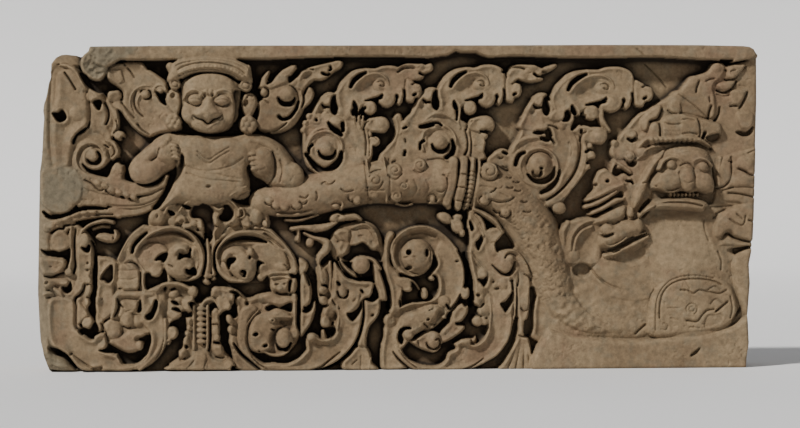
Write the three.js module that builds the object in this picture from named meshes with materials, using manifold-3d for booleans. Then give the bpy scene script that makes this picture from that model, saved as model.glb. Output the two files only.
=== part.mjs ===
// A carved sandstone door lintel: a bird-headed figure at the left holds a serpent whose body swags to the
// right and ends in a crowned head, among scrolls and flame leaves.
// Millimetres, +Z up. X runs along the lintel and the carved face looks along -Y. The origin is at the middle of
// the underside.

import * as THREE from 'three';
import Module from 'manifold-3d';
import { mergeVertices } from 'three/addons/utils/BufferGeometryUtils.js';

// Driving dimensions
const HEIGHT = 617;
const DEPTH = 210;
const RELIEF = 60;
const ROOT = 14;
const ARRIS = 5;
const STONE = 0xa98f70;

// The carving is set out on a sheet of squares, counted from the sheet's upper left corner. A square is SQUARE mm
// at SHEET_MIDDLE, and the squares grow finer towards the left by SHEET_CLOSING a square.
const SQUARE = 1.9;
const SHEET_MIDDLE = 400.8;
const SHEET_TOP = 45.5;
const SHEET_CLOSING = 2.49e-5;
const FOOT = 380;

// Heights over the sunk ground, mm
const RIM_HIGH = 42;
const LEDGE_HIGH = 40;
const FIELD_HIGH = 22;
const BODY_HIGH = 50;
const BAND_HIGH = 32;
const LEAF_HIGH = 36;
const BALL_HIGH = 40;
const FIGURE_HIGH = 48;

// Faces per turn and per stretch
const BALL_SIDES = 6;
const SMALL_SIDES = 5;
const SMALL_SPAN = 17;
const DEGREES = Math.PI / 180;

// Cross-sections of a carved ridge, as shares of its half width and its height. The last share of height, ROOTED,
// stands for the root below the ground.
const ROOTED = -1;
const ROUND = [[-1, ROOTED], [-0.92, 0.5], [-0.5, 1], [0.5, 1], [0.92, 0.5], [1, ROOTED]];
const BAND = [[-1, ROOTED], [-0.8, 1], [0.8, 1], [1, ROOTED]];
const RIB = [[-1, ROOTED], [0, 1], [1, ROOTED]];

const wasm = await Module();
wasm.setup();

// From squares on the sheet to millimetres on the face
function place(u, v) {
  const fine = 1 - SHEET_CLOSING * (u - SHEET_MIDDLE);
  return new THREE.Vector2(SQUARE * (u - SHEET_MIDDLE) / fine, HEIGHT - SQUARE * (v - SHEET_TOP) / fine);
}

function placeAll(points) {
  return points.map(([u, v]) => place(u, v));
}

function solidFrom(geometry) {
  geometry.deleteAttribute('normal');
  geometry.deleteAttribute('uv');
  const merged = mergeVertices(geometry, 1e-3);
  return new wasm.Manifold(new wasm.Mesh({
    numProp: 3,
    vertProperties: Float32Array.from(merged.attributes.position.array),
    triVerts: Uint32Array.from(merged.index.array),
  }));
}

// A flat-topped form of a given outline, from low to high over the ground
function plate(points, low, high) {
  const outline = new THREE.Shape(placeAll(points));
  const geometry = new THREE.ExtrudeGeometry(outline, { depth: high - low, bevelEnabled: false });
  return solidFrom(geometry.translate(0, 0, low));
}

// A leaf or lump of a given outline, drawn through by a smooth line, with a sloped edge
function pad(points, high) {
  const outline = new THREE.Shape(placeAll(points));
  const geometry = new THREE.ExtrudeGeometry(outline, {
    depth: high + ROOT - 2 * ARRIS,
    bevelThickness: ARRIS,
    bevelSize: ARRIS,
    bevelOffset: -ARRIS,
    bevelSegments: 1,
  });
  return solidFrom(geometry.translate(0, 0, ARRIS - ROOT));
}

// A rounded boss rooted in the ground: half sizes in squares across and down the sheet, its top high mm over the
// ground
function boss(u, v, across, down, high, turn = 0, most = BALL_SIDES) {
  const small = across + down < SMALL_SPAN;
  const sides = small ? SMALL_SIDES : most;
  const crown = Math.min(high, (across + down) * SQUARE / 2);
  const rings = [[1, -ROOT], [1, high - crown * 0.6]];
  if (!small) rings.push([0.66, high - crown * 0.12]);
  const corners = [];
  for (let side = 0; side < sides; side += 1) {
    const angle = (side + 0.5) / sides * 360 * DEGREES;
    for (const [reach, level] of rings) {
      corners.push(reach * Math.cos(angle) * across * SQUARE, reach * Math.sin(angle) * down * SQUARE, level);
    }
  }
  corners.push(0, 0, -ROOT, 0, 0, high);
  const foot = sides * rings.length;
  const faces = [];
  for (let side = 0; side < sides; side += 1) {
    const here = side * rings.length;
    const there = (side + 1) % sides * rings.length;
    faces.push(foot, there, here);
    for (let ring = 0; ring < rings.length - 1; ring += 1) {
      faces.push(here + ring, there + ring, here + ring + 1, here + ring + 1, there + ring, there + ring + 1);
    }
    faces.push(here + rings.length - 1, there + rings.length - 1, foot + 1);
  }
  const geometry = new THREE.BufferGeometry();
  geometry.setAttribute('position', new THREE.Float32BufferAttribute(corners, 3));
  geometry.setIndex(faces);
  geometry.rotateZ(-turn * DEGREES);
  const centre = place(u, v);
  return solidFrom(geometry.translate(centre.x, centre.y, 0));
}

function mix(values, share) {
  if (!Array.isArray(values)) return values;
  const spot = share * (values.length - 1);
  const first = Math.min(Math.floor(spot), values.length - 2);
  return THREE.MathUtils.lerp(values[first], values[first + 1], spot - first);
}

// A ridge along a smooth route. Half width in squares and height in mm may each be a list along the route.
function ridge(route, halfWidth, high, section = BAND, steps = 2 * (route.length - 1)) {
  const line = new THREE.SplineCurve(placeAll(route));
  const corners = [];
  for (let step = 0; step <= steps; step += 1) {
    const share = step / steps;
    const middle = line.getPoint(share);
    const along = line.getTangent(share);
    const half = mix(halfWidth, share) * SQUARE;
    const top = mix(high, share);
    for (const [side, rise] of section) {
      const level = rise === ROOTED ? -ROOT : rise * top;
      corners.push(middle.x - along.y * side * half, middle.y + along.x * side * half, level);
    }
  }
  return loft(corners, section.length, steps);
}

// Joins rings of corners into a closed skin, with a fan at each end
function loft(corners, sides, steps) {
  const faces = [];
  for (let step = 0; step < steps; step += 1) {
    for (let side = 0; side < sides; side += 1) {
      const next = (side + 1) % sides;
      const here = step * sides;
      const there = here + sides;
      faces.push(here + side, there + side, here + next, here + next, there + side, there + next);
    }
  }
  const last = steps * sides;
  for (let side = 1; side < sides - 1; side += 1) {
    faces.push(0, side, side + 1);
    faces.push(last, last + side + 1, last + side);
  }
  const geometry = new THREE.BufferGeometry();
  geometry.setAttribute('position', new THREE.Float32BufferAttribute(corners, 3));
  geometry.setIndex(faces);
  return solidFrom(geometry);
}

// Points of an arc on the sheet, in degrees clockwise from the right, with a radius that may change on the way
function arc(u, v, radius, from, to, count = 7) {
  const points = [];
  for (let step = 0; step < count; step += 1) {
    const share = step / (count - 1);
    const angle = THREE.MathUtils.lerp(from, to, share) * DEGREES;
    const reach = mix(radius, share);
    points.push([u + reach * Math.cos(angle), v + reach * Math.sin(angle)]);
  }
  return points;
}

// A scroll: a ball with a band that winds in round it
function volute(u, v, ball, reach, from, to, halfWidth = 2.6) {
  return [
    boss(u, v, ball, ball, BALL_HIGH),
    ridge(arc(u, v, [reach, ball + 2 * halfWidth], from, to), halfWidth, [BAND_HIGH, BAND_HIGH - 6], BAND, 6),
  ];
}

// A row of equal lobes from one place to another
function lobes(start, end, count, size, high) {
  const row = [];
  for (let step = 0; step < count; step += 1) {
    const share = count > 1 ? step / (count - 1) : 0;
    const u = THREE.MathUtils.lerp(start[0], end[0], share);
    const v = THREE.MathUtils.lerp(start[1], end[1], share);
    row.push(boss(u, v, size, size * 1.15, high));
  }
  return row;
}

// The outline of one flame leaf of the upper scroll, from its heel round its tip, in squares from the heel
const FLAME = [
  [0, 0], [9, -16], [24, -23], [46, -23], [60, -28], [78, -27], [95, -17], [77, -8], [74, 10], [56, 9], [50, 17],
  [38, 14], [28, 24], [17, 19], [9, 28],
];

// A flame leaf with its inner curl and the hanging ball leaf below it
function flameLeaf(u, v, stretch) {
  const outline = FLAME.map(([across, down]) => [u + across * stretch, v + down]);
  const curl = [u + 43 * stretch, v - 6];
  return [
    pad(outline, LEAF_HIGH),
    ridge([[u + 6, v - 2], [u + 20 * stretch, v - 14], [u + 36 * stretch, v - 17], curl], 2.4, LEAF_HIGH + 8, RIB, 4),
    boss(curl[0], curl[1], 6.5, 6, LEAF_HIGH + 10),
    boss(u + 40 * stretch, v + 33, 11 * stretch, 8, BALL_HIGH),
  ];
}

// The boat-shaped band that carries a rider, its outer rim and its end scroll
function riderBand(heel, keel, prow, halfWidth) {
  const route = [
    heel,
    [(heel[0] * 2 + keel[0]) / 3 - 6, (heel[1] + keel[1]) / 2],
    keel,
    [(prow[0] * 2 + keel[0]) / 3, (prow[1] + keel[1] * 2) / 3],
    prow,
  ];
  return ridge(route, halfWidth, BAND_HIGH - 4, BAND, 7);
}

// A small rider with a crown, on a curled mount
function rider(u, v, mount) {
  return [
    boss(u, v - 18, 7, 9, FIGURE_HIGH - 6),
    boss(u, v, 10, 11, FIGURE_HIGH),
    boss(u, v + 24, 17, 13, FIGURE_HIGH - 4),
    ridge([[u - 17, v + 12], [u - 12, v + 22], [u - 17, v + 34]], 4, BAND_HIGH, BAND, 4),
    ridge([[u + 15, v + 12], [u + 14, v + 24], [u + 8, v + 32]], 4, BAND_HIGH, BAND, 4),
    boss(mount[0], mount[1], 17, 13, FIGURE_HIGH - 8, 20),
    boss(mount[0] + 12, mount[1] + 12, 8, 8, BALL_HIGH),
  ];
}

// A tassel: a cap with a flared skirt that runs down to the foot
function tassel(u, top, half) {
  const waist = half * 0.45;
  return [
    plate([[u - waist, top], [u + waist, top], [u + half, FOOT], [u - half, FOOT]], -ROOT, BAND_HIGH),
    boss(u, top, waist, 5, BAND_HIGH + 6),
  ];
}

// The block behind the carving, with its broken left end and worn corners
function block() {
  const outline = [
    [88, 44], [746, 44], [757, 50], [759, 75], [757, 180], [753, 250], [750, 300], [749, 350], [743, 380], [54, 380],
    [42, 364], [38, 340], [36.5, 280], [38, 170], [42, 128], [43, 105], [47, 82], [52, 62], [62, 54], [80, 56],
  ];
  return plate(outline, RELIEF - DEPTH, 0);
}

// The plain rim along the top, broken away at its left, and the plain ledge under the serpent's chest
function borders() {
  const rim = [
    [90, 44], [746, 44], [752, 50], [735, 63], [700, 59.5], [600, 58], [515, 56.5], [490, 57], [478, 52], [455, 52],
    [443, 57], [400, 57.5], [340, 57], [280, 59], [140, 60], [116, 56], [96, 60],
  ];
  const ledge = [
    [540, 380], [545, 338], [560, 334], [628, 340], [665, 338], [720, 329], [749, 317], [749, 350], [743, 380],
  ];
  const chest = [
    [548, 340], [556, 300], [600, 272], [622, 292], [650, 262], [735, 255], [750, 264], [748, 330], [665, 345],
  ];
  const crumbled = [
    [478, 150], [560, 205], [640, 200], [757, 180], [752, 262], [640, 300], [560, 345], [540, 340], [530, 273],
    [504, 227],
  ];
  return [
    plate(rim, -ROOT, RIM_HIGH),
    plate(ledge, -ROOT, LEDGE_HIGH),
    plate(chest, -ROOT, LEDGE_HIGH - 8),
    plate(crumbled, -ROOT, FIELD_HIGH),
  ];
}

// Broken leaves at the upper left, beside the figure
function upperLeftLeaves() {
  return [
    pad([[56, 92], [64, 72], [78, 78], [88, 100], [88, 125], [74, 140], [58, 134], [54, 112]], LEAF_HIGH),
    boss(93, 96, 8, 9, LEAF_HIGH - 4),
    boss(113, 95, 7, 8, LEAF_HIGH - 4),
    ridge([[100, 62], [122, 64], [134, 80], [142, 88]], 6, LEAF_HIGH, BAND, 6),
    ...volute(145, 97, 6, 17, 100, 320),
    ridge([[110, 106], [122, 118], [136, 126], [150, 136]], 7, LEAF_HIGH - 4, BAND, 6),
    boss(118, 136, 7, 6, LEAF_HIGH - 6),
    ...volute(93, 157, 7, 27, 110, 400, 3.4),
    boss(116, 170, 7, 8, LEAF_HIGH - 6),
    boss(104, 178, 6, 6, LEAF_HIGH - 10),
    pad([[38, 172], [60, 166], [80, 176], [78, 200], [62, 214], [40, 212]], LEAF_HIGH - 10),
  ];
}

// The bird-headed figure: crown, ears, beaked head, trunk, arms and fists
function birdFigure() {
  const forms = [
    boss(210, 101, 31, 31, RELIEF, 0, 12),
    boss(207, 113, 15, 12, RELIEF - 4),
    boss(194, 99, 9, 9, RELIEF - 2),
    boss(222, 99, 9, 9, RELIEF - 2),
    boss(172, 97, 7, 9, BAND_HIGH),
    boss(247, 103, 8, 12, BAND_HIGH),
    boss(174, 120, 8, 8, BAND_HIGH),
    boss(248, 124, 9, 9, BAND_HIGH),
    pad([[168, 136], [190, 134], [232, 134], [262, 140], [252, 160], [240, 178], [183, 178], [170, 160]], FIGURE_HIGH),
    boss(208, 152, 30, 14, FIGURE_HIGH + 4),
    boss(208, 187, 36, 17, FIGURE_HIGH),
    ridge([[168, 140], [146, 152], [132, 168], [146, 178], [164, 172]], [9, 9, 10, 9, 8], BODY_HIGH - 8, ROUND, 6),
    boss(168, 154, 10, 11, BODY_HIGH),
    ridge([[254, 140], [276, 158], [292, 176], [276, 186], [262, 176]], [9, 9, 11, 9, 8], BODY_HIGH - 8, ROUND, 6),
    boss(258, 161, 11, 13, BODY_HIGH),
  ];
  for (let tier = 0; tier < 3; tier += 1) {
    const rise = 78 - tier * 8;
    const reach = 31 - tier * 5;
    const line = [[210 - reach, rise + 3], [210 - reach / 2, rise - 5], [210, rise - 8], [210 + reach / 2, rise - 5],
      [210 + reach, rise + 3]];
    forms.push(ridge(line, 4.4, RELIEF - 8 - tier * 3, BAND, 6));
  }
  return forms;
}

// The serpent's body: two thin tails at the left, the thick swag at the right, and the harness bands across it
function serpentBody() {
  const swag = [[256, 194], [300, 197], [345, 187], [385, 181], [450, 183], [512, 203], [548, 256], [566, 300], [574, 334]];
  return [
    ridge([[168, 182], [140, 193], [104, 188], [72, 180]], [6, 8, 8, 7], BAND_HIGH, BAND, 6),
    ridge([[168, 194], [140, 207], [100, 211], [66, 217], [48, 224]], [6, 8, 8, 7, 5], BAND_HIGH - 6, BAND, 7),
    ridge(swag, [14, 21, 22, 24, 24, 27, 24, 20, 17], [BODY_HIGH - 6, BODY_HIGH, BODY_HIGH, BODY_HIGH - 12], ROUND, 12),
    ridge([[374, 160], [369, 182], [374, 204]], 3, BODY_HIGH + 6, BAND, 3),
    ridge([[392, 158], [388, 180], [392, 203]], 3, BODY_HIGH + 6, BAND, 3),
    ridge([[466, 162], [458, 184], [454, 208]], 5, BODY_HIGH + 6, BAND, 3),
    boss(378, 180, 6, 6, BODY_HIGH + 4),
    boss(420, 180, 18, 12, BODY_HIGH + 4),
    boss(490, 173, 8, 8, BODY_HIGH + 5),
  ];
}

// The scroll over the serpent: balls with winding bands, and flame leaves over them
function upperScroll() {
  return [
    boss(288, 93, 9, 9, BALL_HIGH),
    ridge(arc(290, 96, [20, 15], 60, 290), 4, BAND_HIGH, BAND, 9),
    pad([[258, 80], [272, 66], [300, 62], [330, 62], [346, 66], [330, 80], [312, 86], [316, 102], [302, 108]], LEAF_HIGH),
    boss(264, 94, 6, 6, LEAF_HIGH),
    ...volute(326, 150, 9, 27, 170, 430, 3.4),
    ...volute(442, 143, 10, 29, 150, 420, 3.4),
    ...volute(541, 165, 13, 34, 190, 440, 4),
    boss(329, 98, 8, 9, LEAF_HIGH),
    boss(430, 94, 9, 8, LEAF_HIGH),
    boss(541, 100, 10, 8, LEAF_HIGH),
    ...flameLeaf(340, 90, 1),
    ...flameLeaf(440, 90, 1.2),
    ...flameLeaf(553, 97, 1.35),
    boss(560, 208, 8, 8, LEAF_HIGH),
    ridge([[580, 125], [588, 150], [578, 178], [560, 198]], [9, 10, 8, 5], LEAF_HIGH - 4, BAND, 6),
    ridge([[470, 118], [474, 138], [478, 158]], 9, BAND_HIGH - 6, BAND, 4),
  ];
}

// Worn foliage at the upper right, behind the crown
function upperRightLeaves() {
  return [
    pad([[700, 66], [735, 68], [752, 62], [754, 110], [752, 138], [722, 120], [715, 92]], LEAF_HIGH - 10),
    boss(748, 122, 7, 8, LEAF_HIGH),
    boss(740, 97, 7, 8, LEAF_HIGH),
  ];
}

// The crowned serpent heads: the large one to the front, the one in profile at its left and two at the edge
function serpentHeads() {
  return [
    pad([[652, 148], [655, 118], [672, 96], [690, 78], [716, 62], [732, 72], [722, 100], [724, 140]], FIGURE_HIGH),
    ridge([[640, 148], [660, 140], [684, 137], [714, 147]], 4, RELIEF - 4, BAND, 6),
    boss(688, 172, 33, 27, RELIEF - 2, 0, 12),
    boss(671, 165, 8, 7, RELIEF - 2),
    boss(703, 168, 8, 7, RELIEF - 2),
    ridge([[689, 160], [689, 174], [689, 188]], [3, 5, 6], RELIEF, BAND, 3),
    boss(668, 182, 14, 9, RELIEF - 6),
    boss(705, 184, 12, 10, RELIEF - 6),
    pad([[656, 200], [682, 196], [708, 200], [700, 212], [664, 212]], FIGURE_HIGH),
    pad([[650, 212], [718, 212], [722, 268], [640, 268]], FIGURE_HIGH - 6),
    boss(729, 176, 8, 13, LEAF_HIGH),
    pad([[728, 172], [757, 170], [756, 200], [732, 200]], LEAF_HIGH + 4),
    pad([[714, 208], [756, 204], [753, 244], [716, 250]], LEAF_HIGH + 6),
    pad([[580, 212], [588, 184], [606, 164], [622, 172], [628, 200], [622, 212]], LEAF_HIGH),
    boss(610, 214, 16, 11, FIGURE_HIGH - 4),
    boss(608, 231, 8, 7, FIGURE_HIGH),
    ridge([[600, 226], [622, 232], [642, 230]], [14, 12, 6], FIGURE_HIGH - 2, BAND, 4),
    ridge([[602, 258], [624, 252], [648, 238]], [7, 6, 4], FIGURE_HIGH - 8, BAND, 3),
    ridge([[594, 222], [574, 232], [572, 252], [590, 264]], [6, 9, 9, 6], LEAF_HIGH, BAND, 6),
    boss(632, 156, 6, 6, LEAF_HIGH),
    ridge(arc(694, 312, [38, 38], 150, 340), 3, LEDGE_HIGH, BAND, 7),
    boss(694, 310, 9, 9, LEDGE_HIGH),
  ];
}

// Big rings under the serpent, each with a curl in it
function lowerRings() {
  return [
    ridge(arc(169, 264, [38, 36], 165, 375), 3, LEAF_HIGH, BAND, 10),
    ridge(arc(160, 268, [44, 46], 180, 250), 3, BAND_HIGH, BAND, 4),
    boss(180, 264, 16, 18, BALL_HIGH),
    ridge(arc(180, 260, [15, 9], 200, 330), 5, BALL_HIGH + 4, BAND, 4),
    ridge(arc(248, 268, [35, 38], 160, 320), 3, LEAF_HIGH, BAND, 7),
    boss(240, 266, 17, 17, BALL_HIGH),
    ridge(arc(240, 262, [18, 10], 180, 330), 5, BALL_HIGH + 4, BAND, 4),
    ridge([[262, 226], [282, 241], [296, 262], [300, 276]], 4, BAND_HIGH, BAND, 6),
    ridge(arc(426, 266, [36, 38], 170, 290), 2.4, LEAF_HIGH, BAND, 6),
    ridge([[440, 234], [452, 256], [452, 286], [440, 306]], [6, 11, 12, 10], BAND_HIGH, BAND, 8),
    boss(418, 257, 17, 18, BALL_HIGH),
  ];
}

// Leaves and stems of the lower scroll, between the rings
function lowerLeaves() {
  return [
    ridge(arc(98, 242, [22, 20], 190, 310), 3, BAND_HIGH, BAND, 6),
    boss(104, 236, 12, 7, LEAF_HIGH),
    boss(84, 240, 6, 7, LEAF_HIGH - 6),
    ridge([[82, 246], [82, 280], [80, 312]], [8, 9, 6], LEAF_HIGH - 6, RIB, 5),
    ...lobes([60, 240], [50, 292], 3, 12, LEAF_HIGH - 6),
    ...lobes([88, 268], [88, 320], 3, 6, LEAF_HIGH - 2),
    boss(97, 338, 8, 6, LEAF_HIGH - 6),
    boss(60, 364, 13, 8, BAND_HIGH - 10),
    ridge([[216, 216], [216, 236], [208, 262], [205, 280]], [5, 4, 6, 4], BAND_HIGH, RIB, 7),
    boss(192, 212, 14, 8, BAND_HIGH),
    boss(222, 206, 10, 7, BAND_HIGH),
    boss(246, 216, 15, 11, BAND_HIGH),
    pad([[156, 292], [166, 284], [190, 287], [198, 298], [194, 314], [180, 312], [168, 302]], LEAF_HIGH),
    pad([[210, 292], [222, 286], [240, 296], [234, 310], [220, 314], [212, 300]], LEAF_HIGH),
    boss(171, 335, 7, 9, LEAF_HIGH - 8),
    boss(229, 321, 5, 8, LEAF_HIGH - 8),
    boss(230, 336, 5, 8, LEAF_HIGH - 8),
    ridge([[296, 227], [312, 228], [334, 222]], [4, 5, 4], BAND_HIGH, BAND, 4),
    ridge([[310, 236], [326, 242], [320, 258], [324, 276]], [3, 5, 4, 5], BAND_HIGH, RIB, 7),
    boss(298, 237, 3.5, 6, BAND_HIGH - 6),
    ...lobes([324, 282], [324, 300], 2, 6, LEAF_HIGH - 4),
    ridge([[304, 264], [308, 284], [306, 308]], [5, 6, 4], LEAF_HIGH, RIB, 5),
    ridge([[312, 304], [308, 322], [302, 336]], [4, 5, 3], LEAF_HIGH - 6, RIB, 4),
    boss(335, 217, 5, 5, BAND_HIGH),
    boss(350, 218, 11, 4, BAND_HIGH),
    pad([[336, 230], [352, 224], [368, 225], [378, 238], [376, 250], [362, 244], [346, 256], [336, 244]], LEAF_HIGH),
    boss(388, 218, 12, 9, LEAF_HIGH - 4),
    ...lobes([412, 219], [436, 221], 3, 5, BAND_HIGH),
    pad([[440, 212], [456, 212], [468, 224], [464, 238], [452, 228], [440, 222]], LEAF_HIGH),
    ridge([[474, 214], [484, 230], [474, 246], [484, 268]], [5, 6, 5, 5], BAND_HIGH, BAND, 8),
    ridge([[498, 224], [492, 238], [500, 252]], [6, 6, 4], BAND_HIGH, BAND, 5),
    boss(404, 285, 9, 6, LEAF_HIGH - 4),
    boss(424, 293, 5, 6, LEAF_HIGH - 8),
    boss(466, 294, 5, 8, LEAF_HIGH - 4),
    ridge([[462, 304], [460, 322], [446, 334]], [6, 6, 7], LEAF_HIGH, BAND, 5),
    boss(482, 297, 7, 10, LEAF_HIGH),
    boss(480, 318, 8, 8, LEAF_HIGH),
    ridge([[524, 282], [525, 306], [523, 334]], [6, 5, 4], LEAF_HIGH - 4, BAND, 5),
    boss(506, 292, 6, 9, LEAF_HIGH - 6),
    ...lobes([187, 324], [184, 340], 2, 5, BAND_HIGH - 4),
    ...lobes([215, 320], [216, 348], 2, 6, BAND_HIGH),
  ];
}

// Boat-shaped bands with their end scrolls, the riders and the creature that they carry, and the hanging work
function ridersAndBands() {
  return [
    riderBand([58, 306], [110, 360], [158, 330], [13, 13, 12, 8]),
    ...rider(128, 284, [124, 330]),
    riderBand([248, 306], [300, 360], [352, 300], [8, 10, 14, 13]),
    ...volute(361, 265, 9, 24, 190, 30, 4),
    ...rider(283, 282, [274, 332]),
    boss(326, 322, 6, 7, LEAF_HIGH),
    boss(313, 338, 5, 5, LEAF_HIGH),
    ridge([[374, 284], [374, 300], [370, 324]], [7, 7, 4], LEAF_HIGH, BAND, 4),
    boss(353, 303, 8, 9, LEAF_HIGH),
    riderBand([392, 320], [446, 360], [498, 300], [8, 12, 14, 12]),
    ...volute(507, 263, 10, 22, 190, 20, 4),
    pad([[384, 318], [398, 306], [430, 303], [447, 300], [446, 316], [428, 330], [400, 332]], LEAF_HIGH + 2),
    boss(427, 319, 5, 5, FIGURE_HIGH),
    boss(434, 341, 10, 10, BALL_HIGH),
    boss(408, 336, 6, 6, LEAF_HIGH),
    boss(467, 342, 5, 5, LEAF_HIGH),
    plate([[190, 304], [209, 304], [209, 350], [190, 350]], -ROOT, BAND_HIGH - 4),
    ...lobes([201, 309], [201, 345], 7, 3.6, BAND_HIGH + 2),
    ...tassel(201, 352, 34),
    ...tassel(358, 350, 18),
    ...tassel(522, 339, 20),
  ];
}

function lintel() {
  const stone = block();
  const carving = [
    ...borders(),
    ...upperLeftLeaves(),
    ...birdFigure(),
    ...serpentBody(),
    ...upperScroll(),
    ...upperRightLeaves(),
    ...serpentHeads(),
    ...lowerRings(),
    ...lowerLeaves(),
    ...ridersAndBands(),
  ];
  const joined = carving.reduce((whole, form) => whole.add(form), stone);
  return joined.intersect(trueBlock()).rotate([90, 0, 0]);
}

// The squared stone that the carving is cut from: nothing stands past its top, underside, ends or face
function trueBlock() {
  const left = 36.5;
  const right = 759;
  const low = place(left, SHEET_TOP);
  const high = place(right, SHEET_TOP);
  const width = high.x - low.x;
  const geometry = new THREE.BoxGeometry(width, HEIGHT, DEPTH);
  return solidFrom(geometry.translate((low.x + high.x) / 2, HEIGHT / 2, RELIEF - DEPTH / 2));
}

function meshFrom(solid) {
  const mesh = solid.getMesh();
  const geometry = new THREE.BufferGeometry();
  geometry.setAttribute('position', new THREE.Float32BufferAttribute(mesh.vertProperties, 3));
  geometry.setIndex(Array.from(mesh.triVerts));
  geometry.computeBoundingBox();
  const box = geometry.boundingBox;
  const centre = box.getCenter(new THREE.Vector3());
  geometry.translate(-centre.x, -centre.y, -box.min.z);
  geometry.computeVertexNormals();
  return geometry;
}

const material = new THREE.MeshStandardMaterial({ color: STONE, roughness: 0.9, metalness: 0 });
const block3d = new THREE.Mesh(meshFrom(lintel()), material);
block3d.name = 'lintel';

const group = new THREE.Group();
group.add(block3d);

export default group;
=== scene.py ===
"""A carved sandstone door lintel, broken at its left end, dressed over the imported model.

The solid model gives the block and the bodies of the carving. This script carves the face again in fine
steps, as heights on a close grid, and shows it in place of the solid's face: a bird-headed figure grasps a
serpent whose body swags to the right and ends in a fan of crowned heads, with scrolls above it and rings of
foliage with riders below.
"""

import bpy
import numpy as np
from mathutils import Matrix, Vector


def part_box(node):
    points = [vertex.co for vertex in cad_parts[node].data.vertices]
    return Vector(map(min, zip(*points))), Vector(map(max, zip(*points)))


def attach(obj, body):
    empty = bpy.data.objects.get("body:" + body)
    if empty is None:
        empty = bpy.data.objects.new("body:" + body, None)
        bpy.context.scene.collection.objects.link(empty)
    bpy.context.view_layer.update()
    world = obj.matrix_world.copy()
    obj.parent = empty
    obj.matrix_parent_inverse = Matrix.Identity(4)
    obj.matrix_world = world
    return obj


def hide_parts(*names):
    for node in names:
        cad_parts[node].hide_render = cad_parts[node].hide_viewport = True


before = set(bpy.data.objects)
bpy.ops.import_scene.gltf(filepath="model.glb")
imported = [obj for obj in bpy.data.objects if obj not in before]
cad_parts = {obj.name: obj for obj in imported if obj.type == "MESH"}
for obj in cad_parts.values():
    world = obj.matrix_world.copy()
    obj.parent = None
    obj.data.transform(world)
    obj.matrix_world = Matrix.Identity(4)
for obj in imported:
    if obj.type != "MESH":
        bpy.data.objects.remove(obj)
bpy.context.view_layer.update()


BLOCK_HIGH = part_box("lintel")[1]


# The carving is set out on a sheet of squares, counted from the sheet's upper left corner, as in the CAD
# model: a square is SQUARE metres at SHEET_MIDDLE, and the squares grow finer towards the left by
# SHEET_CLOSING a square. The top of the block is at row SHEET_TOP.
SQUARE = 0.0019
SHEET_MIDDLE = 400.8
SHEET_TOP = 45.5
SHEET_CLOSING = 2.49e-5

# The carved face as heights over the sunk ground, in mm, in cells of CELL squares
CELL = 0.375
LEFT, RIGHT = 33.0, 762.0
TOP, FOOT = 44.0, 376.25
# A height below every form
NOWHERE = -1e3
across = np.arange(LEFT, RIGHT, CELL)
down = np.arange(TOP, FOOT, CELL)
relief = np.zeros((len(down), len(across)))
# A place that is this much less than the count of cells still has a cell after it
SHORT_OF_LAST = 1.001
# The walls of a drilled gap rise by so many mm a square
SLIT_SLOPE = 400


def patch(u0, u1, v0, v1):
    """The cells of a part of the sheet: where they are in the relief, and their squares across and down"""
    cols = slice(max(int((u0 - LEFT) / CELL), 0), max(int((u1 - LEFT) / CELL) + 2, 1))
    rows = slice(max(int((v0 - TOP) / CELL), 0), max(int((v1 - TOP) / CELL) + 2, 1))
    return (rows, cols), across[cols][None, :], down[rows][:, None]


def smooth(route, closed=False, most=2.5):
    """Points along a smooth line through the route, a few squares apart"""
    p = np.asarray(route, float)
    if len(p) < 3:
        return p
    if closed:
        ends = [p[-1:], p, p[:2]]
    else:
        ends = [2 * p[:1] - p[1:2], p, 2 * p[-1:] - p[-2:-1]]
    q = np.vstack(ends)
    line = []
    for i in range(1, len(q) - 2):
        count = max(2, int(np.hypot(*(q[i + 1] - q[i])) / most) + 1)
        t = np.arange(count)[:, None] / count
        a, b, c, d = q[i - 1], q[i], q[i + 1], q[i + 2]
        line.append(0.5 * (2 * b + (c - a) * t + (2 * a - 5 * b + 4 * c - d) * t ** 2
                           + (3 * b - a - 3 * c + d) * t ** 3))
    line.append(q[-2:-1])
    return np.vstack(line)


def follow(line, u, v):
    """For each cell: its distance to a line, the side it lies on, and how far along it is, from 0 to 1"""
    shape = np.broadcast(u, v).shape
    best = np.full(shape, 1e9)
    side = np.zeros(shape)
    share = np.zeros(shape)
    reach = np.concatenate([[0], np.cumsum(np.hypot(*np.diff(line, axis=0).T))])
    for a, b, start, end in zip(line[:-1], line[1:], reach[:-1], reach[1:]):
        du, dv = b - a
        span = du * du + dv * dv + 1e-9
        t = np.clip(((u - a[0]) * du + (v - a[1]) * dv) / span, 0, 1)
        eu, ev = u - a[0] - t * du, v - a[1] - t * dv
        far = eu * eu + ev * ev
        near = far < best
        best = np.where(near, far, best)
        side = np.where(near, np.sign(du * ev - dv * eu), side)
        share = np.where(near, start + t * (end - start), share)
    return np.sqrt(best), side, share / reach[-1]


def along(values, share):
    """A value that changes evenly along a route, from a number or a list of numbers"""
    if np.isscalar(values):
        return values
    return np.interp(share, np.linspace(0, 1, len(values)), values)


def add(where, rise, soft=0.0):
    """Raises the relief to a form, with a soft join of the given height where they meet"""
    here = relief[where]
    if soft:
        rise = np.maximum(here, rise) + np.maximum(soft - np.abs(here - rise), 0) ** 2 / (4 * soft)
    relief[where] = np.maximum(here, rise)


# The forms that a ridge may have across its route: x runs from 0 on the route to 1 at the ridge's edge, and
# side is 1 to the right of the route and -1 to the left. Each gives the height as a share of the top.
def round_form(x, side):
    """A round back on a straight-sided foot"""
    return 0.5 + 0.5 * np.sqrt(np.clip(1 - x * x, 0, 1))


def full_form(x, side):
    """A half round, down to the ground"""
    return np.sqrt(np.clip(1 - x * x, 0, 1))


def flat_form(x, side):
    """A flat band with rounded edges"""
    return 1 - 0.3 * np.clip(x - 0.7, 0, 1) ** 2 / 0.09


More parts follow.
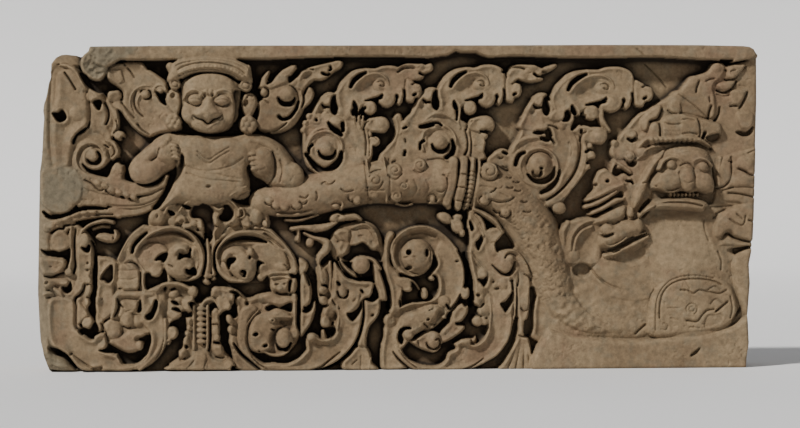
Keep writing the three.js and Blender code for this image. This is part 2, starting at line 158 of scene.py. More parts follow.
def hollow_form(x, side):
    """A channel between two rims"""
    return 1 - 0.42 * (1 - np.clip(x / 0.82, 0, 1) ** 2) - 0.25 * (np.clip(x - 0.86, 0, 1) / 0.14) ** 2


def tilted_form(x, side):
    """A slope that is highest at its right edge"""
    return 0.78 + 0.22 * x * side - 0.2 * (np.clip(x - 0.86, 0, 1) / 0.14) ** 2


def tipped_form(x, side):
    """A slope that is highest at its left edge"""
    return 0.78 - 0.22 * x * side - 0.2 * (np.clip(x - 0.86, 0, 1) / 0.14) ** 2


def stroke(route, half, top, form=round_form, soft=0.0):
    """A ridge along a route, with its half width in squares and its top in mm, each a number or a list"""
    line = smooth(route)
    wide = np.max(half) + 1
    lo, hi = line.min(0) - wide, line.max(0) + wide
    where, u, v = patch(lo[0], hi[0], lo[1], hi[1])
    far, side, share = follow(line, u, v)
    x = far / along(half, share)
    rise = along(top, share) * form(np.minimum(x, 1), side)
    add(where, np.where(x < 1, rise, NOWHERE), soft)


def groove(route, half, deep):
    """A line cut into what is there"""
    line = smooth(route)
    wide = np.max(half) + 1
    lo, hi = line.min(0) - wide, line.max(0) + wide
    where, u, v = patch(lo[0], hi[0], lo[1], hi[1])
    far, _, share = follow(line, u, v)
    x = np.clip(far / along(half, share), 0, 1)
    relief[where] -= along(deep, share) * (1 - x * x) ** 2


def slit(route, half, floor):
    """A drilled or sawn gap: nothing inside it stands over the floor"""
    line = smooth(route)
    wide = np.max(half) + 2
    lo, hi = line.min(0) - wide, line.max(0) + wide
    where, u, v = patch(lo[0], hi[0], lo[1], hi[1])
    far, _, share = follow(line, u, v)
    wall = np.clip(far - along(half, share), 0, None) * SLIT_SLOPE
    relief[where] = np.minimum(relief[where], along(floor, share) + wall)


def inside(line, u, v):
    """Whether each cell lies within a closed line"""
    odd = np.zeros(np.broadcast(u, v).shape, bool)
    for (u0, v0), (u1, v1) in zip(line, np.roll(line, -1, axis=0)):
        if v0 != v1:
            odd ^= ((v < v0) != (v < v1)) & (u < u0 + (v - v0) / (v1 - v0) * (u1 - u0))
    return odd


def outline(points, smoothly):
    """The points of a closed outline, drawn smooth or with its corners left"""
    return smooth(points, True)[:-1] if smoothly else np.asarray(points, float)


def area(points, top, edge=3.0, drop=0.35, dish=0.0, soft=0.0, smoothly=True):
    """A mass with a closed outline, rounded off by drop of its top over edge squares, hollowed by dish"""
    line = outline(points, smoothly)
    lo, hi = line.min(0) - 1, line.max(0) + 1
    where, u, v = patch(lo[0], hi[0], lo[1], hi[1])
    far = follow(np.vstack([line, line[:1]]), u, v)[0]
    within = inside(line, u, v)
    turn = 1 - np.clip(far / edge, 0, 1)
    rise = top * (1 - drop * turn * turn) - dish * np.clip((far - edge * 0.5) / (edge * 1.5), 0, 1)
    add(where, np.where(within, rise, NOWHERE), soft)


def sink(points, floor, edge=0.8, smoothly=True):
    """A deep hollow with a closed outline: nothing inside it stands over the floor"""
    line = outline(points, smoothly)
    lo, hi = line.min(0) - 1, line.max(0) + 1
    where, u, v = patch(lo[0], hi[0], lo[1], hi[1])
    far = follow(np.vstack([line, line[:1]]), u, v)[0]
    wall = np.where(inside(line, u, v), np.clip(1 - far / edge, 0, 1) * 14, 1e3)
    relief[where] = np.minimum(relief[where], floor + wall)


def dome(u0, v0, a, b, top, turn=0.0, deep=1.0, soft=0.0):
    """A rounded boss: half sizes a and b in squares, turned clockwise, falling by deep of its half size"""
    wide = max(a, b) + 1
    where, u, v = patch(u0 - wide, u0 + wide, v0 - wide, v0 + wide)
    c, s = np.cos(np.radians(turn)), np.sin(np.radians(turn))
    p, q = (u - u0) * c + (v - v0) * s, (v - v0) * c - (u - u0) * s
    x2 = (p / a) ** 2 + (q / b) ** 2
    fall = min(a, b) * SQUARE * 1e3 * deep * (1 - np.sqrt(np.clip(1 - x2, 0, 1)))
    add(where, np.where(x2 < 1, top - fall, NOWHERE), soft)


def dimple(u0, v0, a, b, deep, turn=0.0, floor=NOWHERE):
    """A rounded hollow cut into what is there, down to a floor at most"""
    wide = max(a, b) + 1
    where, u, v = patch(u0 - wide, u0 + wide, v0 - wide, v0 + wide)
    c, s = np.cos(np.radians(turn)), np.sin(np.radians(turn))
    p, q = (u - u0) * c + (v - v0) * s, (v - v0) * c - (u - u0) * s
    x2 = np.clip((p / a) ** 2 + (q / b) ** 2, 0, 1)
    cut = deep * (1 - x2 * x2)
    here = relief[where]
    relief[where] = np.minimum(here, np.maximum(here - cut, floor))


def arc(u, v, reach, start, end, count=None):
    """Points of an arc, in degrees clockwise from the right, with a reach that may change on the way"""
    count = count or max(4, int(abs(end - start) / 30) + 2)
    t = np.linspace(0, 1, count)
    angle = np.radians(start + (end - start) * t)
    r = along(reach, t)
    return np.column_stack([u + r * np.cos(angle), v + r * np.sin(angle)])


def beads(start, end, count, size, top, stretch=1.0, deep=0.9):
    """A row of equal beads"""
    turn = np.degrees(np.arctan2(end[1] - start[1], end[0] - start[0]))
    for t in np.linspace(0, 1, count):
        u, v = np.asarray(start) * (1 - t) + np.asarray(end) * t
        dome(u, v, size * stretch, size, top, turn, deep)


def curl(u, v, size, top, start=0):
    """A low coiled leaf end: a disc with a rounded rim and a spiral line"""
    dome(u, v, size, size, top, deep=0.35, soft=2)
    groove(arc(u, v, [size * 0.95, size * 0.6, size * 0.25], start, start + 420, 9), 0.9, 4)


def ease(t):
    """A step from 0 to 1 that starts and ends gently"""
    return t * t * (3 - 2 * t)


def grain(squares, seed):
    """Smooth random values from 0 to 1 over the sheet, with lumps of about the given size in squares"""
    rng = np.random.default_rng(seed)
    rows = int((FOOT - TOP) / squares) + 3
    cols = int((RIGHT - LEFT) / squares) + 3
    dots = rng.random((rows, cols))
    v = np.linspace(0, rows - SHORT_OF_LAST, len(down))
    u = np.linspace(0, cols - SHORT_OF_LAST, len(across))
    i, j = v.astype(int), u.astype(int)
    ease_v = ease(v - i)[:, None]
    ease_u = ease(u - j)[None, :]
    upper = dots[i][:, j] * (1 - ease_u) + dots[i][:, j + 1] * ease_u
    lower = dots[i + 1][:, j] * (1 - ease_u) + dots[i + 1][:, j + 1] * ease_u
    return upper * (1 - ease_v) + lower * ease_v


def plain_borders():
    """The rim along the top with its chip, the ledge at the lower right and the worn field over it"""
    area([(84, 40), (765, 40), (765, 56), (735, 62.5), (715, 60), (700, 59.5), (660, 57), (600, 58),
          (560, 57.5), (515, 56), (490, 57.5), (482, 55), (477, 52.5), (462, 52.5), (457, 51),
          (449, 55.5), (443, 56), (430, 58), (390, 56.5), (340, 57), (300, 58), (270, 59.5), (170, 60),
          (142, 60.5), (120, 60), (106, 68), (95, 64)], 42, 1.6, 0.12, smoothly=False)
    area([(545, 236), (600, 214), (660, 200), (770, 185), (770, 330), (680, 345), (545, 345), (520, 300),
          (516, 240)], 24, 8, 0.3)


def left_edge():
    """The break at the left end: a worn slope, the smooth filled patch and the crack under it"""
    area([(36, 60), (60, 52), (78, 56), (84, 66), (74, 74), (60, 80), (56, 130), (62, 160), (60, 230),
          (54, 300), (56, 350), (36, 368)], 26, 16, 0.9)
    area([(41, 170), (58, 166), (74, 168), (81, 178), (81, 196), (74, 206), (66, 213), (56, 214), (46, 209),
          (40, 200)], 31, 2, 0.12)


def upper_left_leaves():
    """The leaves left of the bird figure, over one broad mass, and the break above them"""
    area([(50, 66), (64, 64), (78, 68), (90, 84), (104, 94), (112, 108), (116, 124), (112, 140), (120, 158),
          (122, 190), (76, 190), (60, 178), (50, 170), (48, 110)], 24, 5, 0.4)
    area([(56, 74), (62, 69), (70, 68), (79, 74), (86, 88), (89, 108), (88, 124), (82, 131), (75, 140),
          (72, 154), (68, 168), (52, 168), (50, 120), (54, 96)], 34, 6, 0.35, 4)
    stroke([(60, 64), (70, 67), (78, 76), (84, 88)], [2, 3, 3.5, 3], [30, 35, 36, 34])
    dome(77, 113, 8, 8, 36, deep=0.4, soft=3)
    groove([(64, 72), (69, 79), (75, 89)], 1.3, 12)
    groove([(57, 64), (66, 63.5), (73, 66.5)], 1.0, 6)
    groove([(87, 92), (89.5, 103), (90, 118), (87, 127)], 1.3, 15)
    sink([(51, 113), (57, 112), (61, 109), (65, 114), (65, 119), (58, 122)], 0)
    sink([(86, 126.5), (84, 131), (76, 136), (73, 144), (71, 141), (76, 133)], 3)
    area([(90, 96), (100, 98), (106, 108), (108, 124), (112, 134), (108, 146), (98, 134), (90, 130)],
         28, 4, 0.3)
    dome(94, 95, 8, 8, 36, deep=0.7)
    dome(114, 95.5, 7.5, 6.5, 36, deep=0.6)
    sink([(92, 101), (99, 99), (101, 102), (99, 110), (96, 108)], 2)
    groove([(104, 102), (108, 111), (107.5, 119), (105, 124)], 1.4, 14)
    dome(118, 105, 5, 8, 33, -30, 0.5)
    area([(118, 62), (140, 61), (150, 69), (160, 76), (168, 84), (170, 104), (182, 128), (160, 134),
          (148, 137), (135, 130), (122, 114), (119, 104), (122, 92), (108, 80), (106, 68)],
         34, 5, 0.35, 3)
    area([(107, 69.5), (121, 69.5), (124, 80), (119, 84), (107, 78)], 36, 1, 0.1, smoothly=False)
    groove([(117, 61.5), (122, 62), (125, 65)], 1.1, 8)
    groove([(127, 67.5), (131, 72), (134, 77)], 1.1, 7)
    groove([(121, 102), (127, 110), (134, 118)], 1.1, 8)
    groove([(137, 124), (142, 130), (149, 134.5)], 1.1, 9)
    stroke(arc(149, 101, [17, 15, 11], 120, 300), [4, 4.5, 3.5], [34, 38, 36], hollow_form)
    groove([(136, 90), (133.6, 98), (135, 107), (139, 113), (143, 116.5)], 1.1, 8)
    sink([(140, 90), (150, 90), (152, 96), (149, 99), (143, 99)], 17)
    dome(145, 94, 5, 4.5, 38)
    stroke(arc(160, 91, [7, 6], 170, 350), 1.8, [34, 38])
    sink([(155.5, 91), (158, 97), (162, 103), (168, 105), (167, 95), (163.5, 91.5), (160, 93)], 0)
    dome(160.5, 90.5, 3, 3, 37)
    sink([(109, 101), (114, 107), (121, 112), (123, 119), (131, 128), (140, 135), (149, 141), (146, 146),
          (138, 145), (128, 136), (120, 128), (115, 118)], 0)
    sink([(142, 61), (172, 60), (170, 70), (168, 80), (163, 77), (158, 70), (152, 68), (148, 69.5)], -2,
         smoothly=False)
    area([(80, 60), (88, 50), (104, 48), (108, 66), (103, 78), (98, 81), (90, 79), (82, 72)], 37, 2, 0.2)
    sink([(79, 72), (86, 75), (90, 80), (98, 81.5), (103, 78.5), (110, 82), (118, 89), (106, 91), (99, 93),
          (88, 87), (82, 80)], -2)


def top_left_fracture():
    """The rough broken stone that is left where the rim has gone"""
    crumble([(80, 52), (88, 47), (112, 46), (118, 56), (110, 66), (106, 76), (98, 83), (90, 79),
             (83, 68)], 3, 2.6, 31)


def left_scroll():
    """The scroll at the left over the serpent's tails"""
    area([(76, 140), (92, 129), (106, 132), (110, 150), (106, 172), (124, 184), (104, 184), (84, 178),
          (75, 164)], 22, 4, 0.3)
    stroke(arc(92, 158, [21, 20, 15], 110, 345), [4.5, 4.5, 4.5], [32, 34, 36], tilted_form)
    stroke(arc(93, 157, [12, 11, 9], -20, 250), [3.5, 3.5, 3], [36, 35, 33])
    dome(92, 155, 7, 6.5, 38, deep=0.8)
    slit(arc(92.5, 157, [6.5, 6.5], -50, 150), [0.8, 2, 0.8], 12)
    sink([(81, 163), (87, 168), (95, 170), (103, 167), (110, 160), (118, 157), (124, 160), (114, 163),
          (110, 174), (103, 180), (94, 176), (86, 171)], 0)
    area([(103, 181), (108, 174), (111, 166), (117, 162.5), (123, 163.5), (125, 170), (124, 178),
          (134, 184), (118, 188), (104, 186)], 33, 4, 0.4)
    stroke([(108, 101), (114, 112), (116, 124), (113, 134)], [3, 4, 3.5, 3], [30, 33, 32, 30])
    groove([(115.5, 120), (117, 128), (113, 133)], 1.1, 10)
    dome(119, 135.5, 6, 5, 35, deep=0.7)
    stroke([(106, 140), (113, 144), (117, 152), (112, 158)], [3, 3.2, 3, 2.5], [32, 34, 33, 30])
    groove([(104, 145), (108, 147.5)], 1.0, 10)
    groove([(112, 146), (114.5, 152), (111, 157)], 1.0, 9)
    sink([(121, 137), (125, 138), (128, 145), (127, 156), (123, 165), (117, 160), (121, 152)], 0)


def tail_bands():
    """The serpent's two thin tails, which run left from the figure's left fist"""
    stroke([(166, 178), (160, 184), (146, 189), (126, 189), (106, 186), (88, 182), (76, 178)],
           [4, 6, 7, 8, 9, 9, 8], [36, 35, 34, 33, 32, 31, 30], flat_form, soft=2)
    stroke([(164, 190), (150, 199), (132, 203), (112, 201), (94, 197), (78, 192)], [3.5, 5, 6, 6, 6, 6],
           [32, 30, 28, 27, 27, 28], flat_form, soft=2)
    scallops = [(84, 180), (92, 184.5), (95, 188), (100, 191), (104, 188), (106, 192), (112, 195),
                (116, 192.5), (119, 195.5), (123, 197.5), (126, 196.5), (131, 200), (135, 200),
                (139, 196), (150, 193.5), (163, 187.5)]
    groove(scallops, 1.2, 8)
    for u, v in ((97, 183), (104, 186), (111, 190), (118, 192.5), (126, 195), (133, 197.5)):
        dome(u, v, 4, 3, 37, 20, 0.8, 2)
    for u, v in ((50, 226), (58, 222), (66, 219), (75, 214), (84, 212), (92, 211)):
        dome(u, v, 4.5, 3, 34, -20, 0.8, 2)
    stroke([(164, 194), (152, 204), (138, 208), (106, 208.5)], [1.2, 1.8, 1.8, 1.5], [28, 26, 24, 24])
    groove([(104, 204.5), (120, 206), (138, 205.5), (152, 201), (161, 195)], 0.9, 6)
    stroke([(162, 200), (148, 209), (130, 213), (100, 213), (78, 215), (60, 221), (46, 228)],
           [1.5, 3, 4, 5, 6, 6, 5], [26, 25, 25, 26, 28, 29, 28], flat_form)
    beads((80, 203.5), (102, 203), 4, 5.5, 28, 0.95, 0.5)
    groove([(95, 214.6), (113, 214.6)], 1.1, 10)
    groove([(96, 218), (112, 218)], 0.9, 8)
    dome(117, 215, 5, 4, 28)
    slit([(106, 208.5), (88, 208), (78, 209.5), (68, 213.5), (58, 216.5), (48, 217), (42, 212)],
         [0.6, 1.8, 2, 1.6, 1.6, 2.4, 1], 3)
    groove([(50, 233), (57, 229), (62, 229), (63, 225.5), (72, 225), (78, 222)], 1.4, 14)
    sink([(132, 179), (139, 185), (150, 186), (160, 182), (165, 174), (160, 172), (150, 176), (140, 177)],
         12)
    slit([(171, 171), (169, 182), (166, 192), (160, 202), (154, 208)], [1, 2, 2.6, 3.2, 2], 2)


def crown():
    """The tall crown with its bands and beads"""
    area([(171, 65), (180, 59), (195, 56.5), (212, 56), (230, 57.5), (243, 62), (251, 68), (250, 79),
          (240, 81), (228, 75), (210, 73), (195, 74), (182, 79), (171, 80)], 54, 4, 0.3)
    bands = [
        ([(176, 66), (182, 63.5), (195, 61), (210, 60), (228, 61.5), (240, 66), (247, 70)], 0.9, 4),
        ([(178, 70), (185, 66.5), (197, 63.5), (212, 63), (226, 65), (238, 69), (245, 74)], 0.9, 5),
        ([(179, 76), (187, 72), (198, 70), (212, 69.5), (225, 71.5), (235, 75.5), (241, 80)], 1.2, 8),
        ([(184, 78.5), (190, 75.5), (200, 73.2), (212, 72.9), (222, 74), (232, 78), (238, 82)], 1.1, 7),
    ]
    for route, half, deep in bands:
        groove(route, half, deep)
    for u, v in smooth([(181, 73), (190, 69.5), (200, 67.6), (212, 67), (224, 68), (235, 71.5),
                        (243, 77)], most=4.4):
        dome(u, v, 2.1, 1.9, 58, deep=0.9)
    stroke([(170, 66), (173, 72), (171, 79)], 4.5, 48)
    stroke([(250, 68), (248, 74), (250, 79)], 4.5, 48)


def head():
    """The figure's broad face: knit brows, bulging eyes, a broad beak drawn down over a pursed mouth"""
    area([(181, 82), (190, 75), (210, 72.5), (230, 76), (240.5, 84), (240.5, 102), (236, 118), (229, 129),
          (214, 134), (202, 132.5), (189, 126), (182.5, 112), (180.5, 98)], 54, 13, 0.5)
    dome(210, 85, 24, 12, 55, deep=0.4, soft=3)
    dome(191, 113, 10, 11, 54, deep=0.6, soft=4)
    dome(229, 113, 10, 11, 54, deep=0.6, soft=4)
    dome(208, 124, 17, 9, 55, deep=0.5, soft=4)
    dimple(195.5, 100, 10.5, 8, 6)
    dimple(222, 100.5, 10.5, 8, 6)
    stroke([(184, 99), (187, 93), (194, 90), (200, 92), (204, 97)], [2, 3.2, 3.4, 3.2, 2], 58, full_form, 3)
    stroke([(213, 97), (218, 91.5), (225, 90), (232, 93), (236, 99)], [2, 3.2, 3.4, 3.2, 2],
           58, full_form, 3)
    for u in (201.5, 206, 211, 215.5):
        dome(u, 92 + 0.3 * abs(u - 208.5), 2.6, 3.2, 60, deep=0.8, soft=1)
    for u in (205, 212.5):
        dimple(u, 95, 1.6, 2.2, 6)
    dome(195.5, 100, 7.4, 5.4, 62, 6, 1.0)
    dome(222, 100.6, 7.4, 5.4, 62, -6, 1.0)
    groove([(188, 102), (193, 105.5), (199, 105.5), (203.5, 102)], 0.9, 4)
    groove([(214, 102.5), (219, 106), (225.5, 106), (230, 102.5)], 0.9, 4)
    groove([(188.5, 100), (195, 99), (202, 100.5)], 0.8, 4)
    groove([(215.5, 101), (222, 99.6), (229, 101)], 0.8, 4)
    area([(205, 98), (211.5, 98), (216, 105), (223, 113), (219.5, 117.5), (213.5, 119), (208, 123),
          (202.5, 119.5), (196, 118), (193, 114), (200.5, 105)], 62, 8, 0.13, soft=3)
    area([(206.5, 100), (210.5, 100), (215.5, 108), (219, 113.5), (213, 117), (208, 120.5), (202.5, 117.5),
          (197, 114.5), (201.5, 108)], 66.5, 6, 0.09, soft=3)
    groove([(193.5, 115.5), (197, 118.6), (203, 120.3), (208, 124.3), (213, 120), (218.5, 118),
            (222, 114.8)], [0.8, 1.2, 1.4, 1.6, 1.4, 1.2, 0.8], [7, 11, 13, 14, 13, 11, 7])
    groove([(222, 114.8), (223.5, 118), (220.5, 120.5)], 0.8, 4)
    groove([(193.5, 115.5), (192, 118.5), (194.5, 120.5)], 0.8, 4)
    stroke([(197, 122.5), (203, 124.5), (208, 128), (213, 124.5), (219, 122.5)],
           [1.3, 1.8, 2.2, 1.8, 1.3], 57, soft=3)


def ears():
    """The ears, the curls over them and the rosettes that hang from them"""
    area([(167, 92), (172, 88.5), (180, 91), (182, 104), (178, 116), (170, 112), (165, 100)], 38, 3, 0.35)
    dimple(173, 95.5, 2.6, 3.2, 9)
    groove([(168, 93), (173, 90.5), (179, 92)], 0.9, 5)
    area([(242, 97), (246, 92.5), (252, 92), (257, 97), (258, 104), (254, 114), (250, 118), (244, 114),
          (241, 104)], 38, 3, 0.4)
    dimple(246, 103, 3, 4, 12)
    groove([(247, 98), (249, 95), (253, 96)], 1.2, 8)
    for u, v, size in [(175, 84, 6), (246, 85.5, 6.5)]:
        dome(u, v, size, size, 47, deep=0.5)
        groove(arc(u, v, size * 0.55, 0, 330), 0.9, 5)
    for u, v, size in [(173.5, 122, 8.5), (248, 124.5, 9.5)]:
        dome(u, v, size, size, 44, deep=0.4)
        for turn in range(0, 360, 60):
            p = arc(u, v, size * 0.62, turn, turn, 4)[0]
            dome(p[0], p[1], size * 0.34, size * 0.34, 46, deep=0.9)
        dome(u, v, size * 0.28, size * 0.28, 47)


def trunk():
    """The chest with its crossed cord, and the round belly"""
    area([(156, 141), (164, 134), (178, 133), (195, 135), (232, 135.5), (250, 133), (266, 139), (262, 156),
          (250, 170), (250, 184), (249, 196), (238, 200), (226, 197), (214, 196), (205, 201), (196, 206),
          (180, 203), (168, 207), (157, 211), (165, 198), (172, 184), (176, 170), (172, 152)], 45, 11, 0.4)
    dome(194, 152, 19, 15, 51, -10, 0.4, 4)
    dome(229, 152, 20, 14, 51, 10, 0.4, 4)
    dome(209, 185, 33, 19, 50, 0, 0.5, 4)
    for high, wide in ((2.2, 1.2), (-1.6, 0.9)):
        groove([(197, 153 + high), (203, 158 + high), (209, 161 + high), (217, 156 + high),
                (229, 149 + high)], wide, 3.5)
    groove([(178, 160), (190, 168), (209, 171), (230, 166), (243, 158)], 1.4, 2.5)
    groove([(205, 172.5), (222, 175.5), (241, 179)], 0.9, 3)
    groove([(186, 173), (206, 179.2), (222, 180.5), (240, 182)], 0.9, 3.5)
    dimple(208.5, 186.5, 2.6, 1.8, 7)
    stroke([(230, 196), (237, 191), (246, 187)], [1.6, 2, 1.6], 45)
    sink([(236, 199), (241, 193.5), (249, 191), (250, 196), (246, 199)], 22)
    sink([(172, 172), (179, 163), (181, 154), (184, 158), (183, 168), (178, 180), (172, 184)], 18, 2)
    sink([(246.5, 167), (250, 165), (252, 174), (251, 184), (247.5, 178)], 20)


def arms():
    """Both arms bent at the elbow, each with its fist before the shoulder"""
    area([(168, 132.5), (156, 137), (146, 148), (134, 157), (127.5, 168), (131, 178), (142, 184.5),
          (155, 181.5), (166, 173), (175, 167), (178, 158), (178, 146), (176, 136)], 44, 9, 0.5, soft=3)
    stroke([(168, 140), (155, 150), (143, 162)], [7, 9, 10], 48, full_form, 4)
    dome(146, 171, 17.5, 12.5, 51, -18, 0.6, 3)
    dome(167, 152, 11.5, 10.5, 57, -20, 0.7, 2)
    dome(163, 145, 6, 4, 57, -35, 0.8, 2)
    groove([(159, 149), (157, 156), (151, 160.5)], 1.4, 7)
    groove([(134, 164), (143, 158), (150, 152)], 1, 2)
    for number in range(4):
        v = 145.5 + 4 * number
        dome(174 + 0.7 * number, v, 4.2, 2.4, 57, 15, 0.9)
        groove([(171 + 0.7 * number, v + 1.7), (178 + 0.7 * number, v + 2.6)], 0.8, 5)
    area([(248, 136), (262, 134), (275, 141), (285, 153), (298, 166), (304, 175), (301, 185), (290, 190),
          (274, 189), (262, 180), (252, 174), (248, 160)], 42, 9, 0.5, soft=3)
    stroke([(250, 140), (264, 143), (276, 151), (286, 163)], [6, 8, 9, 9], 47, full_form, 4)
    dome(290, 175, 14.5, 13.5, 50, 20, 0.6, 3)
    dome(262, 161.5, 11.5, 14, 57, 15, 0.7, 2)
    for number in range(4):
        v = 154 + 5 * number
        dome(252.5 + 0.6 * number, v, 4, 2.6, 54, -10, 0.9)
        groove([(249 + 0.6 * number, v + 2.4), (256 + 0.6 * number, v + 1.4)], 0.7, 4)
    groove([(272.5, 152), (275, 162), (274, 176), (268, 185)], [1, 1.5, 1.6, 1], 9)
    groove([(280, 160), (282.5, 170), (280, 182)], 1.1, 5)


def bird_figure():
    """The figure that grasps the serpent, with the deep shadows beside its head"""
    trunk()
    arms()
    head()
    crown()
    ears()
    sink([(233, 92), (240, 90), (241.5, 98), (241, 112), (239, 133), (231, 137), (224, 134), (232, 122),
          (235, 108)], 26)
    sink([(246, 61), (290, 59.5), (300, 59), (285, 66), (275, 78), (272, 79), (275, 70), (268, 70),
          (262, 78), (257, 90), (254, 92), (253, 80), (251, 66)], -2, smoothly=False)


def serpent_body():
    """The serpent from the figure's elbow to the harness, and its thick neck that drops to the ledge"""
    stroke([(262, 202), (280, 200), (300, 198), (320, 193), (345, 188), (370, 182), (400, 181), (430, 180),
            (455, 183), (475, 186)], [14, 19, 21.5, 21.5, 21.5, 22.5, 23.5, 23.5, 24, 24],
           [44, 48, 50, 50, 50, 51, 52, 52, 52, 52], full_form, 4)
    stroke([(470, 184), (495, 190), (515, 204), (532, 224), (545, 250), (553, 278), (562, 302), (585, 322),
            (620, 330)], [24, 25, 26, 25.5, 23, 21, 19, 14, 10],
           [50, 50, 50, 49, 48, 46, 42, 36, 30], full_form, 5)
    stroke([(278, 214.5), (296, 214.5), (313, 211.5)], [2.6, 2.6, 2], [37, 38, 37], soft=2)
    stroke([(286, 220), (300, 220), (318, 214.5)], [2, 2, 1.6], [31, 33, 32])
    groove([(275, 212), (296, 212), (312, 209)], 1, 6)
    groove([(280, 217.5), (298, 218), (315, 214.5)], 1, 9)
    for u, v, size in [(269, 201, 4), (276, 205, 4.5), (284, 206, 5), (296.5, 204, 5.5), (303, 200, 4)]:
        dome(u, v, size, size, 49, deep=0.35, soft=1)
        groove(arc(u, v, size * 1.02, 10, 160), 0.9, 8)
    for route in ([(322, 184), (325, 182), (328, 184.5), (332, 184), (335, 181)],
                  [(341, 189), (345, 192), (349, 191.5), (353, 190.5)],
                  [(300, 197), (305, 198.5), (308, 195.5)],
                  [(316, 192), (317.5, 196), (316, 200)],
                  [(388, 175), (392, 179), (397, 179), (402, 174)],
                  [(393, 166), (392.5, 163), (396, 161)],
                  [(414, 170.5), (418, 173), (423, 171), (427, 164)],
                  [(443, 175), (448, 176), (453, 172)],
                  [(403, 188), (406, 184), (407, 181)],
                  [(438, 191), (442, 192), (446, 188)],
                  [(366, 187), (372, 189), (379, 188), (383, 182)],
                  [(371, 173), (375, 171), (381, 170)]):
        groove(route, 1.15, 6)
    stroke([(327, 204), (333, 201), (339, 200), (343, 204), (341, 209)], 2, [42, 45, 46, 44, 41], soft=2)
    dome(336, 206, 4, 3, 44)
    groove([(332, 204), (336, 203), (340, 205)], 0.9, 6)
    for u, v, size in [(352, 197, 4), (357, 200.5, 4.5)]:
        dome(u, v, size, size, 46, deep=0.5)
        groove(arc(u, v, size, 20, 190), 1, 9)
    collar()
    harness()
    neck_carving()


def collar():
    """The collar and the framed panel of the body"""
    stroke([(367, 160), (369, 180), (371, 203)], 1.2, [46, 52, 40], soft=1)
    stroke([(384, 158), (387, 180), (387, 202)], 1.4, [44, 52, 40], soft=1)
    groove([(365, 161), (366.5, 180), (368.5, 204)], 0.9, 5)
    groove([(389.5, 159), (390, 180), (389, 202)], 0.9, 4)
    curl(375, 180, 7.5, 53, 200)
    dome(374, 196, 5, 4, 44, deep=0.6)
    groove([(366, 190), (375, 190.5), (384, 190)], 0.9, 5)
    sink([(369, 198), (373, 199), (378, 201), (376, 206), (370, 207)], 22)
    curl(395, 170, 6.5, 53.5, 20)
    curl(420, 165, 6.5, 53.5)
    curl(404, 186, 4.5, 54, 120)
    curl(449, 173, 4.5, 54, 60)
    for start in (394, 432):
        groove(arc(start, 198, 4.5, 0, 340), 0.9, 7)
    curl(397, 196, 6, 47, -40)
    stroke([(397, 203.5), (405, 205.5), (413, 204)], 1.2, 36)
    stroke([(430, 203), (437, 202.5), (443, 197), (447, 190)], 1.4, [36, 40, 43, 44])
    groove([(428, 160), (441, 159), (450, 162)], 0.9, 5)
    groove([(447, 178), (447.5, 186), (444, 196), (437, 203)], 1, 7)
    dome(433, 199.5, 3, 3, 42)
    for u in (414, 426):
        groove([(u, 180), (u + 3, 188), (u - 2, 197)], 1.3, 3)


HARNESS_FOOT = 207


def harness():
    """Three bands around the body: one plain, one of square beads and one of small beads"""
    stroke([(454, 161), (452, 185), (447, 203)], [5, 4.5, 4], [52, 53, 40], flat_form, 2)
    lines = [[(460, 160), (459, 172), (456, 188), (452, 203)],
             [(469.5, 160), (468.5, 172), (467, 188), (463, 204)],
             [(478, 160), (477, 170), (475, 185), (471, 203)]]
    stroke([(464.5, 160), (463.5, 172), (461.5, 188), (457.5, 207)], 4.6, [50, 55, 55, 42], flat_form, 1)
    stroke([(473.5, 160), (472.5, 172), (470.5, 188), (466.5, 207)], 3.6, [49, 54, 54, 41], soft=1)
    for route in lines:
        groove(route, 1.3, 11)
    for v in (174, 187, 200.5):
        lean = (v - 160) * 0.14
        groove([(460 - lean, v), (469 - lean, v + 0.6)], 0.9, 8)
    for v in np.arange(171, HARNESS_FOOT, 4.4):
        lean = (v - 160) * 0.15
        groove([(470 - lean, v), (477 - lean, v + 0.8)], 0.8, 8)
    dome(450, 203, 4, 7, 36, 12, 0.8)
    sink([(454, 198), (456, 209), (463, 212), (468, 208), (466, 214), (456, 213), (452, 206)], 6)


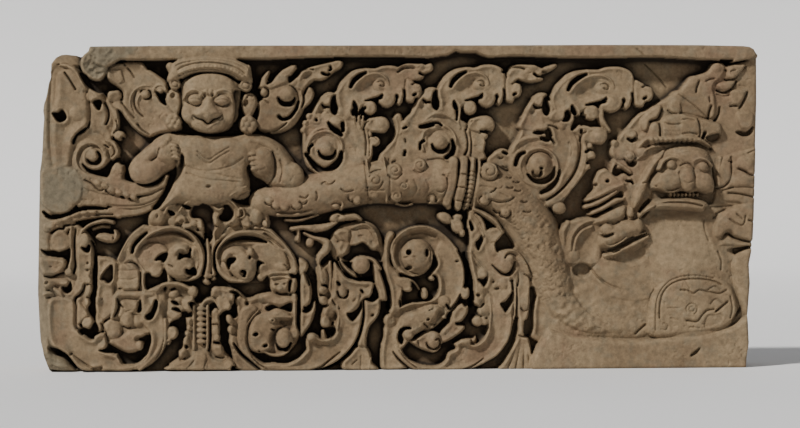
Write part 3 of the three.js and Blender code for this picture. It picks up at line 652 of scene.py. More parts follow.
def neck_carving():
    """The roundel, curls and scales on the body past the harness"""
    stroke([(480, 162), (479, 180), (476, 196), (474, 208)], 2, [50, 52, 50, 40], soft=2)
    curl(489.5, 171, 9, 53, 180)
    groove(arc(489.5, 171, 10, 20, 165), 1.1, 6)
    groove([(486, 163), (494, 163.5), (503, 168), (509, 172)], 0.9, 4)
    groove([(480, 186), (490, 187), (499, 189), (503, 186)], 0.9, 3)
    dome(484, 200, 6.5, 6, 50, deep=0.4, soft=2)
    groove(arc(484, 199.5, [4, 7], 235, 15, 8), 1.1, 9)
    area([(490, 192), (498, 189.5), (507, 193), (514, 197.5), (508, 201), (499, 201.5), (491, 199)],
         52, 2, 0.1)
    groove([(489, 199.5), (499, 202), (508, 201), (514, 197.5)], 1, 7)
    groove([(500, 193), (505, 195), (509, 197)], 0.8, 4)
    groove([(491, 192.5), (494, 191), (496, 188.5)], 1, 9)
    groove([(494, 210), (498, 213), (502, 212)], 1.2, 10)
    dome(505.5, 212, 4.5, 5, 52, deep=0.6)
    groove(arc(505.5, 212.5, 5.3, -10, 170), 1.1, 10)
    stroke([(474, 209), (484, 214), (496, 222), (503, 232)], [2, 3, 3, 2], [44, 46, 46, 42], soft=2)
    groove([(476, 212.5), (484, 217), (493, 224.5)], 1.1, 12)
    for u, v, half in [(517, 182.5, 3), (518, 191, 3), (510, 188, 3), (510, 178, 2.6), (524, 202, 3),
                       (527, 212, 3.5), (506, 167, 2.2), (502, 158, 2)]:
        groove([(u - half, v - 0.6), (u, v + 0.7), (u + half, v - 0.2)], 1.2, 7)
    rng = np.random.default_rng(11)
    line = smooth([(515, 196), (530, 218), (541, 244), (549, 270), (557, 300)], most=5)
    for (u, v), lean in zip(line[:-1], np.diff(line, axis=0)):
        n = np.array([lean[1], -lean[0]]) / np.hypot(*lean)
        for offset in (-14, -7.5, -1, 6, 13):
            p = np.array([u, v]) + n * offset + rng.normal(0, 1.2, 2)
            groove(arc(p[0], p[1], 3.2, 20 + rng.normal(0, 25), 170), 1.1, 0.9 + 1.2 * rng.random())


# Where the leaves of the upper scrolls are drawn on the sheet, before they are moved to their places
FLAME_LEAF_ROOT = (452, 86)
LEAF_TIP_ROOT = (397, 70)
CURL_LEAF_ROOT = (430, 96)


def mover(root, place, wide, high):
    """A function that carries points from around a root to around a place, stretched by wide and high"""
    def at(*points):
        """The points as carried"""
        p = np.array(points, float)
        return np.column_stack([place[0] + (p[:, 0] - root[0]) * wide,
                                place[1] + (p[:, 1] - root[1]) * high])
    return at


def flame_leaf(u0, v0, wide, high):
    """A scroll leaf: an outer lip, a deep slot, an inner arc that ends in a curl, and lobes hung from it"""
    at = mover(FLAME_LEAF_ROOT, (u0, v0), wide, high)

    def lump(u, v, a, b, top, deep):
        """A rounded boss of the leaf"""
        p = at((u, v))[0]
        dome(p[0], p[1], a * wide, b * high, top, deep=deep)

    area(at((437, 93), (441, 85), (448, 76), (457, 70), (468, 66.5), (477, 66.5), (484, 64), (496, 64),
            (506, 70), (508, 84), (506, 97), (503, 103), (496, 104), (489, 107.5), (481, 104), (477, 100),
            (470, 103), (462, 108), (455, 114), (447, 116), (440, 108)), 34, 3, 0.3)
    stroke(at((439, 91), (443, 83), (450, 75), (458, 70), (468, 67.5)), [1.6, 2.6, 2.8, 2.4, 1.5],
           [35, 37, 38, 38, 36], tilted_form)
    area(at((457, 88), (461, 80), (469, 75), (478, 75), (484, 79), (483, 88), (474, 95), (462, 97)),
         31, 3, 0.1)
    p = at((470, 86))[0]
    dimple(p[0], p[1], 13 * wide, 8 * high, 6, -25)
    stroke(at((453.5, 89), (458, 82), (465, 76), (474, 72.8), (482, 73.5), (488, 78), (490, 84)),
           [1, 1.7, 1.8, 1.8, 2, 2.4, 2], [34, 37, 38, 39, 39, 39, 37])
    slit(at((452, 86), (455, 80), (460.5, 75), (467, 71.5)), [1.3, 2.1, 2.1, 1.1], 3)
    lump(480.5, 85, 6.5, 6.5, 38, 0.7)
    groove(at((479, 81), (483.5, 80.5), (486, 83.5), (484, 86), (481.5, 84.5)), 0.9, 6)
    lump(488, 98.5, 8.8, 9, 40, 0.6)
    sink(at((466, 100.4), (474, 97.6), (480, 96), (484, 93), (483.6, 98), (480, 99), (479.5, 103),
            (476, 101)), 2)
    lump(471.5, 107.5, 7, 7.5, 38, 0.75)
    sink(at((465, 111), (467, 116), (474, 117), (479, 114), (481, 118), (472, 120), (463.5, 120),
            (461.8, 116)), 0)
    slit(at((498.3, 95.5), (498.6, 96.6)), 1.4, 8)
    slit(at((498.5, 97), (497.5, 101), (495.5, 105)), 0.8, 8)
    slit(at((505.5, 89), (506.2, 96), (505.2, 104)), [0.6, 1.3, 1.4], 6)
    stroke(at((502, 86), (503, 94), (500.5, 103)), [2, 2.6, 2.2], [35, 37, 34], soft=1)
    area(at((507, 77), (514, 79), (519, 83), (524, 89), (522, 96), (517, 98), (515, 102.5), (510, 102),
            (507, 97)), 34, 2.5, 0.35)
    lump(518, 88, 5.5, 6, 36, 0.6)
    lump(511.5, 98, 4.6, 4.6, 35, 0.6)
    groove(at((514, 83.5), (517, 82), (521, 83)), 1.1, 12)
    slit(at((515.3, 94.4), (517, 93.4)), 1.1, 10)
    area(at((440, 110), (447, 104), (455, 99), (458, 104), (456, 116), (450, 118)), 35, 2.5, 0.3)
    sink(at((455, 100), (458, 104), (459.5, 109), (456, 109.5), (454, 105)), 2)
    area(at((450, 112), (453, 108.5), (457, 111), (458, 119), (455, 121), (450.5, 119)), 34, 2, 0.3)
    slit(at((457.8, 111), (458.6, 116), (458, 120)), 0.8, 6)
    stroke(at((461, 103), (461, 112), (459.5, 122), (461, 128)), [2, 1.6, 1.6, 2], 34)


def leaf_tip(u0, v0, wide, high):
    """The pointed end of a leaf, in three lobes under the rim"""
    at = mover(LEAF_TIP_ROOT, (u0, v0), wide, high)
    area(at((394, 72), (400, 66), (408, 62.5), (420, 62.5), (427, 64), (432, 61.5), (434.5, 65), (432, 71),
            (427, 74), (425, 78), (419, 80.5), (411, 79), (405, 82), (398, 84), (392, 80)), 33, 2.5, 0.35)
    for u, v, a, b in [(415.5, 75, 6.5, 5), (430, 67.5, 5, 4.5), (421, 67, 6, 3.6)]:
        p = at((u, v))[0]
        dome(p[0], p[1], a * wide, b * high, 36.5, -20, 0.7)
    stroke(at((397, 70), (401, 66.5), (407, 64), (414, 64)), 1.1, [32, 35, 35, 33])
    groove(at((399, 71.5), (404, 67.5), (411, 67), (416, 67.8)), [1.4, 2.4, 2, 1], [12, 14, 9, 5])
    slit(at((421, 73), (424, 74.5), (427, 74)), 0.9, 10)


def curl_leaf(u0, v0, wide=1.0):
    """The short curled leaf at the root of a scroll, with its ball"""
    at = mover(CURL_LEAF_ROOT, (u0, v0), wide, wide)
    area(at((408, 122), (414, 110), (420, 99), (426, 91), (433, 86.5), (438, 88), (438, 92), (436, 97),
            (432, 103), (434, 110), (436, 118), (424, 126)), 32, 2.5, 0.3)
    stroke(at((413, 112), (419.5, 100), (425, 92.5), (431, 88), (437, 88.5)), [1.6, 1.8, 2, 2, 1.6],
           [31, 34, 35, 36, 35], tilted_form)
    dimple(*at((425, 103))[0], 4 * wide, 7 * wide, 7, 20)
    dome(*at((430, 96))[0], 5.6 * wide, 5 * wide, 37.5, deep=0.85)
    slit(at((424.5, 99.5), (427.5, 102), (431.5, 101.5)), [0.8, 1.3, 0.8], 12)
    sink(at((435, 91.5), (438.3, 89.5), (439, 96), (441, 103), (438.5, 110), (434, 107), (433, 99)), 2)


def scroll_eye(u, v, size, ring):
    """The end of a scroll: a ring stem round a dished disc, with a ball and a dark crescent under it"""
    top = 36
    dome(u, v, size * 2.3, size * 2.2, top - 3, deep=0.2)
    stroke(arc(u, v, [size * ring, size * 1.8, size * 1.75], 150, 370, 12), size * 0.23,
           [top - 1, top + 1, top])
    dimple(u, v, size * 1.45, size * 1.4, 6)
    dome(u + size * 0.1, v - size * 0.1, size * 1.25, size * 1.2, top + 1, deep=0.5)
    dome(u + size * 0.1, v + size * 0.05, size * 0.85, size * 0.85, top + 6, deep=0.8)
    slit(arc(u + size * 0.15, v + size * 0.15, size * 0.9, 5, 170), [0.6, size * 0.24, 0.7], 10)


def ball_leaf(u, v, size):
    """A leaf bud that leans right, round at its end, over a dark hollow"""
    area([(u - size * 1.6, v + size * 0.3), (u - size * 1.3, v - size * 0.5),
          (u - size * 0.4, v - size * 0.85), (u + size * 0.6, v - size * 0.75), (u + size, v),
          (u + size * 0.6, v + size * 0.8), (u - size * 0.3, v + size * 0.8), (u - size, v + size * 0.7)],
         35, 2.5, 0.35)
    dome(u + size * 0.1, v, size * 0.92, size * 0.82, 41, deep=0.7)
    groove([(u - size * 1.65, v + size * 0.5), (u - size * 1.45, v - size * 0.1),
            (u - size * 1.1, v - size * 0.35)], 1.1, 10)
    sink([(u - size * 0.4, v + size), (u + size * 0.6, v + size * 1.0), (u + size * 1.2, v + size * 0.5),
          (u + size * 1.5, v + size * 1.3), (u + size * 1.2, v + size * 2.1),
          (u + size * 0.1, v + size * 2.2), (u + size * 0.4, v + size * 1.6)], 0)


def first_scroll():
    """The scroll right of the figure's head"""
    area([(258, 102), (262, 98), (266, 88), (272, 84), (277, 80), (288, 78), (300, 76), (306, 86),
          (302, 94), (303, 104), (298, 116), (289, 124), (275, 131), (262, 132), (256, 124), (258, 112)],
         31, 3, 0.3)
    area([(257, 88), (259, 79), (263, 74), (270, 69), (271, 72), (268, 80), (271, 82), (275, 76),
          (283, 69), (292, 64), (297, 64), (298, 68), (293, 74), (290, 81), (282, 86), (270, 90)], 35,
         2.5, 0.35, smoothly=False)
    slit([(268, 83), (272, 79.5), (275, 73.5)], [0.8, 1.6, 1.2], 5)
    sink([(289, 76), (292, 75), (298, 70), (299, 74), (296, 78), (291, 82), (289, 81)], 4)
    dome(264, 92, 4, 4.5, 36)
    groove(arc(264, 92, 5, -80, 130), 1.1, 12)
    groove([(257, 98.5), (264, 99.5), (269, 103)], 1, 7)
    area([(299, 74), (304, 69), (313, 65.5), (324, 62.5), (332, 60.5), (340, 59.5), (344.5, 62), (342, 68),
          (335, 72), (329, 77), (322, 80.5), (315, 80), (310, 83), (304, 91), (296, 88)], 34, 2.5, 0.35)
    dome(337, 65, 7, 5, 38, -25, 0.7)
    dome(322, 76, 6.5, 4, 36, 0, 0.7)
    groove([(299.5, 74), (303, 70.5), (308, 69), (314, 69.2)], 1.2, 12)
    dimple(308, 75, 6, 4, 5, -20)
    slit([(331, 66.5), (332, 69), (330, 70)], 0.9, 12)
    slit([(323, 73), (327, 74.5), (330, 73.5)], 1.2, 10)
    groove([(286, 85), (293, 87), (298, 93), (299, 102), (296, 110)], 1.1, 9)
    slit([(299, 101), (296, 110), (290, 117), (283, 119), (279, 116)], [0.8, 1.5, 1.6, 1.6, 1.3], 8)
    stroke([(272, 132), (281, 130), (290, 125), (297, 117), (302, 108), (304, 99), (303, 92), (307, 85),
            (314, 79)], [2, 2.4, 3.2, 3.6, 3.2, 2.4, 2.2, 2.2, 1.6], [32, 34, 36, 37, 37, 36, 36, 36, 35],
           tipped_form)
    groove([(262, 131), (271, 131.5), (280, 128), (287, 123)], 1.2, 10)
    dome(284, 98, 14, 14, 35, deep=0.25)
    dome(287, 95, 8.5, 8, 43, deep=0.9)
    slit(arc(287, 95.5, 8.6, 15, 165), [0.7, 2.3, 2.3, 0.8], 10)
    area([(309, 86.5), (313, 88), (315.5, 93), (313, 100), (309, 105), (303, 109.5), (301.5, 108),
          (304, 103), (305, 95)], 34, 2.5, 0.3)
    groove([(304, 94), (304.5, 101), (302, 107)], 1, 12)
    sink([(268, 140), (276, 137), (285, 132), (286, 138), (280, 142), (270, 143)], 3)


def second_scroll():
    """The second scroll of the upper row: its leaves, the eye between them and a bud"""
    area([(303, 135), (303, 126), (309, 117), (315, 110), (319, 102), (330, 96), (340, 90), (352, 102),
          (366, 116), (372, 124), (372, 160), (345, 172), (325, 176), (308, 168), (303, 150)], 30, 3, 0.3)
    flame_leaf(351.5, 86.5, 1.0, 0.98)
    leaf_tip(397, 70, 1.0, 1.0)
    curl_leaf(328, 101, 0.98)
    for u, v in [(310, 116), (306.5, 123), (304.5, 130)]:
        dome(u, v, 4, 3.6, 31, deep=0.7)
    slit([(316.5, 119), (317, 120)], 1.1, 14)
    scroll_eye(326, 148, 9.5, 2.0)
    stroke([(307, 148), (309, 139), (314, 132), (322, 128), (330, 128.6), (337, 132)], [2, 2, 2, 2, 2, 1.5],
           [33, 35, 36, 37, 36, 34])
    slit([(306.5, 154), (310, 159), (317, 167), (325, 171), (333, 167.5), (340, 160), (342, 152)],
         [1.5, 2, 3, 3.4, 3.4, 2.8, 1.4], 1)
    slit([(309, 153), (309, 148), (312.5, 144.5)], [1, 1, 1.3], 10)
    dome(337, 121.5, 7.5, 5, 38, 0, 0.8)
    dome(347, 112, 9, 8, 36, 10, 0.5)
    slit([(329, 122.5), (333, 128), (339, 132), (342, 135)], [0.9, 2.2, 3, 1.6], 2)
    slit([(343, 123), (343.5, 130)], 1.6, 4)
    sink([(352, 110), (356, 107), (359, 112), (357, 117), (353, 115)], 2)
    slit([(360, 114), (362, 110.5), (366, 107.5)], [1, 2, 1], 3)
    for u in (355, 359.5, 364):
        stroke([(u, 116), (u - 0.5, 122), (u + 3, 130)], [1.4, 1.6, 1], [32, 34, 31])
    groove([(365, 129), (367, 142), (366.5, 155)], 0.9, 9)
    groove([(369, 131), (370.5, 145), (370, 156)], 0.8, 6)
    ball_leaf(380.5, 124.5, 10)
    dome(376, 141, 5.5, 5, 33, 30, 0.7)
    groove([(370, 137), (374, 136), (378, 139)], 1, 8)
    slit([(376, 147), (380, 149), (383, 147)], [0.9, 1.6, 1], 8)


def third_scroll():
    """The third scroll of the upper row: its leaves, the eye between them and a bud"""
    area([(395, 150), (398, 135), (403, 122), (412, 112), (422, 104), (440, 100), (456, 112), (470, 124),
          (481, 132), (487, 140), (486, 150), (480, 162), (395, 164)], 30, 3, 0.3)
    area([(380, 155), (388, 146), (394, 138), (396, 128), (394, 118), (398, 112), (404, 118), (404, 150),
          (400, 165), (380, 165)], 27, 3, 0.3)
    flame_leaf(452, 86, 1.0, 1.0)
    area([(509, 72), (512, 66), (520, 63.5), (533, 63.8), (541, 66), (546, 68), (552, 64), (557, 62.5),
          (560, 65), (556, 69), (549, 72.5), (543, 75), (546, 79), (538, 82), (528, 82), (521, 79),
          (514, 84), (507, 84)], 33, 2.5, 0.35)
    for u, v, a, b in [(525, 75, 6, 6), (550, 68, 8, 3), (532, 69, 8, 4), (537, 78, 7, 3)]:
        dome(u, v, a, b, 36, -18, 0.7)
    groove([(509, 71), (514, 67.5), (521, 67), (526, 68.5)], [1.2, 2.2, 2, 1], 13)
    slit([(536, 73.5), (539, 76), (545, 76.3), (550, 74.5)], 0.9, 8)
    slit([(545, 71.5), (548, 71.8)], 0.9, 12)
    slit([(505, 71.5), (506.5, 70.5)], 1.3, 6)
    curl_leaf(430, 96, 1.0)
    dome(407, 123, 4.5, 4.2, 33)
    slit([(404.6, 128), (407, 126.8)], 1.1, 12)
    slit([(406, 151), (405.3, 155)], 1.1, 12)
    groove([(406, 139), (407, 142)], 1.3, 8)
    scroll_eye(440, 141.5, 9.5, 1.9)
    stroke([(424, 122), (429, 117), (436, 113.6), (444, 113.6), (452, 117.5), (459, 123)],
           [2, 2, 2.2, 2.2, 2, 1.5], [33, 36, 38, 38, 36, 33])
    slit([(421.5, 126.5), (427, 125.8), (434, 124)], [1.5, 2.3, 2], 3)
    slit([(434, 123), (439, 122.8), (443, 125.5)], [1.2, 1, 0.8], 10)
    slit([(453.5, 140), (455, 148), (452, 154.5), (447.5, 157.5)], [1, 2, 2.4, 1.8], 3)
    slit([(421, 149), (421.5, 143), (424.5, 140.5)], [0.8, 1, 1.3], 9)
    groove([(466.5, 129), (469, 141), (468, 151), (463, 158.5)], [0.8, 1.1, 1.3, 1.4], [7, 12, 14, 14])
    groove([(471.5, 131), (472.8, 143), (472, 156)], [0.8, 1.1, 1], [6, 11, 8])
    ball_leaf(485.5, 124.5, 11)
    for u, v in [(485, 135.5), (482.5, 143), (481, 150)]:
        dome(u, v, 5, 4.2, 32, -30, 0.7)
    slit([(482, 131), (488, 131.5), (493, 133)], [0.8, 1.6, 1.6], 6)
    area([(487, 162), (495, 152), (503, 148), (510, 150), (513, 160), (508, 170)], 28, 3, 0.4)
    slit([(505, 152), (508, 153.5)], 1.4, 8)


def fourth_scroll():
    """The fourth scroll of the upper row: its leaves and a bud beside the great head's crown"""
    area([(520, 135), (524, 122), (527, 112), (533, 103), (541, 96), (552, 100), (572, 112), (586, 128),
          (594, 142), (596, 152), (592, 168), (584, 178), (570, 196), (556, 208), (540, 200), (512, 176),
          (510, 152)], 30, 3, 0.3)
    flame_leaf(570, 89.5, 1.2, 1.07)
    curl_leaf(541, 101.5, 1.0)
    volute_bands = [([(514, 152), (520, 143), (529, 138), (540, 137.5)], [1.5, 2, 2, 1.4],
                     [32, 35, 36, 34]),
                    ([(583, 128), (585, 142), (585, 156), (581, 170), (573, 184), (562, 196), (549, 204)],
                     [2, 3, 4, 5, 5, 4.6, 3], [33, 35, 37, 38, 38, 37, 34]),
                    ([(570, 128), (575, 142), (575, 156), (571, 170), (563, 182), (552, 192), (543, 197)],
                     [3, 4.6, 5, 5, 5, 4.6, 3], [32, 34, 36, 36, 37, 36, 34])]
    for route, half, top in volute_bands:
        stroke(route, half, top, flat_form, 1)
    groove([(581, 132), (583, 146), (581, 160), (576, 173), (567, 185), (556, 195), (548, 200)],
           [0.8, 1.2, 1.5, 1.6, 1.6, 1.5, 1.1], [6, 12, 15, 16, 16, 16, 12])
    groove([(571, 142), (573, 150), (572.5, 156)], 0.9, 5)
    dome(541, 168, 21, 21, 36, deep=0.15)
    stroke(arc(541, 167, [20, 19, 17.5], 150, 372, 14), 2.3, [35, 37, 38, 37])
    stroke(arc(540, 166, [22, 20, 19], 180, 30, 14), 2, [33, 34, 34, 36])
    dimple(541, 166, 15.5, 15, 7)
    dome(541, 164.5, 12.8, 13, 43, deep=0.55)
    groove(arc(541.5, 165.5, 14, 190, 330), 0.9, 7)
    slit(arc(541.5, 167, 14.6, 2, 150), [0.7, 2.8, 3, 2, 0.8], 8)
    slit(arc(538, 172, 4.2, -10, 185), [0.9, 1.7, 0.9], 22)
    slit([(541.5, 168), (542.5, 168.3)], 1, 26)
    slit([(561, 170), (558.5, 180), (551, 188), (543, 192.5)], [0.7, 1.6, 2.6, 1.6], 8)
    slit([(517, 164.5), (519, 158), (522, 154), (526, 152.5)], [1.6, 1.8, 1.8, 1.3], 3)
    slit([(536, 132.5), (541, 132), (548, 129.5), (551, 135), (549, 139), (543, 138)],
         [1, 2.6, 3, 3, 2.6, 1.4], 2)
    slit([(551, 137), (554, 140), (556.5, 143.5)], [2, 1, 0.7], 8)
    groove([(549, 125), (556, 126.5), (560, 129)], 1, 10)
    dome(543, 126.5, 7, 4, 33, 0, 0.6)
    area([(552, 113), (558, 108), (566, 105.5), (568, 110), (566, 118), (560, 122), (550, 120)],
         35, 2.5, 0.35)
    dome(564, 125, 4.6, 5, 34, 0, 0.6)
    sink([(567, 111), (571, 110), (573, 116), (570, 121), (564, 121), (566, 117)], 3)
    sink([(573, 130), (574, 124), (578, 117), (584, 114.5), (588, 116), (586, 121), (580, 125),
          (576, 129)], 1)
    area([(574, 131), (580, 126), (588, 125), (596, 127), (590, 134), (580, 136)], 33, 2, 0.35)
    slit([(583, 130), (583, 132.5)], 1.1, 12)
    sink([(587, 120), (596, 120.5), (598, 117), (599.5, 126), (593, 127), (588, 124)], 2)
    stroke([(604, 106), (603, 116), (606, 124), (611, 130)], [3, 3.5, 4, 3], [33, 34, 33, 30], soft=1)
    ball_leaf(599, 135.5, 10.5)
    dome(592.5, 155.5, 5.5, 5, 36, 20, 0.8)
    slit([(587.5, 152), (591, 149.5), (596, 150)], 1, 8)
    dome(588, 166.5, 4.6, 5, 35, 20, 0.8)
    slit([(589, 163), (592, 160)], 1.1, 8)
    slit([(591, 171), (586, 180), (578, 191), (568, 202)], [2, 3.4, 4.4, 2.2], 1)
    sink([(591, 160), (600, 159), (601, 169), (594, 169)], 1)
    dome(560.5, 208, 7.5, 6.5, 37, 10, 0.7)
    slit([(570, 212), (568, 218), (572, 217)], 1.2, 4)


def upper_scroll():
    """The four scrolls above the serpent's body"""
    first_scroll()
    second_scroll()
    third_scroll()
    fourth_scroll()


def crumble(points, size, rough, seed):
    """A worn, flaking patch: the surface inside the outline is broken up into lumps"""
    line = outline(points, True)
    lo, hi = line.min(0) - 1, line.max(0) + 1
    where, u, v = patch(lo[0], hi[0], lo[1], hi[1])
    far = follow(np.vstack([line, line[:1]]), u, v)[0]
    fade = np.where(inside(line, u, v), np.clip(far / 6, 0, 1), 0)
    relief[where] += fade * rough * (grain(size, seed)[where] - 0.5) * 2


def right_foliage():
    """The leaves behind the serpent's crowned heads, up to the right end"""
    area([(612, 168), (618, 150), (620, 138), (628, 128), (636, 118), (641, 113), (650, 108), (660, 102),
          (670, 97), (676, 91), (684, 88), (690, 79), (698, 75), (709, 71), (715, 63), (726, 62), (734, 64),
          (748, 60), (764, 60), (764, 215), (735, 262), (655, 262), (640, 230), (612, 205)], 29, 3, 0.3)
    area([(670, 102), (673, 95), (680, 92), (684, 86), (690, 79), (697, 76), (702, 74), (710, 71),
          (714, 65), (718, 62.5), (724, 62.5), (728, 68), (724, 78), (716, 86), (718, 100), (716, 118),
          (700, 118), (690, 116), (680, 113), (671, 112)], 36, 3, 0.3)
    area([(731, 66), (740, 63), (749, 64), (747, 70), (741, 77), (733, 80), (728, 76)], 37, 3, 0.35)
    area([(718, 84), (726, 81), (738, 80), (738, 85), (731, 91), (722, 91)], 37, 3, 0.35)
    dome(719, 68, 6, 6, 39, deep=0.6, soft=1)
    dome(695, 82, 8, 6, 38, -40, 0.5, 1)
    dome(680, 97, 8, 5.5, 39, -20, 0.6, 1)
    dome(677, 107, 7, 7.5, 41, 0, 0.3, 1)
    area([(731, 90), (742, 88), (750, 91), (746, 100), (741, 106), (733, 104)], 34, 3, 0.35)
    area([(737, 112), (748, 109), (757, 113), (757, 124), (752, 130), (743, 130), (738, 122)], 35, 4, 0.4)
    sink([(738, 132), (742, 130.5), (748, 131.5), (753, 128.5), (755.5, 125), (755, 131), (751, 136),
          (744, 136)], 12)
    sink([(722, 59.5), (735, 59.5), (731, 64), (729, 66), (726, 63)], 8)
    for route, half, deep in [([(701, 81), (699, 86), (698, 92)], 1.3, 10),
                              ([(708, 81), (712, 79), (716, 78.5)], 1.2, 8),
                              ([(713, 106), (711, 112), (710, 118)], 1.6, 12),
                              ([(722, 107), (721, 114), (716, 121.5)], 1.4, 11),
                              ([(711, 97), (712, 102)], 1, 7),
                              ([(719, 90), (725, 92.5), (733, 89), (739, 81)], 1.5, 11),
                              ([(730, 80), (737, 78), (743, 72), (748, 66)], 1.2, 9),
                              ([(727, 79), (729, 80.5)], 1.2, 8), ([(727, 69.5), (729, 70.5)], 1.1, 7),
                              ([(750, 92), (746, 101), (742, 108)], 1.3, 10),
                              ([(733, 106), (739, 105.5)], 1.3, 10),
                              ([(719, 94), (726, 96), (732, 95)], 1, 5),
                              ([(682, 104), (683, 110), (681, 115)], 1, 5),
                              ([(670, 110), (673, 113), (678, 114)], 1, 6),
                              ([(737, 70), (733, 71)], 1.1, 5), ([(742, 85), (748, 86.5)], 0.9, 3)]:
        groove(route, half, deep)
    area([(642, 128), (641.5, 119), (648, 112), (655, 106.5), (662, 103.5), (664.5, 109), (660.5, 118),
          (653, 121), (650, 130), (645, 132)], 37, 3, 0.35)
    groove([(664, 108.5), (662, 114), (659.5, 119), (652, 121.5)], 1.4, 11)
    for u, v, size in [(633, 134.5, 6), (645, 137, 5.5), (621, 151, 10), (643, 152, 6), (616, 143, 4)]:
        dome(u, v, size, size * 0.9, 37, deep=0.55, soft=1)
    slit([(630, 138.5), (634, 140.5), (637.5, 138)], [0.9, 1.7, 1.2], 10)
    dome(631, 156, 5.5, 5.5, 39, deep=0.6)
    groove(arc(631, 156, 3.2, 0, 330), 0.8, 4)
    groove(arc(631, 156, 5.8, 20, 150), 1, 8)
    sink([(628, 161), (632, 163), (637, 158), (638, 163), (635, 167), (631, 166)], 8)
    sink([(614.5, 175), (616, 167), (621, 163), (627, 167), (634, 171), (632, 176.5), (626, 173),
          (620, 176)], 4)
    stroke([(617, 161), (624, 166), (632, 172)], 2.4, [33, 35, 34])
    dome(621, 166.5, 3, 2.6, 30)
    for u, v in [(623, 179), (627, 183), (631, 180), (634, 184), (624, 187)]:
        dome(u, v, 2.8, 2.5, 32)
    slit([(628, 181), (633, 181.5), (635, 184)], [0.8, 1.3, 0.8], 14)


def great_crown():
    """The tiered crown of the middle head"""
    area([(662, 122), (668, 116), (682, 113.5), (700, 117), (712, 120.5), (722, 124), (722.5, 133),
          (713, 141), (700, 139), (690, 137), (672, 139), (662, 137)], 45, 3, 0.25)
    area([(652, 125), (656, 121.5), (661, 124), (662, 134), (660, 147), (652, 147), (649, 136)],
         41, 2.5, 0.3)
    area([(681, 115), (690, 116), (699, 119), (700, 137), (690, 136), (681, 136)], 47, 1.6, 0.15)
    groove([(663, 122.5), (672, 124.5), (681, 124)], 1, 5)
    groove([(699, 119), (701, 128), (700, 139)], 1.2, 8)
    groove([(661.5, 124), (662, 132), (661, 140)], 1.2, 9)
    for v in (129, 133):
        beads((665, v), (679, v + 0.5), 6, 1.7, 46.5)
        beads((703, v - 5), (719, v - 3), 6, 1.8, 46)
    groove([(682, 120), (689, 119), (695, 121)], 0.9, 4)
    groove([(683, 134), (690, 133), (698, 134.5)], 1, 6)
    dome(714, 133, 8.5, 5.5, 46, 5, 0.6)
    sink([(707, 137), (713, 134.5), (721, 133), (722, 138), (715, 142), (709, 140)], 20)
    slit([(706, 133), (703.5, 139)], 1.4, 24)
    stroke([(640, 147), (645, 141), (652, 137.5), (660, 139), (676, 138.5), (690, 137.5), (701, 140.5),
            (710, 146)], [2.4, 3, 3.2, 3, 3, 3, 3, 2.4], [38, 42, 47, 51, 52, 52, 51, 46], soft=1)
    for u in np.linspace(652, 700, 11):
        dome(u, 140 - abs(u - 690) * 0.01, 2.3, 2.6, 52)
    groove([(650, 146), (658, 143.5), (668, 143), (680, 141.8), (692, 142.6), (701, 143), (709, 147),
            (713, 149)], [1, 1.2, 1.2, 1.8, 1.8, 1.4, 2.4, 2], 10)
    stroke([(637, 160), (643, 156), (646, 151), (653, 147.5), (662, 146)], 1.5, [33, 37, 40, 42, 43])


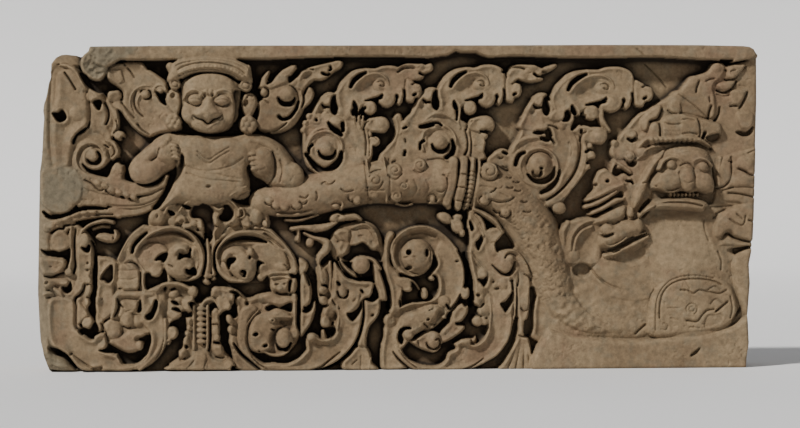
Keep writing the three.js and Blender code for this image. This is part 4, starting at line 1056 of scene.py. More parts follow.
def great_head():
    """The middle head, seen from the front with its jaws open"""
    area([(660, 151), (668, 146), (666, 158), (658, 168), (652, 180), (648, 192), (641, 206), (633, 211),
          (633, 196), (641, 178), (650, 163)], 42, 5, 0.45, soft=3)
    area([(662, 160), (666, 151), (676, 146), (692, 145), (704, 148), (711, 155), (713, 168), (716, 182),
          (714, 192), (700, 195), (676, 194), (654, 190), (652, 182), (657, 174), (661, 168)],
         56, 12, 0.4)
    dome(688, 155, 15, 5, 56, 0, 0.8, 2)
    area([(652, 188), (652, 181), (658, 174), (668, 171), (679, 170), (683, 166), (690, 166.5), (694, 171),
          (700, 174), (711, 173), (716, 182), (715, 189), (706, 192), (696, 190), (688, 191), (682, 189),
          (677, 191), (669, 192), (660, 188.5)], 62, 8, 0.4, soft=1)
    dome(668, 181, 13, 9, 62, -12, 0.6, 3)
    dome(703, 182, 10, 9, 63, 0, 0.6, 3)
    dome(686.5, 179, 7.5, 12, 66, deep=0.6, soft=2)
    groove([(694, 170), (694.5, 179), (693.5, 189)], 1.3, 5)
    groove([(679, 172), (679.5, 180), (682, 187)], 1.2, 4)
    groove([(682, 181.5), (687, 183), (692, 181)], 0.9, 3)
    stroke([(653, 187.5), (660, 188.3), (667, 191.5), (674, 191.5), (680, 188)], 1.3, [54, 57, 59, 59, 57])
    for u, v, size in [(671, 164.5, 5.8), (702.5, 167, 6.5)]:
        dimple(u, v, size * 1.5, size * 1.3, 5)
        dome(u, v, size * 0.85, size * 0.8, 59, deep=0.8, soft=1)
    groove(arc(702.5, 167, 4.6, -10, 200), 0.8, 4)
    stroke([(659.5, 169), (663, 161.5), (670, 157.5), (678, 158.5), (683, 163)], 2.3,
           [56, 59, 60, 60, 58], soft=2)
    stroke([(692, 162), (698, 158.5), (706, 160), (712, 166)], 2.3, [58, 60, 60, 56], soft=2)
    groove([(680, 166), (684, 163.5), (689, 164), (694, 169)], 1.2, 6)
    groove([(667, 151), (680, 153), (694, 152), (706, 155)], 1, 3)
    sink([(712.5, 156), (714.5, 166), (716.5, 178), (718.5, 190), (715, 203), (709, 204), (706, 197),
          (715, 191), (714, 178)], 20)
    sink([(653.5, 190), (660, 190.5), (668, 194), (676, 193.5), (682, 191), (690, 193), (698, 191.5),
          (706, 193.5), (714, 192), (712, 201), (706, 202), (702, 197), (680, 196.5), (664, 198),
          (655, 201), (649, 206), (652, 198)], 24)
    beads((671, 195), (698, 194.5), 8, 2.2, 47, 0.8)
    area([(650, 205), (660, 200), (672, 197.5), (690, 197.5), (702, 199.5), (709.5, 204), (706, 208),
          (704, 211.5), (688, 211), (668, 210), (654, 210), (644, 215), (640, 219), (638.5, 214),
          (644, 208)], 54, 4, 0.35)
    groove([(656, 204), (670, 202.5), (688, 203), (702, 206)], 1.2, 8)
    slit([(641, 212), (646, 205.5), (651, 200)], [1, 1.7, 1.4], 12)
    groove([(644, 217), (650, 211), (656, 206)], 1.3, 10)
    groove([(661, 170), (653, 175.5), (650, 181), (644, 183)], 1.1, 7)


def right_heads():
    """The two heads that look right, cut through by the block's end"""
    area([(722, 160), (733, 153), (745, 150), (764, 150), (764, 204), (736, 203), (722, 200), (719, 180)],
         34, 3, 0.3)
    stroke([(722, 158), (720, 172), (721, 186)], 3, 36, soft=1)
    groove([(733, 157), (733.5, 168), (731, 180), (726, 186.5), (719, 188)], 1.3, 9)
    dome(727, 172, 6, 11, 37, deep=0.3, soft=1)
    dome(747, 163, 9, 8, 38, deep=0.4, soft=2)
    dome(744, 180, 12, 7, 38, deep=0.5, soft=2)
    for route, half, deep in [
            ([(740, 168.5), (747, 171.5), (752, 175), (758, 174.5)], 1.4, 10),
            ([(722, 191), (729, 189), (735, 187)], 1, 8), ([(730, 193), (742, 194), (757, 197.5)], 1.3, 9),
            ([(731, 188), (745, 187), (757, 188)], 0.9, 5), ([(712, 207), (725, 206), (736, 206)], 1, 6),
            ([(731, 161), (734, 162)], 1.2, 8), ([(718, 214), (722, 212), (727, 209.5)], 1.2, 8),
            ([(715, 218), (720, 215)], 1.1, 8), ([(750, 153), (757, 150)], 1, 5)]:
        groove(route, half, deep)
    area([(714, 236), (716, 222), (726, 211), (738, 205), (757, 204), (757, 240), (745, 240), (736, 237),
          (730, 232), (722, 239)], 37, 4, 0.3)
    area([(718, 247), (724, 240), (731, 236), (742, 241), (755, 244), (754, 250), (742, 248), (730, 246)],
         33, 2.5, 0.3)
    groove([(715.5, 246), (721, 240.5), (729, 233.5), (735, 237.5), (745, 240.5), (755, 242)], 1.5, 12)
    groove([(731, 219), (737, 223), (743, 225.5), (746, 222), (747, 216)], 1.1, 6)
    groove([(750, 220), (755, 222)], 1.3, 8)
    groove([(738, 214), (744, 219)], 1, 5)
    sink([(729, 250), (740, 247.5), (752, 246), (754, 251), (752, 257), (742, 256), (734, 253.5)], 8)


def left_profile_head():
    """The crowned head that looks right over the serpent's neck"""
    area([(588, 197), (595, 189), (595, 181), (599, 172), (607, 168), (614, 173), (620, 178), (627, 181),
          (625, 187), (612, 193), (600, 198)], 33, 3, 0.3)
    for u, v in [(597, 185), (609, 181)]:
        slit([(u - 0.3, v), (u + 0.3, v)], 1.3, 14)
    stroke([(588, 200), (598, 196), (610, 190), (624, 184.5)], [2.4, 3.2, 3.2, 2.6], [36, 40, 41, 38],
           soft=1)
    stroke([(587, 207), (598, 203), (609, 197), (618, 191)], [2.4, 3.4, 3.4, 2.4], [35, 39, 40, 37],
           soft=1)
    stroke([(592, 213.5), (604, 208), (616, 201), (624, 198.5)], [2.4, 3.2, 3.4, 2.6], [38, 42, 42, 40],
           soft=1)
    groove([(586, 204), (597, 200), (610, 194)], 1, 5)
    groove([(593, 209), (602, 205.5), (610, 200.5), (615, 197)], 1.4, 12)
    groove([(595, 216.5), (606, 210.5), (618, 204.5), (625, 201.5)], 1.2, 9)
    sink([(614, 198), (618.5, 194), (623, 191), (625, 195), (624, 198), (618, 197.5)], 10)
    sink([(584.5, 213), (587, 210), (591, 208.5), (592, 212), (589, 215)], 10)
    area([(592, 224), (600, 216), (610, 210), (620, 206), (627, 205), (629, 213), (625, 219), (618, 223),
          (606, 225)], 44, 6, 0.35)
    dome(631, 213, 4, 6.5, 45, deep=0.8)
    groove(arc(631, 213, 4.8, 60, 270), 1, 7)
    area([(562, 262), (561, 240), (566, 225), (576, 219), (592, 217), (602, 222), (604, 244), (600, 264),
          (580, 266)], 31, 3, 0.3)
    stroke([(600, 219.5), (588, 221.5), (578, 228), (572, 238), (571, 250)], 2.2, [38, 39, 39, 38, 35])
    stroke([(593, 226.5), (583, 231), (577, 239), (575, 250)], 1.8, [39, 40, 39, 36])
    stroke([(569, 223), (564, 233), (565, 245)], 3.4, [35, 37, 33])
    slit([(561, 228), (563, 224), (566, 221)], [1, 1.8, 1], 4)
    dimple(588, 246, 10, 14, 5)
    dome(575, 256, 6.5, 6.5, 35, deep=0.6)
    area([(598, 244), (600, 234), (606, 226), (614, 222), (624, 219), (634, 219), (641, 222), (644, 229),
          (640, 235), (630, 239), (622, 244), (612, 248), (602, 248)], 50, 9, 0.4)
    dome(608, 229, 7, 5.6, 50, -10, 0.8)
    slit([(600, 235), (606, 236.5), (613, 234)], [0.8, 1.6, 0.8], 30)
    groove([(608, 223.5), (614, 225), (620, 222)], 1.3, 8)
    dome(639, 225, 5, 6, 50, 0, 0.7)
    stroke([(602, 242), (610, 246.5), (620, 243), (627, 237.5)], 1.5, [46, 49, 50, 49])
    slit([(610, 251), (622, 245), (633, 239.5), (646, 233)], [1, 1.8, 2, 1.4], 20)
    beads((636, 236), (646, 232.5), 5, 1.4, 40)
    stroke([(606, 256), (618, 252), (630, 246.5), (641, 241), (649, 236.5)], [3, 3, 2.8, 2.6, 2],
           [38, 42, 43, 43, 41], soft=1)
    sink([(605, 258), (620, 257.5), (631, 251.5), (641, 245.5), (649, 241), (649, 246), (640, 253),
          (628, 258), (612, 262)], 22, 3)
    groove([(604, 252), (612, 253.5), (620, 250)], 1.2, 8)
    area([(592, 270), (600, 256), (614, 257), (626, 262), (640, 260), (652, 250), (652, 300), (610, 300),
          (598, 286)], 30, 5, 0.35)
    sink([(574, 268), (582, 263), (591, 266), (592, 273), (584, 278), (576, 275)], 12)
    groove([(592, 268), (598, 276), (608, 284), (622, 290)], 1.6, 8)


def breast():
    """The serpent's neck and breast, with the worn roundel, over the plain ledge"""
    area([(648, 238), (650, 214), (704, 212), (712, 222), (716, 240), (724, 262), (732, 276), (732, 304),
          (655, 304), (649, 280)], 30, 5, 0.25)
    dome(692, 290, 50, 84, 44, deep=0.35, soft=5)
    area([(553, 335), (560, 300), (580, 284), (600, 280), (630, 285), (652, 282), (652, 336), (600, 340)],
         28, 8, 0.3)
    groove([(705.5, 220), (706.5, 230), (710, 241)], 0.9, 5)
    groove([(719, 251), (722.5, 261), (722, 270)], 1, 5)
    area([(650, 336), (650, 310), (652, 297), (659, 284), (671, 276), (690, 272), (712, 273.5), (728, 281),
          (736, 296), (738, 314), (728, 327), (712, 332), (690, 335)], 41, 5, 0.2)
    groove([(656, 330), (656.5, 306), (660, 292.5), (669, 282), (681, 276.8), (696, 275.5), (714, 278)],
           1, 3.5)
    groove([(660, 318), (660.5, 304), (664, 292), (671, 284.5), (682, 280), (698, 279), (712, 280.5),
            (722, 285)], 1.2, 6)
    groove([(651, 326), (651, 300), (655, 290)], 1.1, 4)
    area([(680, 300), (688, 298), (700, 299), (708, 306), (706, 313), (700, 321), (688, 320), (681, 312)],
         42.5, 2, 0.06)
    groove(arc(692, 309, 5.5, 150, 420), 0.9, 3.5)
    groove(arc(692, 309, 2.6, 0, 300), 0.8, 3)
    groove([(681, 290), (688, 290.5), (694, 293.5), (699, 290), (710, 292), (720, 293.5), (727, 290)],
           1.1, 6)
    groove([(708, 290), (712, 287.5), (716, 286), (721, 290)], 0.9, 4)
    groove([(687, 320.5), (697, 321.5), (702, 316), (707, 310.5), (714, 309.5)], 1.4, 7)
    groove([(716.5, 311.5), (722, 307), (728, 302)], 1.5, 10)
    groove([(711, 304), (716, 299), (723, 303)], 1, 4)
    sink([(701, 322), (706, 312), (714, 311), (722, 310), (727, 316), (722, 326), (704, 331)], 38, 4)
    for route in ([(668, 308), (680, 308)], [(664, 323), (668, 326), (666, 330), (661, 329)],
                  [(686, 281), (690, 288)], [(671, 318), (678, 320)], [(690, 327), (700, 328)]):
        groove(route, 0.9, 3)
    groove([(637, 334), (642, 329), (647, 325)], 1.6, 8)
    groove([(747, 294), (744, 305), (739, 313), (733, 321)], [1, 1.8, 1.6, 1], 10)
    groove([(731, 296), (733, 308), (731, 318)], 1.2, 5)
    crumble([(560, 300), (590, 275), (640, 290), (650, 320), (640, 336), (570, 334)], 4, 0.9, 21)
    crumble([(652, 298), (670, 278), (712, 276), (734, 296), (730, 326), (690, 333), (654, 333)],
            5, 0.5, 22)
    area([(546, 333), (560, 332), (575, 336), (600, 338.5), (628, 339.5), (645, 339.5), (668, 337),
          (690, 335), (712, 332.5), (724, 328.5), (736, 324), (745, 317), (764, 312), (764, 380),
          (546, 380)], 43, 5, 0.3)
    area([(736, 256), (764, 252), (764, 318), (748, 318), (740, 300), (734, 280)], 36, 5, 0.3)
    slit([(691.5, 355.5), (696, 352.5), (699.5, 348.5)], [0.9, 1.5, 0.8], 33)
    crumble([(560, 345), (650, 345), (740, 335), (745, 362), (560, 366)], 14, 0.7, 23)
    crumble([(522, 212), (548, 216), (562, 240), (580, 285), (600, 330), (560, 330), (545, 290),
             (524, 250)], 4.5, 2.4, 24)


def old_crack():
    """The thin crack that runs down from the rim over the leaves at the right"""
    groove([(638, 49), (643, 53), (647, 57.5)], 0.8, 4)
    groove([(649, 63), (656, 70), (664, 78), (671, 87)], 0.8, 5)
    groove([(680, 94), (690, 101), (700, 109), (710, 119)], 0.8, 5)


def serpent_heads():
    """The fan of heads at the right end, with the leaves behind it and the old crack over it"""
    right_foliage()
    great_crown()
    great_head()
    right_heads()
    left_profile_head()
    breast()
    old_crack()


def lobes(*forms):
    """Small rounded leaves and buds: their middles, half sizes, tops in mm and turns"""
    for u, v, a, b, top, turn in forms:
        dome(u, v, a, b, top, turn, 0.75, 2.5)


def holes(floor, *outlines):
    """Deep gaps between the leaves, down to one floor"""
    for points in outlines:
        sink(points, floor, 0.9)


def middle_branch():
    """The branch under the pod at the middle, the bent stem below it and the leaves round the volute"""
    area([(331, 236), (340, 226), (352, 222), (366, 221), (378, 228), (384, 244), (386, 262), (376, 262),
          (352, 262), (340, 262), (333, 258), (330, 246)], 20, 4, 0.4)
    stroke([(292, 229), (302, 227.5), (315, 228.5), (326, 227), (337, 222.5)], [2.5, 2.6, 4.4, 4, 1.6],
           33, soft=2)
    stroke([(298, 229), (298.5, 235), (297.5, 240)], [2.2, 2.6, 3.2], 30, full_form, 2)
    lobes((310, 242.5, 4.4, 5.4, 24, 20))
    stroke([(304, 233), (313, 237.5), (321, 239.5)], [1.6, 2.2, 2.6], 30, soft=2)
    stroke([(320, 239.5), (326.5, 243), (326, 250), (320.5, 256), (318.5, 263), (321.5, 272), (324, 280)],
           [2.8, 4.6, 4.4, 3.6, 1.7, 3.6, 4.4], [32, 36, 35, 34, 30, 32, 33], soft=2)
    lobes((323, 290.5, 4.8, 4, 34, 10), (323.5, 301, 4.8, 4.4, 34, 30))
    area([(333, 234), (338, 229), (345, 228), (351, 231), (351, 242), (349, 251), (344, 257), (338, 256),
          (336, 247), (339, 242)], 33, 4, 0.4, soft=2)
    groove([(338, 242), (343, 241), (348, 243)], 1.2, 4)
    dome(364.5, 240, 14.5, 16, 37, 20, 0.55, 2)
    stroke([(352, 228), (363, 224.5), (371, 227), (377, 236), (379, 246)], 1.5, [34, 38, 38, 36, 33],
           full_form)
    groove([(353, 231), (363, 228), (370, 230.5), (375, 238)], 1.1, 2.5)
    lobes((373.5, 245.5, 5, 4.4, 35, 30), (357, 241.5, 4.5, 3.8, 35, 0))
    dimple(361, 236.3, 3.2, 1.4, 4)
    holes(4, [(351, 246), (356, 245.5), (363, 242.5), (368, 246), (372, 250), (380, 252), (382, 262),
              (374, 261), (366, 256.5), (358, 257), (350, 262), (342, 258), (349, 253)])
    stroke([(332, 219.5), (337, 214.5), (345, 216)], [3, 2.6, 1.4], 32, full_form, 2)
    dome(334.5, 218, 4.4, 4, 36, 0, 0.8, 2)
    stroke([(339, 219), (348, 216.8), (356, 217), (361, 219.5)], [3.2, 4.2, 4, 2.2], 33, soft=2)


def great_volute():
    """The large curled leaf at the middle, which runs down into the second pair of bands"""
    area([(334, 262), (341, 270), (350, 279), (373, 282), (373, 291), (370, 299), (364, 300), (363, 318),
          (358, 337), (350, 350), (339, 361), (325, 368), (308, 371.5), (288, 371.5), (268, 370),
          (262, 365), (272, 363), (286, 363.5), (297, 359), (303, 353), (306, 350), (305, 343),
          (307, 336), (312, 333), (318, 336), (322, 341), (331, 338), (336, 330), (338, 318), (330, 308),
          (326, 303), (331, 295), (333, 278)], 36, 3.4, 0.3, 4, soft=2)
    stroke([(340, 262), (346, 270), (354, 275.5), (361, 276.5)], [2, 3.4, 3.4, 2], 32)
    groove([(338, 258), (343, 268.5), (352, 277.5), (362, 280.5), (373, 279)], [1, 1.7, 1.9, 2.2, 1.6], 24)
    area([(373, 262), (380, 268), (384.5, 280), (388, 292), (388, 301), (380, 301), (378, 293), (375, 285),
          (373.5, 275)], 36, 3, 0.35)
    stroke([(351, 262), (357, 257.8), (366, 257.5), (374, 261), (380, 269)], [1, 1.4, 1.6, 2.6, 2.6], 37)
    holes(6, [(356, 272), (362, 275), (369, 271), (371, 264), (373, 270), (373.5, 279), (366, 281),
              (358, 279)])
    dome(361, 265, 9.2, 9.2, 45, 0, 0.6)
    groove([(380, 270), (385, 283), (388.5, 299), (389.5, 309)], [0.8, 1.3, 1.6, 1.8], 22)
    holes(14, [(336, 281), (340, 283), (341, 286), (338, 286)])
    dome(342.5, 291.5, 5, 5.6, 38, 0, 0.7, 1)
    groove([(337.5, 292), (339.5, 297), (343.5, 298.5), (347.5, 295), (348, 291)], 1.3, 14)
    groove([(332, 300), (335, 305), (339, 309)], 1, 9)
    area([(348, 293), (356, 290), (362, 293), (361, 302), (356, 309), (350, 312), (346.5, 311),
          (349, 304)], 38, 4, 0.35, soft=2)
    dimple(354, 301, 3.4, 1.6, 2.5, -50)
    holes(8, [(346.5, 314), (352, 312.5), (358, 308), (361.5, 301), (362, 308), (358, 316), (352.5, 322)])
    area([(361, 290), (366, 288), (372, 287), (373, 293), (370.5, 297), (366, 297.5), (363, 294)],
         38, 3, 0.3)
    holes(12, [(360, 290), (363, 290.5), (364, 293.5), (363, 294)],
          [(365, 298), (369, 298), (373, 292), (373.5, 298), (370, 301.5), (366, 301)])
    area([(364, 300), (372, 302), (379, 298), (381, 304), (380, 313), (376, 320), (370, 327), (367, 338),
          (366, 348), (359, 348), (357, 343), (361, 330), (364, 314)], 36, 3, 0.35, soft=1.5)
    groove([(363.3, 300), (363.8, 313), (361.5, 330), (357, 342), (348, 354), (336, 363.5), (323, 370)],
           [0.8, 1, 1.2, 1.4, 1.6, 1.8, 1.6], [14, 16, 18, 18, 20, 20, 18])
    dimple(372.6, 315.6, 1.8, 1.4, 12, -30)
    stroke([(312, 335), (316, 338.5), (323, 341.5), (331, 339), (336, 331), (338.5, 318), (337, 306)],
           [2, 1.8, 1.6, 1.6, 1.7, 1.8, 1.4], [41, 40, 39, 39, 38, 37, 36])
    dome(311, 337.5, 5, 4.6, 42, 0, 0.7, 1)
    holes(7, [(322, 329), (327, 327.5), (333, 327), (336, 330), (334, 336), (329, 339)])
    stroke([(323, 332), (324, 338)], [2.2, 3.4], 24)
    groove([(316, 344), (322, 345.5), (328, 344.5)], 1.6, 3.5)
    groove([(340, 352.5), (330, 360.5), (321, 367), (312, 371)], [0.7, 1.2, 1.6, 1.8], [8, 12, 16, 16])
    holes(0, [(382, 302), (388, 302), (390, 311), (386, 318), (383, 325), (384, 336), (381, 345),
              (374, 352), (369, 349), (367, 343), (369, 333), (372, 327), (378, 319), (381, 311)])


def middle_rider():
    """The worn rider under the second ring, the beast below it and the blades beside them"""
    area([(250, 300), (262, 293), (280, 294), (297, 296), (298, 326), (299, 338), (290, 351), (276, 356),
          (262, 353), (250, 352), (245, 340), (247, 322)], 22, 4, 0.4)
    area([(271, 272), (275, 265), (281, 261.5), (287, 264), (290, 270), (291, 276), (297, 280), (296, 292),
          (286, 296), (276, 295), (270, 290), (269, 280)], 30, 3.5, 0.4)
    stroke([(270.5, 273.5), (280, 272.8), (291, 273.5)], 2.2, 37, full_form, 1)
    stroke([(271, 278), (281, 277), (290, 278)], 1.9, 36, full_form, 1)
    dome(281, 267, 8, 5.6, 37, 0, 0.7, 1.5)
    groove([(284, 265), (287, 267), (288, 270)], 1, 6)
    area([(271, 281), (280, 279.5), (288, 281), (288, 290), (283, 295), (277, 294), (271, 289)],
         38, 4, 0.4, soft=2)
    dimple(276.5, 284.5, 2.6, 1.3, 5)
    dimple(285, 284, 2.4, 1.6, 6)
    lobes((280, 288.5, 3, 2.4, 40, 0), (292.5, 289, 3, 4, 35, 0), (294, 281, 2.4, 3.4, 31, 20))
    groove([(276, 292.5), (281, 294), (287, 294)], 1.6, 9)
    holes(10, [(288.5, 281), (291.5, 280), (291, 286), (289.5, 292), (288, 290)],
          [(289, 274), (294, 274.5), (296, 278), (291, 278)],
          [(277, 294.5), (286, 295.5), (298, 293), (296, 297), (284, 297), (278, 296.5)])
    stroke([(262, 299), (270, 298), (279, 301), (288, 300), (295, 300)], [5, 6, 5.6, 5.4, 3.4],
           [32, 36, 37, 37, 34], soft=2.5)
    stroke([(294, 296), (294.2, 312), (294.5, 330)], [3.2, 2.8, 3], 34, soft=1)
    holes(4, [(265, 308), (272, 305), (279, 308), (284, 305.5), (291, 303), (291, 312), (284, 310),
              (276, 308.5), (268, 312)], [(297, 300), (299.4, 300), (299.3, 326), (296.3, 326)])
    area([(268, 313), (277, 309.5), (285, 311.5), (291, 315), (291, 321), (280, 322), (284, 327),
          (277, 330), (272, 338), (272, 350), (262, 354), (252, 352), (247, 342), (247, 330), (252, 318),
          (260, 313)], 35, 5, 0.4, soft=2)
    stroke([(268, 318), (278, 317), (291, 317.5)], [1.5, 2, 1.6], 37, soft=1)
    dome(271.5, 320.5, 4.6, 3.4, 40, 0, 0.7, 1.5)
    groove([(267.5, 321), (270, 323.5), (274, 323.4), (276, 321)], 0.8, 3)
    dimple(272, 320.6, 1.4, 1, 4)
    holes(14, [(252, 335), (255, 332.5), (258, 334.5), (255, 337)], [(257, 351), (259.5, 351), (259, 354)],
          [(262, 346), (266, 344), (267, 346.5), (264, 348)], [(270, 329), (275, 330), (273, 331.5)])
    dome(284, 338.5, 8.6, 10.4, 42, 0, 0.55, 1.5)
    lobes((294, 333, 4.8, 5.8, 36, 0))
    holes(4, [(275.5, 343), (279, 348), (286, 347.5), (290, 342), (292, 345), (289, 351), (280, 352),
              (276.5, 348)])
    stroke([(263, 352), (272, 355.5), (282, 355), (289, 350), (293, 341)], [1.6, 2, 1.8, 1.3, 0.9],
           [32, 34, 34, 31, 28], soft=1)
    stroke([(245, 336), (246.5, 326), (252, 317), (258, 311)], 1.4, 33, full_form)
    area([(298, 260), (302, 258.5), (308, 263), (308, 269), (304, 275), (299, 275)], 31, 3, 0.4, soft=2)
    area([(300, 276), (304, 272), (309, 279), (312, 290), (311, 302), (307, 309), (303, 311), (300, 320)],
         33, 4, 0.4, soft=1.5)
    area([(300, 312), (306, 313), (311, 309), (313, 302), (315.5, 301), (316, 308), (313, 320), (307, 331),
          (300.5, 338), (299, 328)], 31, 3.5, 0.4, soft=1)
    holes(6, [(303, 307), (306, 306.5), (310, 304), (312, 306), (309.5, 311.5), (305, 312)],
          [(304, 272), (308, 274), (309.6, 286), (307.5, 283)])


def middle_stem():
    """The stem of small lobes between the rider's blades and the great volute"""
    area([(316, 268), (322, 266), (330, 262), (333, 280), (333, 296), (338, 312), (338, 325), (333, 330),
          (322, 328), (320, 316), (324, 306), (318, 300), (317, 282)], 22, 3, 0.4)
    lobes((323.5, 277, 4.4, 8, 34, 0), (322.5, 290.5, 4.6, 4.2, 35, 20), (323.5, 301, 4.8, 4.6, 36, 30),
          (329, 312, 6, 7, 35, 20), (325, 322.5, 5, 6, 38, 10))
    holes(6, [(321, 285.5), (326.5, 284.5), (327.5, 289), (324, 287.5)],
          [(319, 294.5), (324, 295), (321, 297.5)],
          [(320, 305), (326, 304), (328, 300), (327, 306), (323, 309)],
          [(331, 324), (333, 321.5), (334, 323), (331.5, 328)])
    stroke([(330, 262), (330.5, 275), (330.5, 290), (333, 300)], [2, 3, 3, 2], 28)


def third_ring():
    """The open ring right of the middle with its pierced ball, and the plates on both sides of it"""
    area([(389, 232), (396, 234), (392, 246), (391, 262), (400, 274), (404, 290), (402, 300), (403, 312),
          (399, 330), (402, 350), (412, 364), (404, 370), (384, 371), (380, 362), (383, 330), (390, 312),
          (390, 290), (384, 270), (384, 246)], 30, 3.5, 0.4)
    area([(404, 231), (420, 226), (434, 228), (448, 238), (459, 252), (465, 268), (465, 285), (459, 302),
          (449, 313), (440, 304), (428, 303), (437, 295), (439, 285), (437, 277), (430, 276), (412, 280),
          (398, 272), (392, 262), (391, 250), (395, 240)], 35, 3, 0.25, 5)
    area([(405, 233), (420, 229), (433, 231), (442, 239), (440, 250), (438, 262), (430, 274), (412, 276),
          (400, 270), (394, 260), (393, 250), (397, 241)], 0, 1)
    sink([(404, 234), (420, 230), (433, 232), (443, 240), (439, 252), (439, 262), (430, 274), (412, 277),
          (400, 270), (394, 260), (394, 250), (397, 241)], 24, 3)
    groove([(412, 233), (424, 231.5), (436, 236)], 3, 7)
    stroke([(394, 264), (391.5, 250), (396, 239), (406, 230.5), (420, 226.8), (434, 229), (447, 238),
            (457, 250)], [1, 1.3, 1.4, 1.4, 1.4, 1.5, 1.8, 2.4], [32, 37, 39, 40, 40, 39, 38, 36],
           full_form)
    dimple(458, 261.5, 2, 1.1, 11)
    holes(3, [(401, 273), (412, 277), (424, 274), (432, 266), (433, 256), (435, 255), (438.5, 264),
              (434, 271), (430, 277), (436, 276), (438.5, 285), (437, 291), (429, 290), (421, 289),
              (419, 301), (410, 304), (404, 296), (403, 290), (412, 286), (406, 278)])
    dome(417.5, 256, 16.2, 17, 45, 0, 0.42)
    dimple(409, 252.5, 2.8, 3, 16)
    dimple(427, 252.8, 1.8, 4.4, 14)
    dimple(409, 268, 3.4, 2.6, 15, -20)
    groove([(404, 258), (411, 256.5), (416, 258)], 1.4, 3)
    groove([(430, 248), (431, 254), (430, 261)], 1.1, 4)
    lobes((432, 278.5, 3.6, 2.8, 34, 20), (404, 283, 8.5, 5.4, 37, 15), (408, 289, 5, 3.6, 35, 0),
          (425, 294, 3.8, 6, 34, 0))
    stroke([(400, 279), (408, 279), (415, 283), (420, 289.5)], [1.2, 1.3, 1.3, 1], 38, full_form)
    dimple(421.5, 295, 1.8, 3.4, 14)
    holes(10, [(399, 300.5), (401.6, 301), (402.6, 310), (401, 311), (399.6, 305)])


def creature():
    """The beast with the curled snout which closes the third ring, and the leaves behind and before it"""
    lobes((395, 311, 6, 4, 36, -20), (390, 321, 6.6, 7, 36, -30), (389, 331, 3, 4, 32, 0))
    area([(401, 307), (412, 303.5), (428, 302), (438, 299), (448, 303), (450, 311), (446, 318), (438, 326),
          (430, 331), (418, 333), (402, 350), (396, 344), (394, 332), (394, 320)], 28, 3, 0.3)
    stroke([(400, 309), (412, 304.5), (426, 303), (436, 299)], 1.4, 33, full_form)
    area([(397, 322), (401, 315), (411, 312), (420, 307), (432, 303), (441, 304), (446, 310), (441, 313),
          (438, 320), (431, 326), (424, 331), (412, 337), (404, 336), (399, 342), (396, 333)],
         41, 6, 0.45, soft=2)
    dome(444, 301.5, 6.4, 6, 38, 0, 0.6, 1.5)
    dome(412, 320, 13, 8, 43, -20, 0.5, 3)
    groove([(414, 311.5), (422, 309), (430, 306)], 1.2, 3)
    stroke([(425, 319), (428, 316.5), (431, 318), (430, 321.5), (426.5, 321.5), (425, 319)],
           1, 42, full_form)
    dimple(428, 319.6, 1.7, 1.3, 5, -20)
    groove([(429, 310.5), (433, 309), (434, 305.5)], 0.8, 3)
    groove([(424, 324), (430, 328), (436, 324)], 1.2, 8)
    lobes((431, 326.5, 3.2, 2.4, 36, 0), (444, 317, 3.4, 2.2, 34, 20))
    holes(5, [(399, 331), (403, 327.5), (409, 327), (411, 329), (405, 330), (402, 335), (404, 340),
              (402, 345), (398, 340)])
    dome(409, 335, 5.2, 5.2, 41, 0, 0.75)
    area([(409, 341), (416, 338), (426, 331.5), (434, 331), (441, 335), (443, 343), (440, 350),
          (434, 353.5), (424, 351), (414, 346)], 36, 3.4, 0.4, soft=1)
    dome(433.5, 339.5, 7.2, 7.8, 41, 0, 0.5, 1)
    groove([(435.5, 340), (438.5, 338.5), (440, 342), (438.5, 347), (433.5, 350), (428.5, 347.5),
            (426.5, 343)], [0.8, 1.2, 1.4, 1.5, 1.6, 1.3, 0.8], [8, 14, 18, 20, 20, 16, 8])
    groove([(418, 341), (419, 347)], 1.3, 6)
    groove([(410, 340), (415, 339), (421, 335)], 1.4, 6)
    area([(452, 313), (460, 303.5), (468, 305), (469.5, 312), (463, 322), (459, 324.5), (465.5, 326),
          (464.5, 331), (453, 339.5), (443, 343.5), (439, 338), (441, 331), (448, 324), (451, 318)],
         34, 4, 0.4)
    holes(8, [(456, 323), (459, 322.6), (464, 322), (462, 325), (457, 325.4)])
    groove([(447, 305), (450.5, 309.5), (456, 304), (461, 295)], [1.8, 2, 1.6, 1.2], 20)
    lobes((466, 293.5, 4.8, 6.6, 38, 10))
    holes(6, [(462, 301), (468, 303), (468, 307), (465, 306.6)])


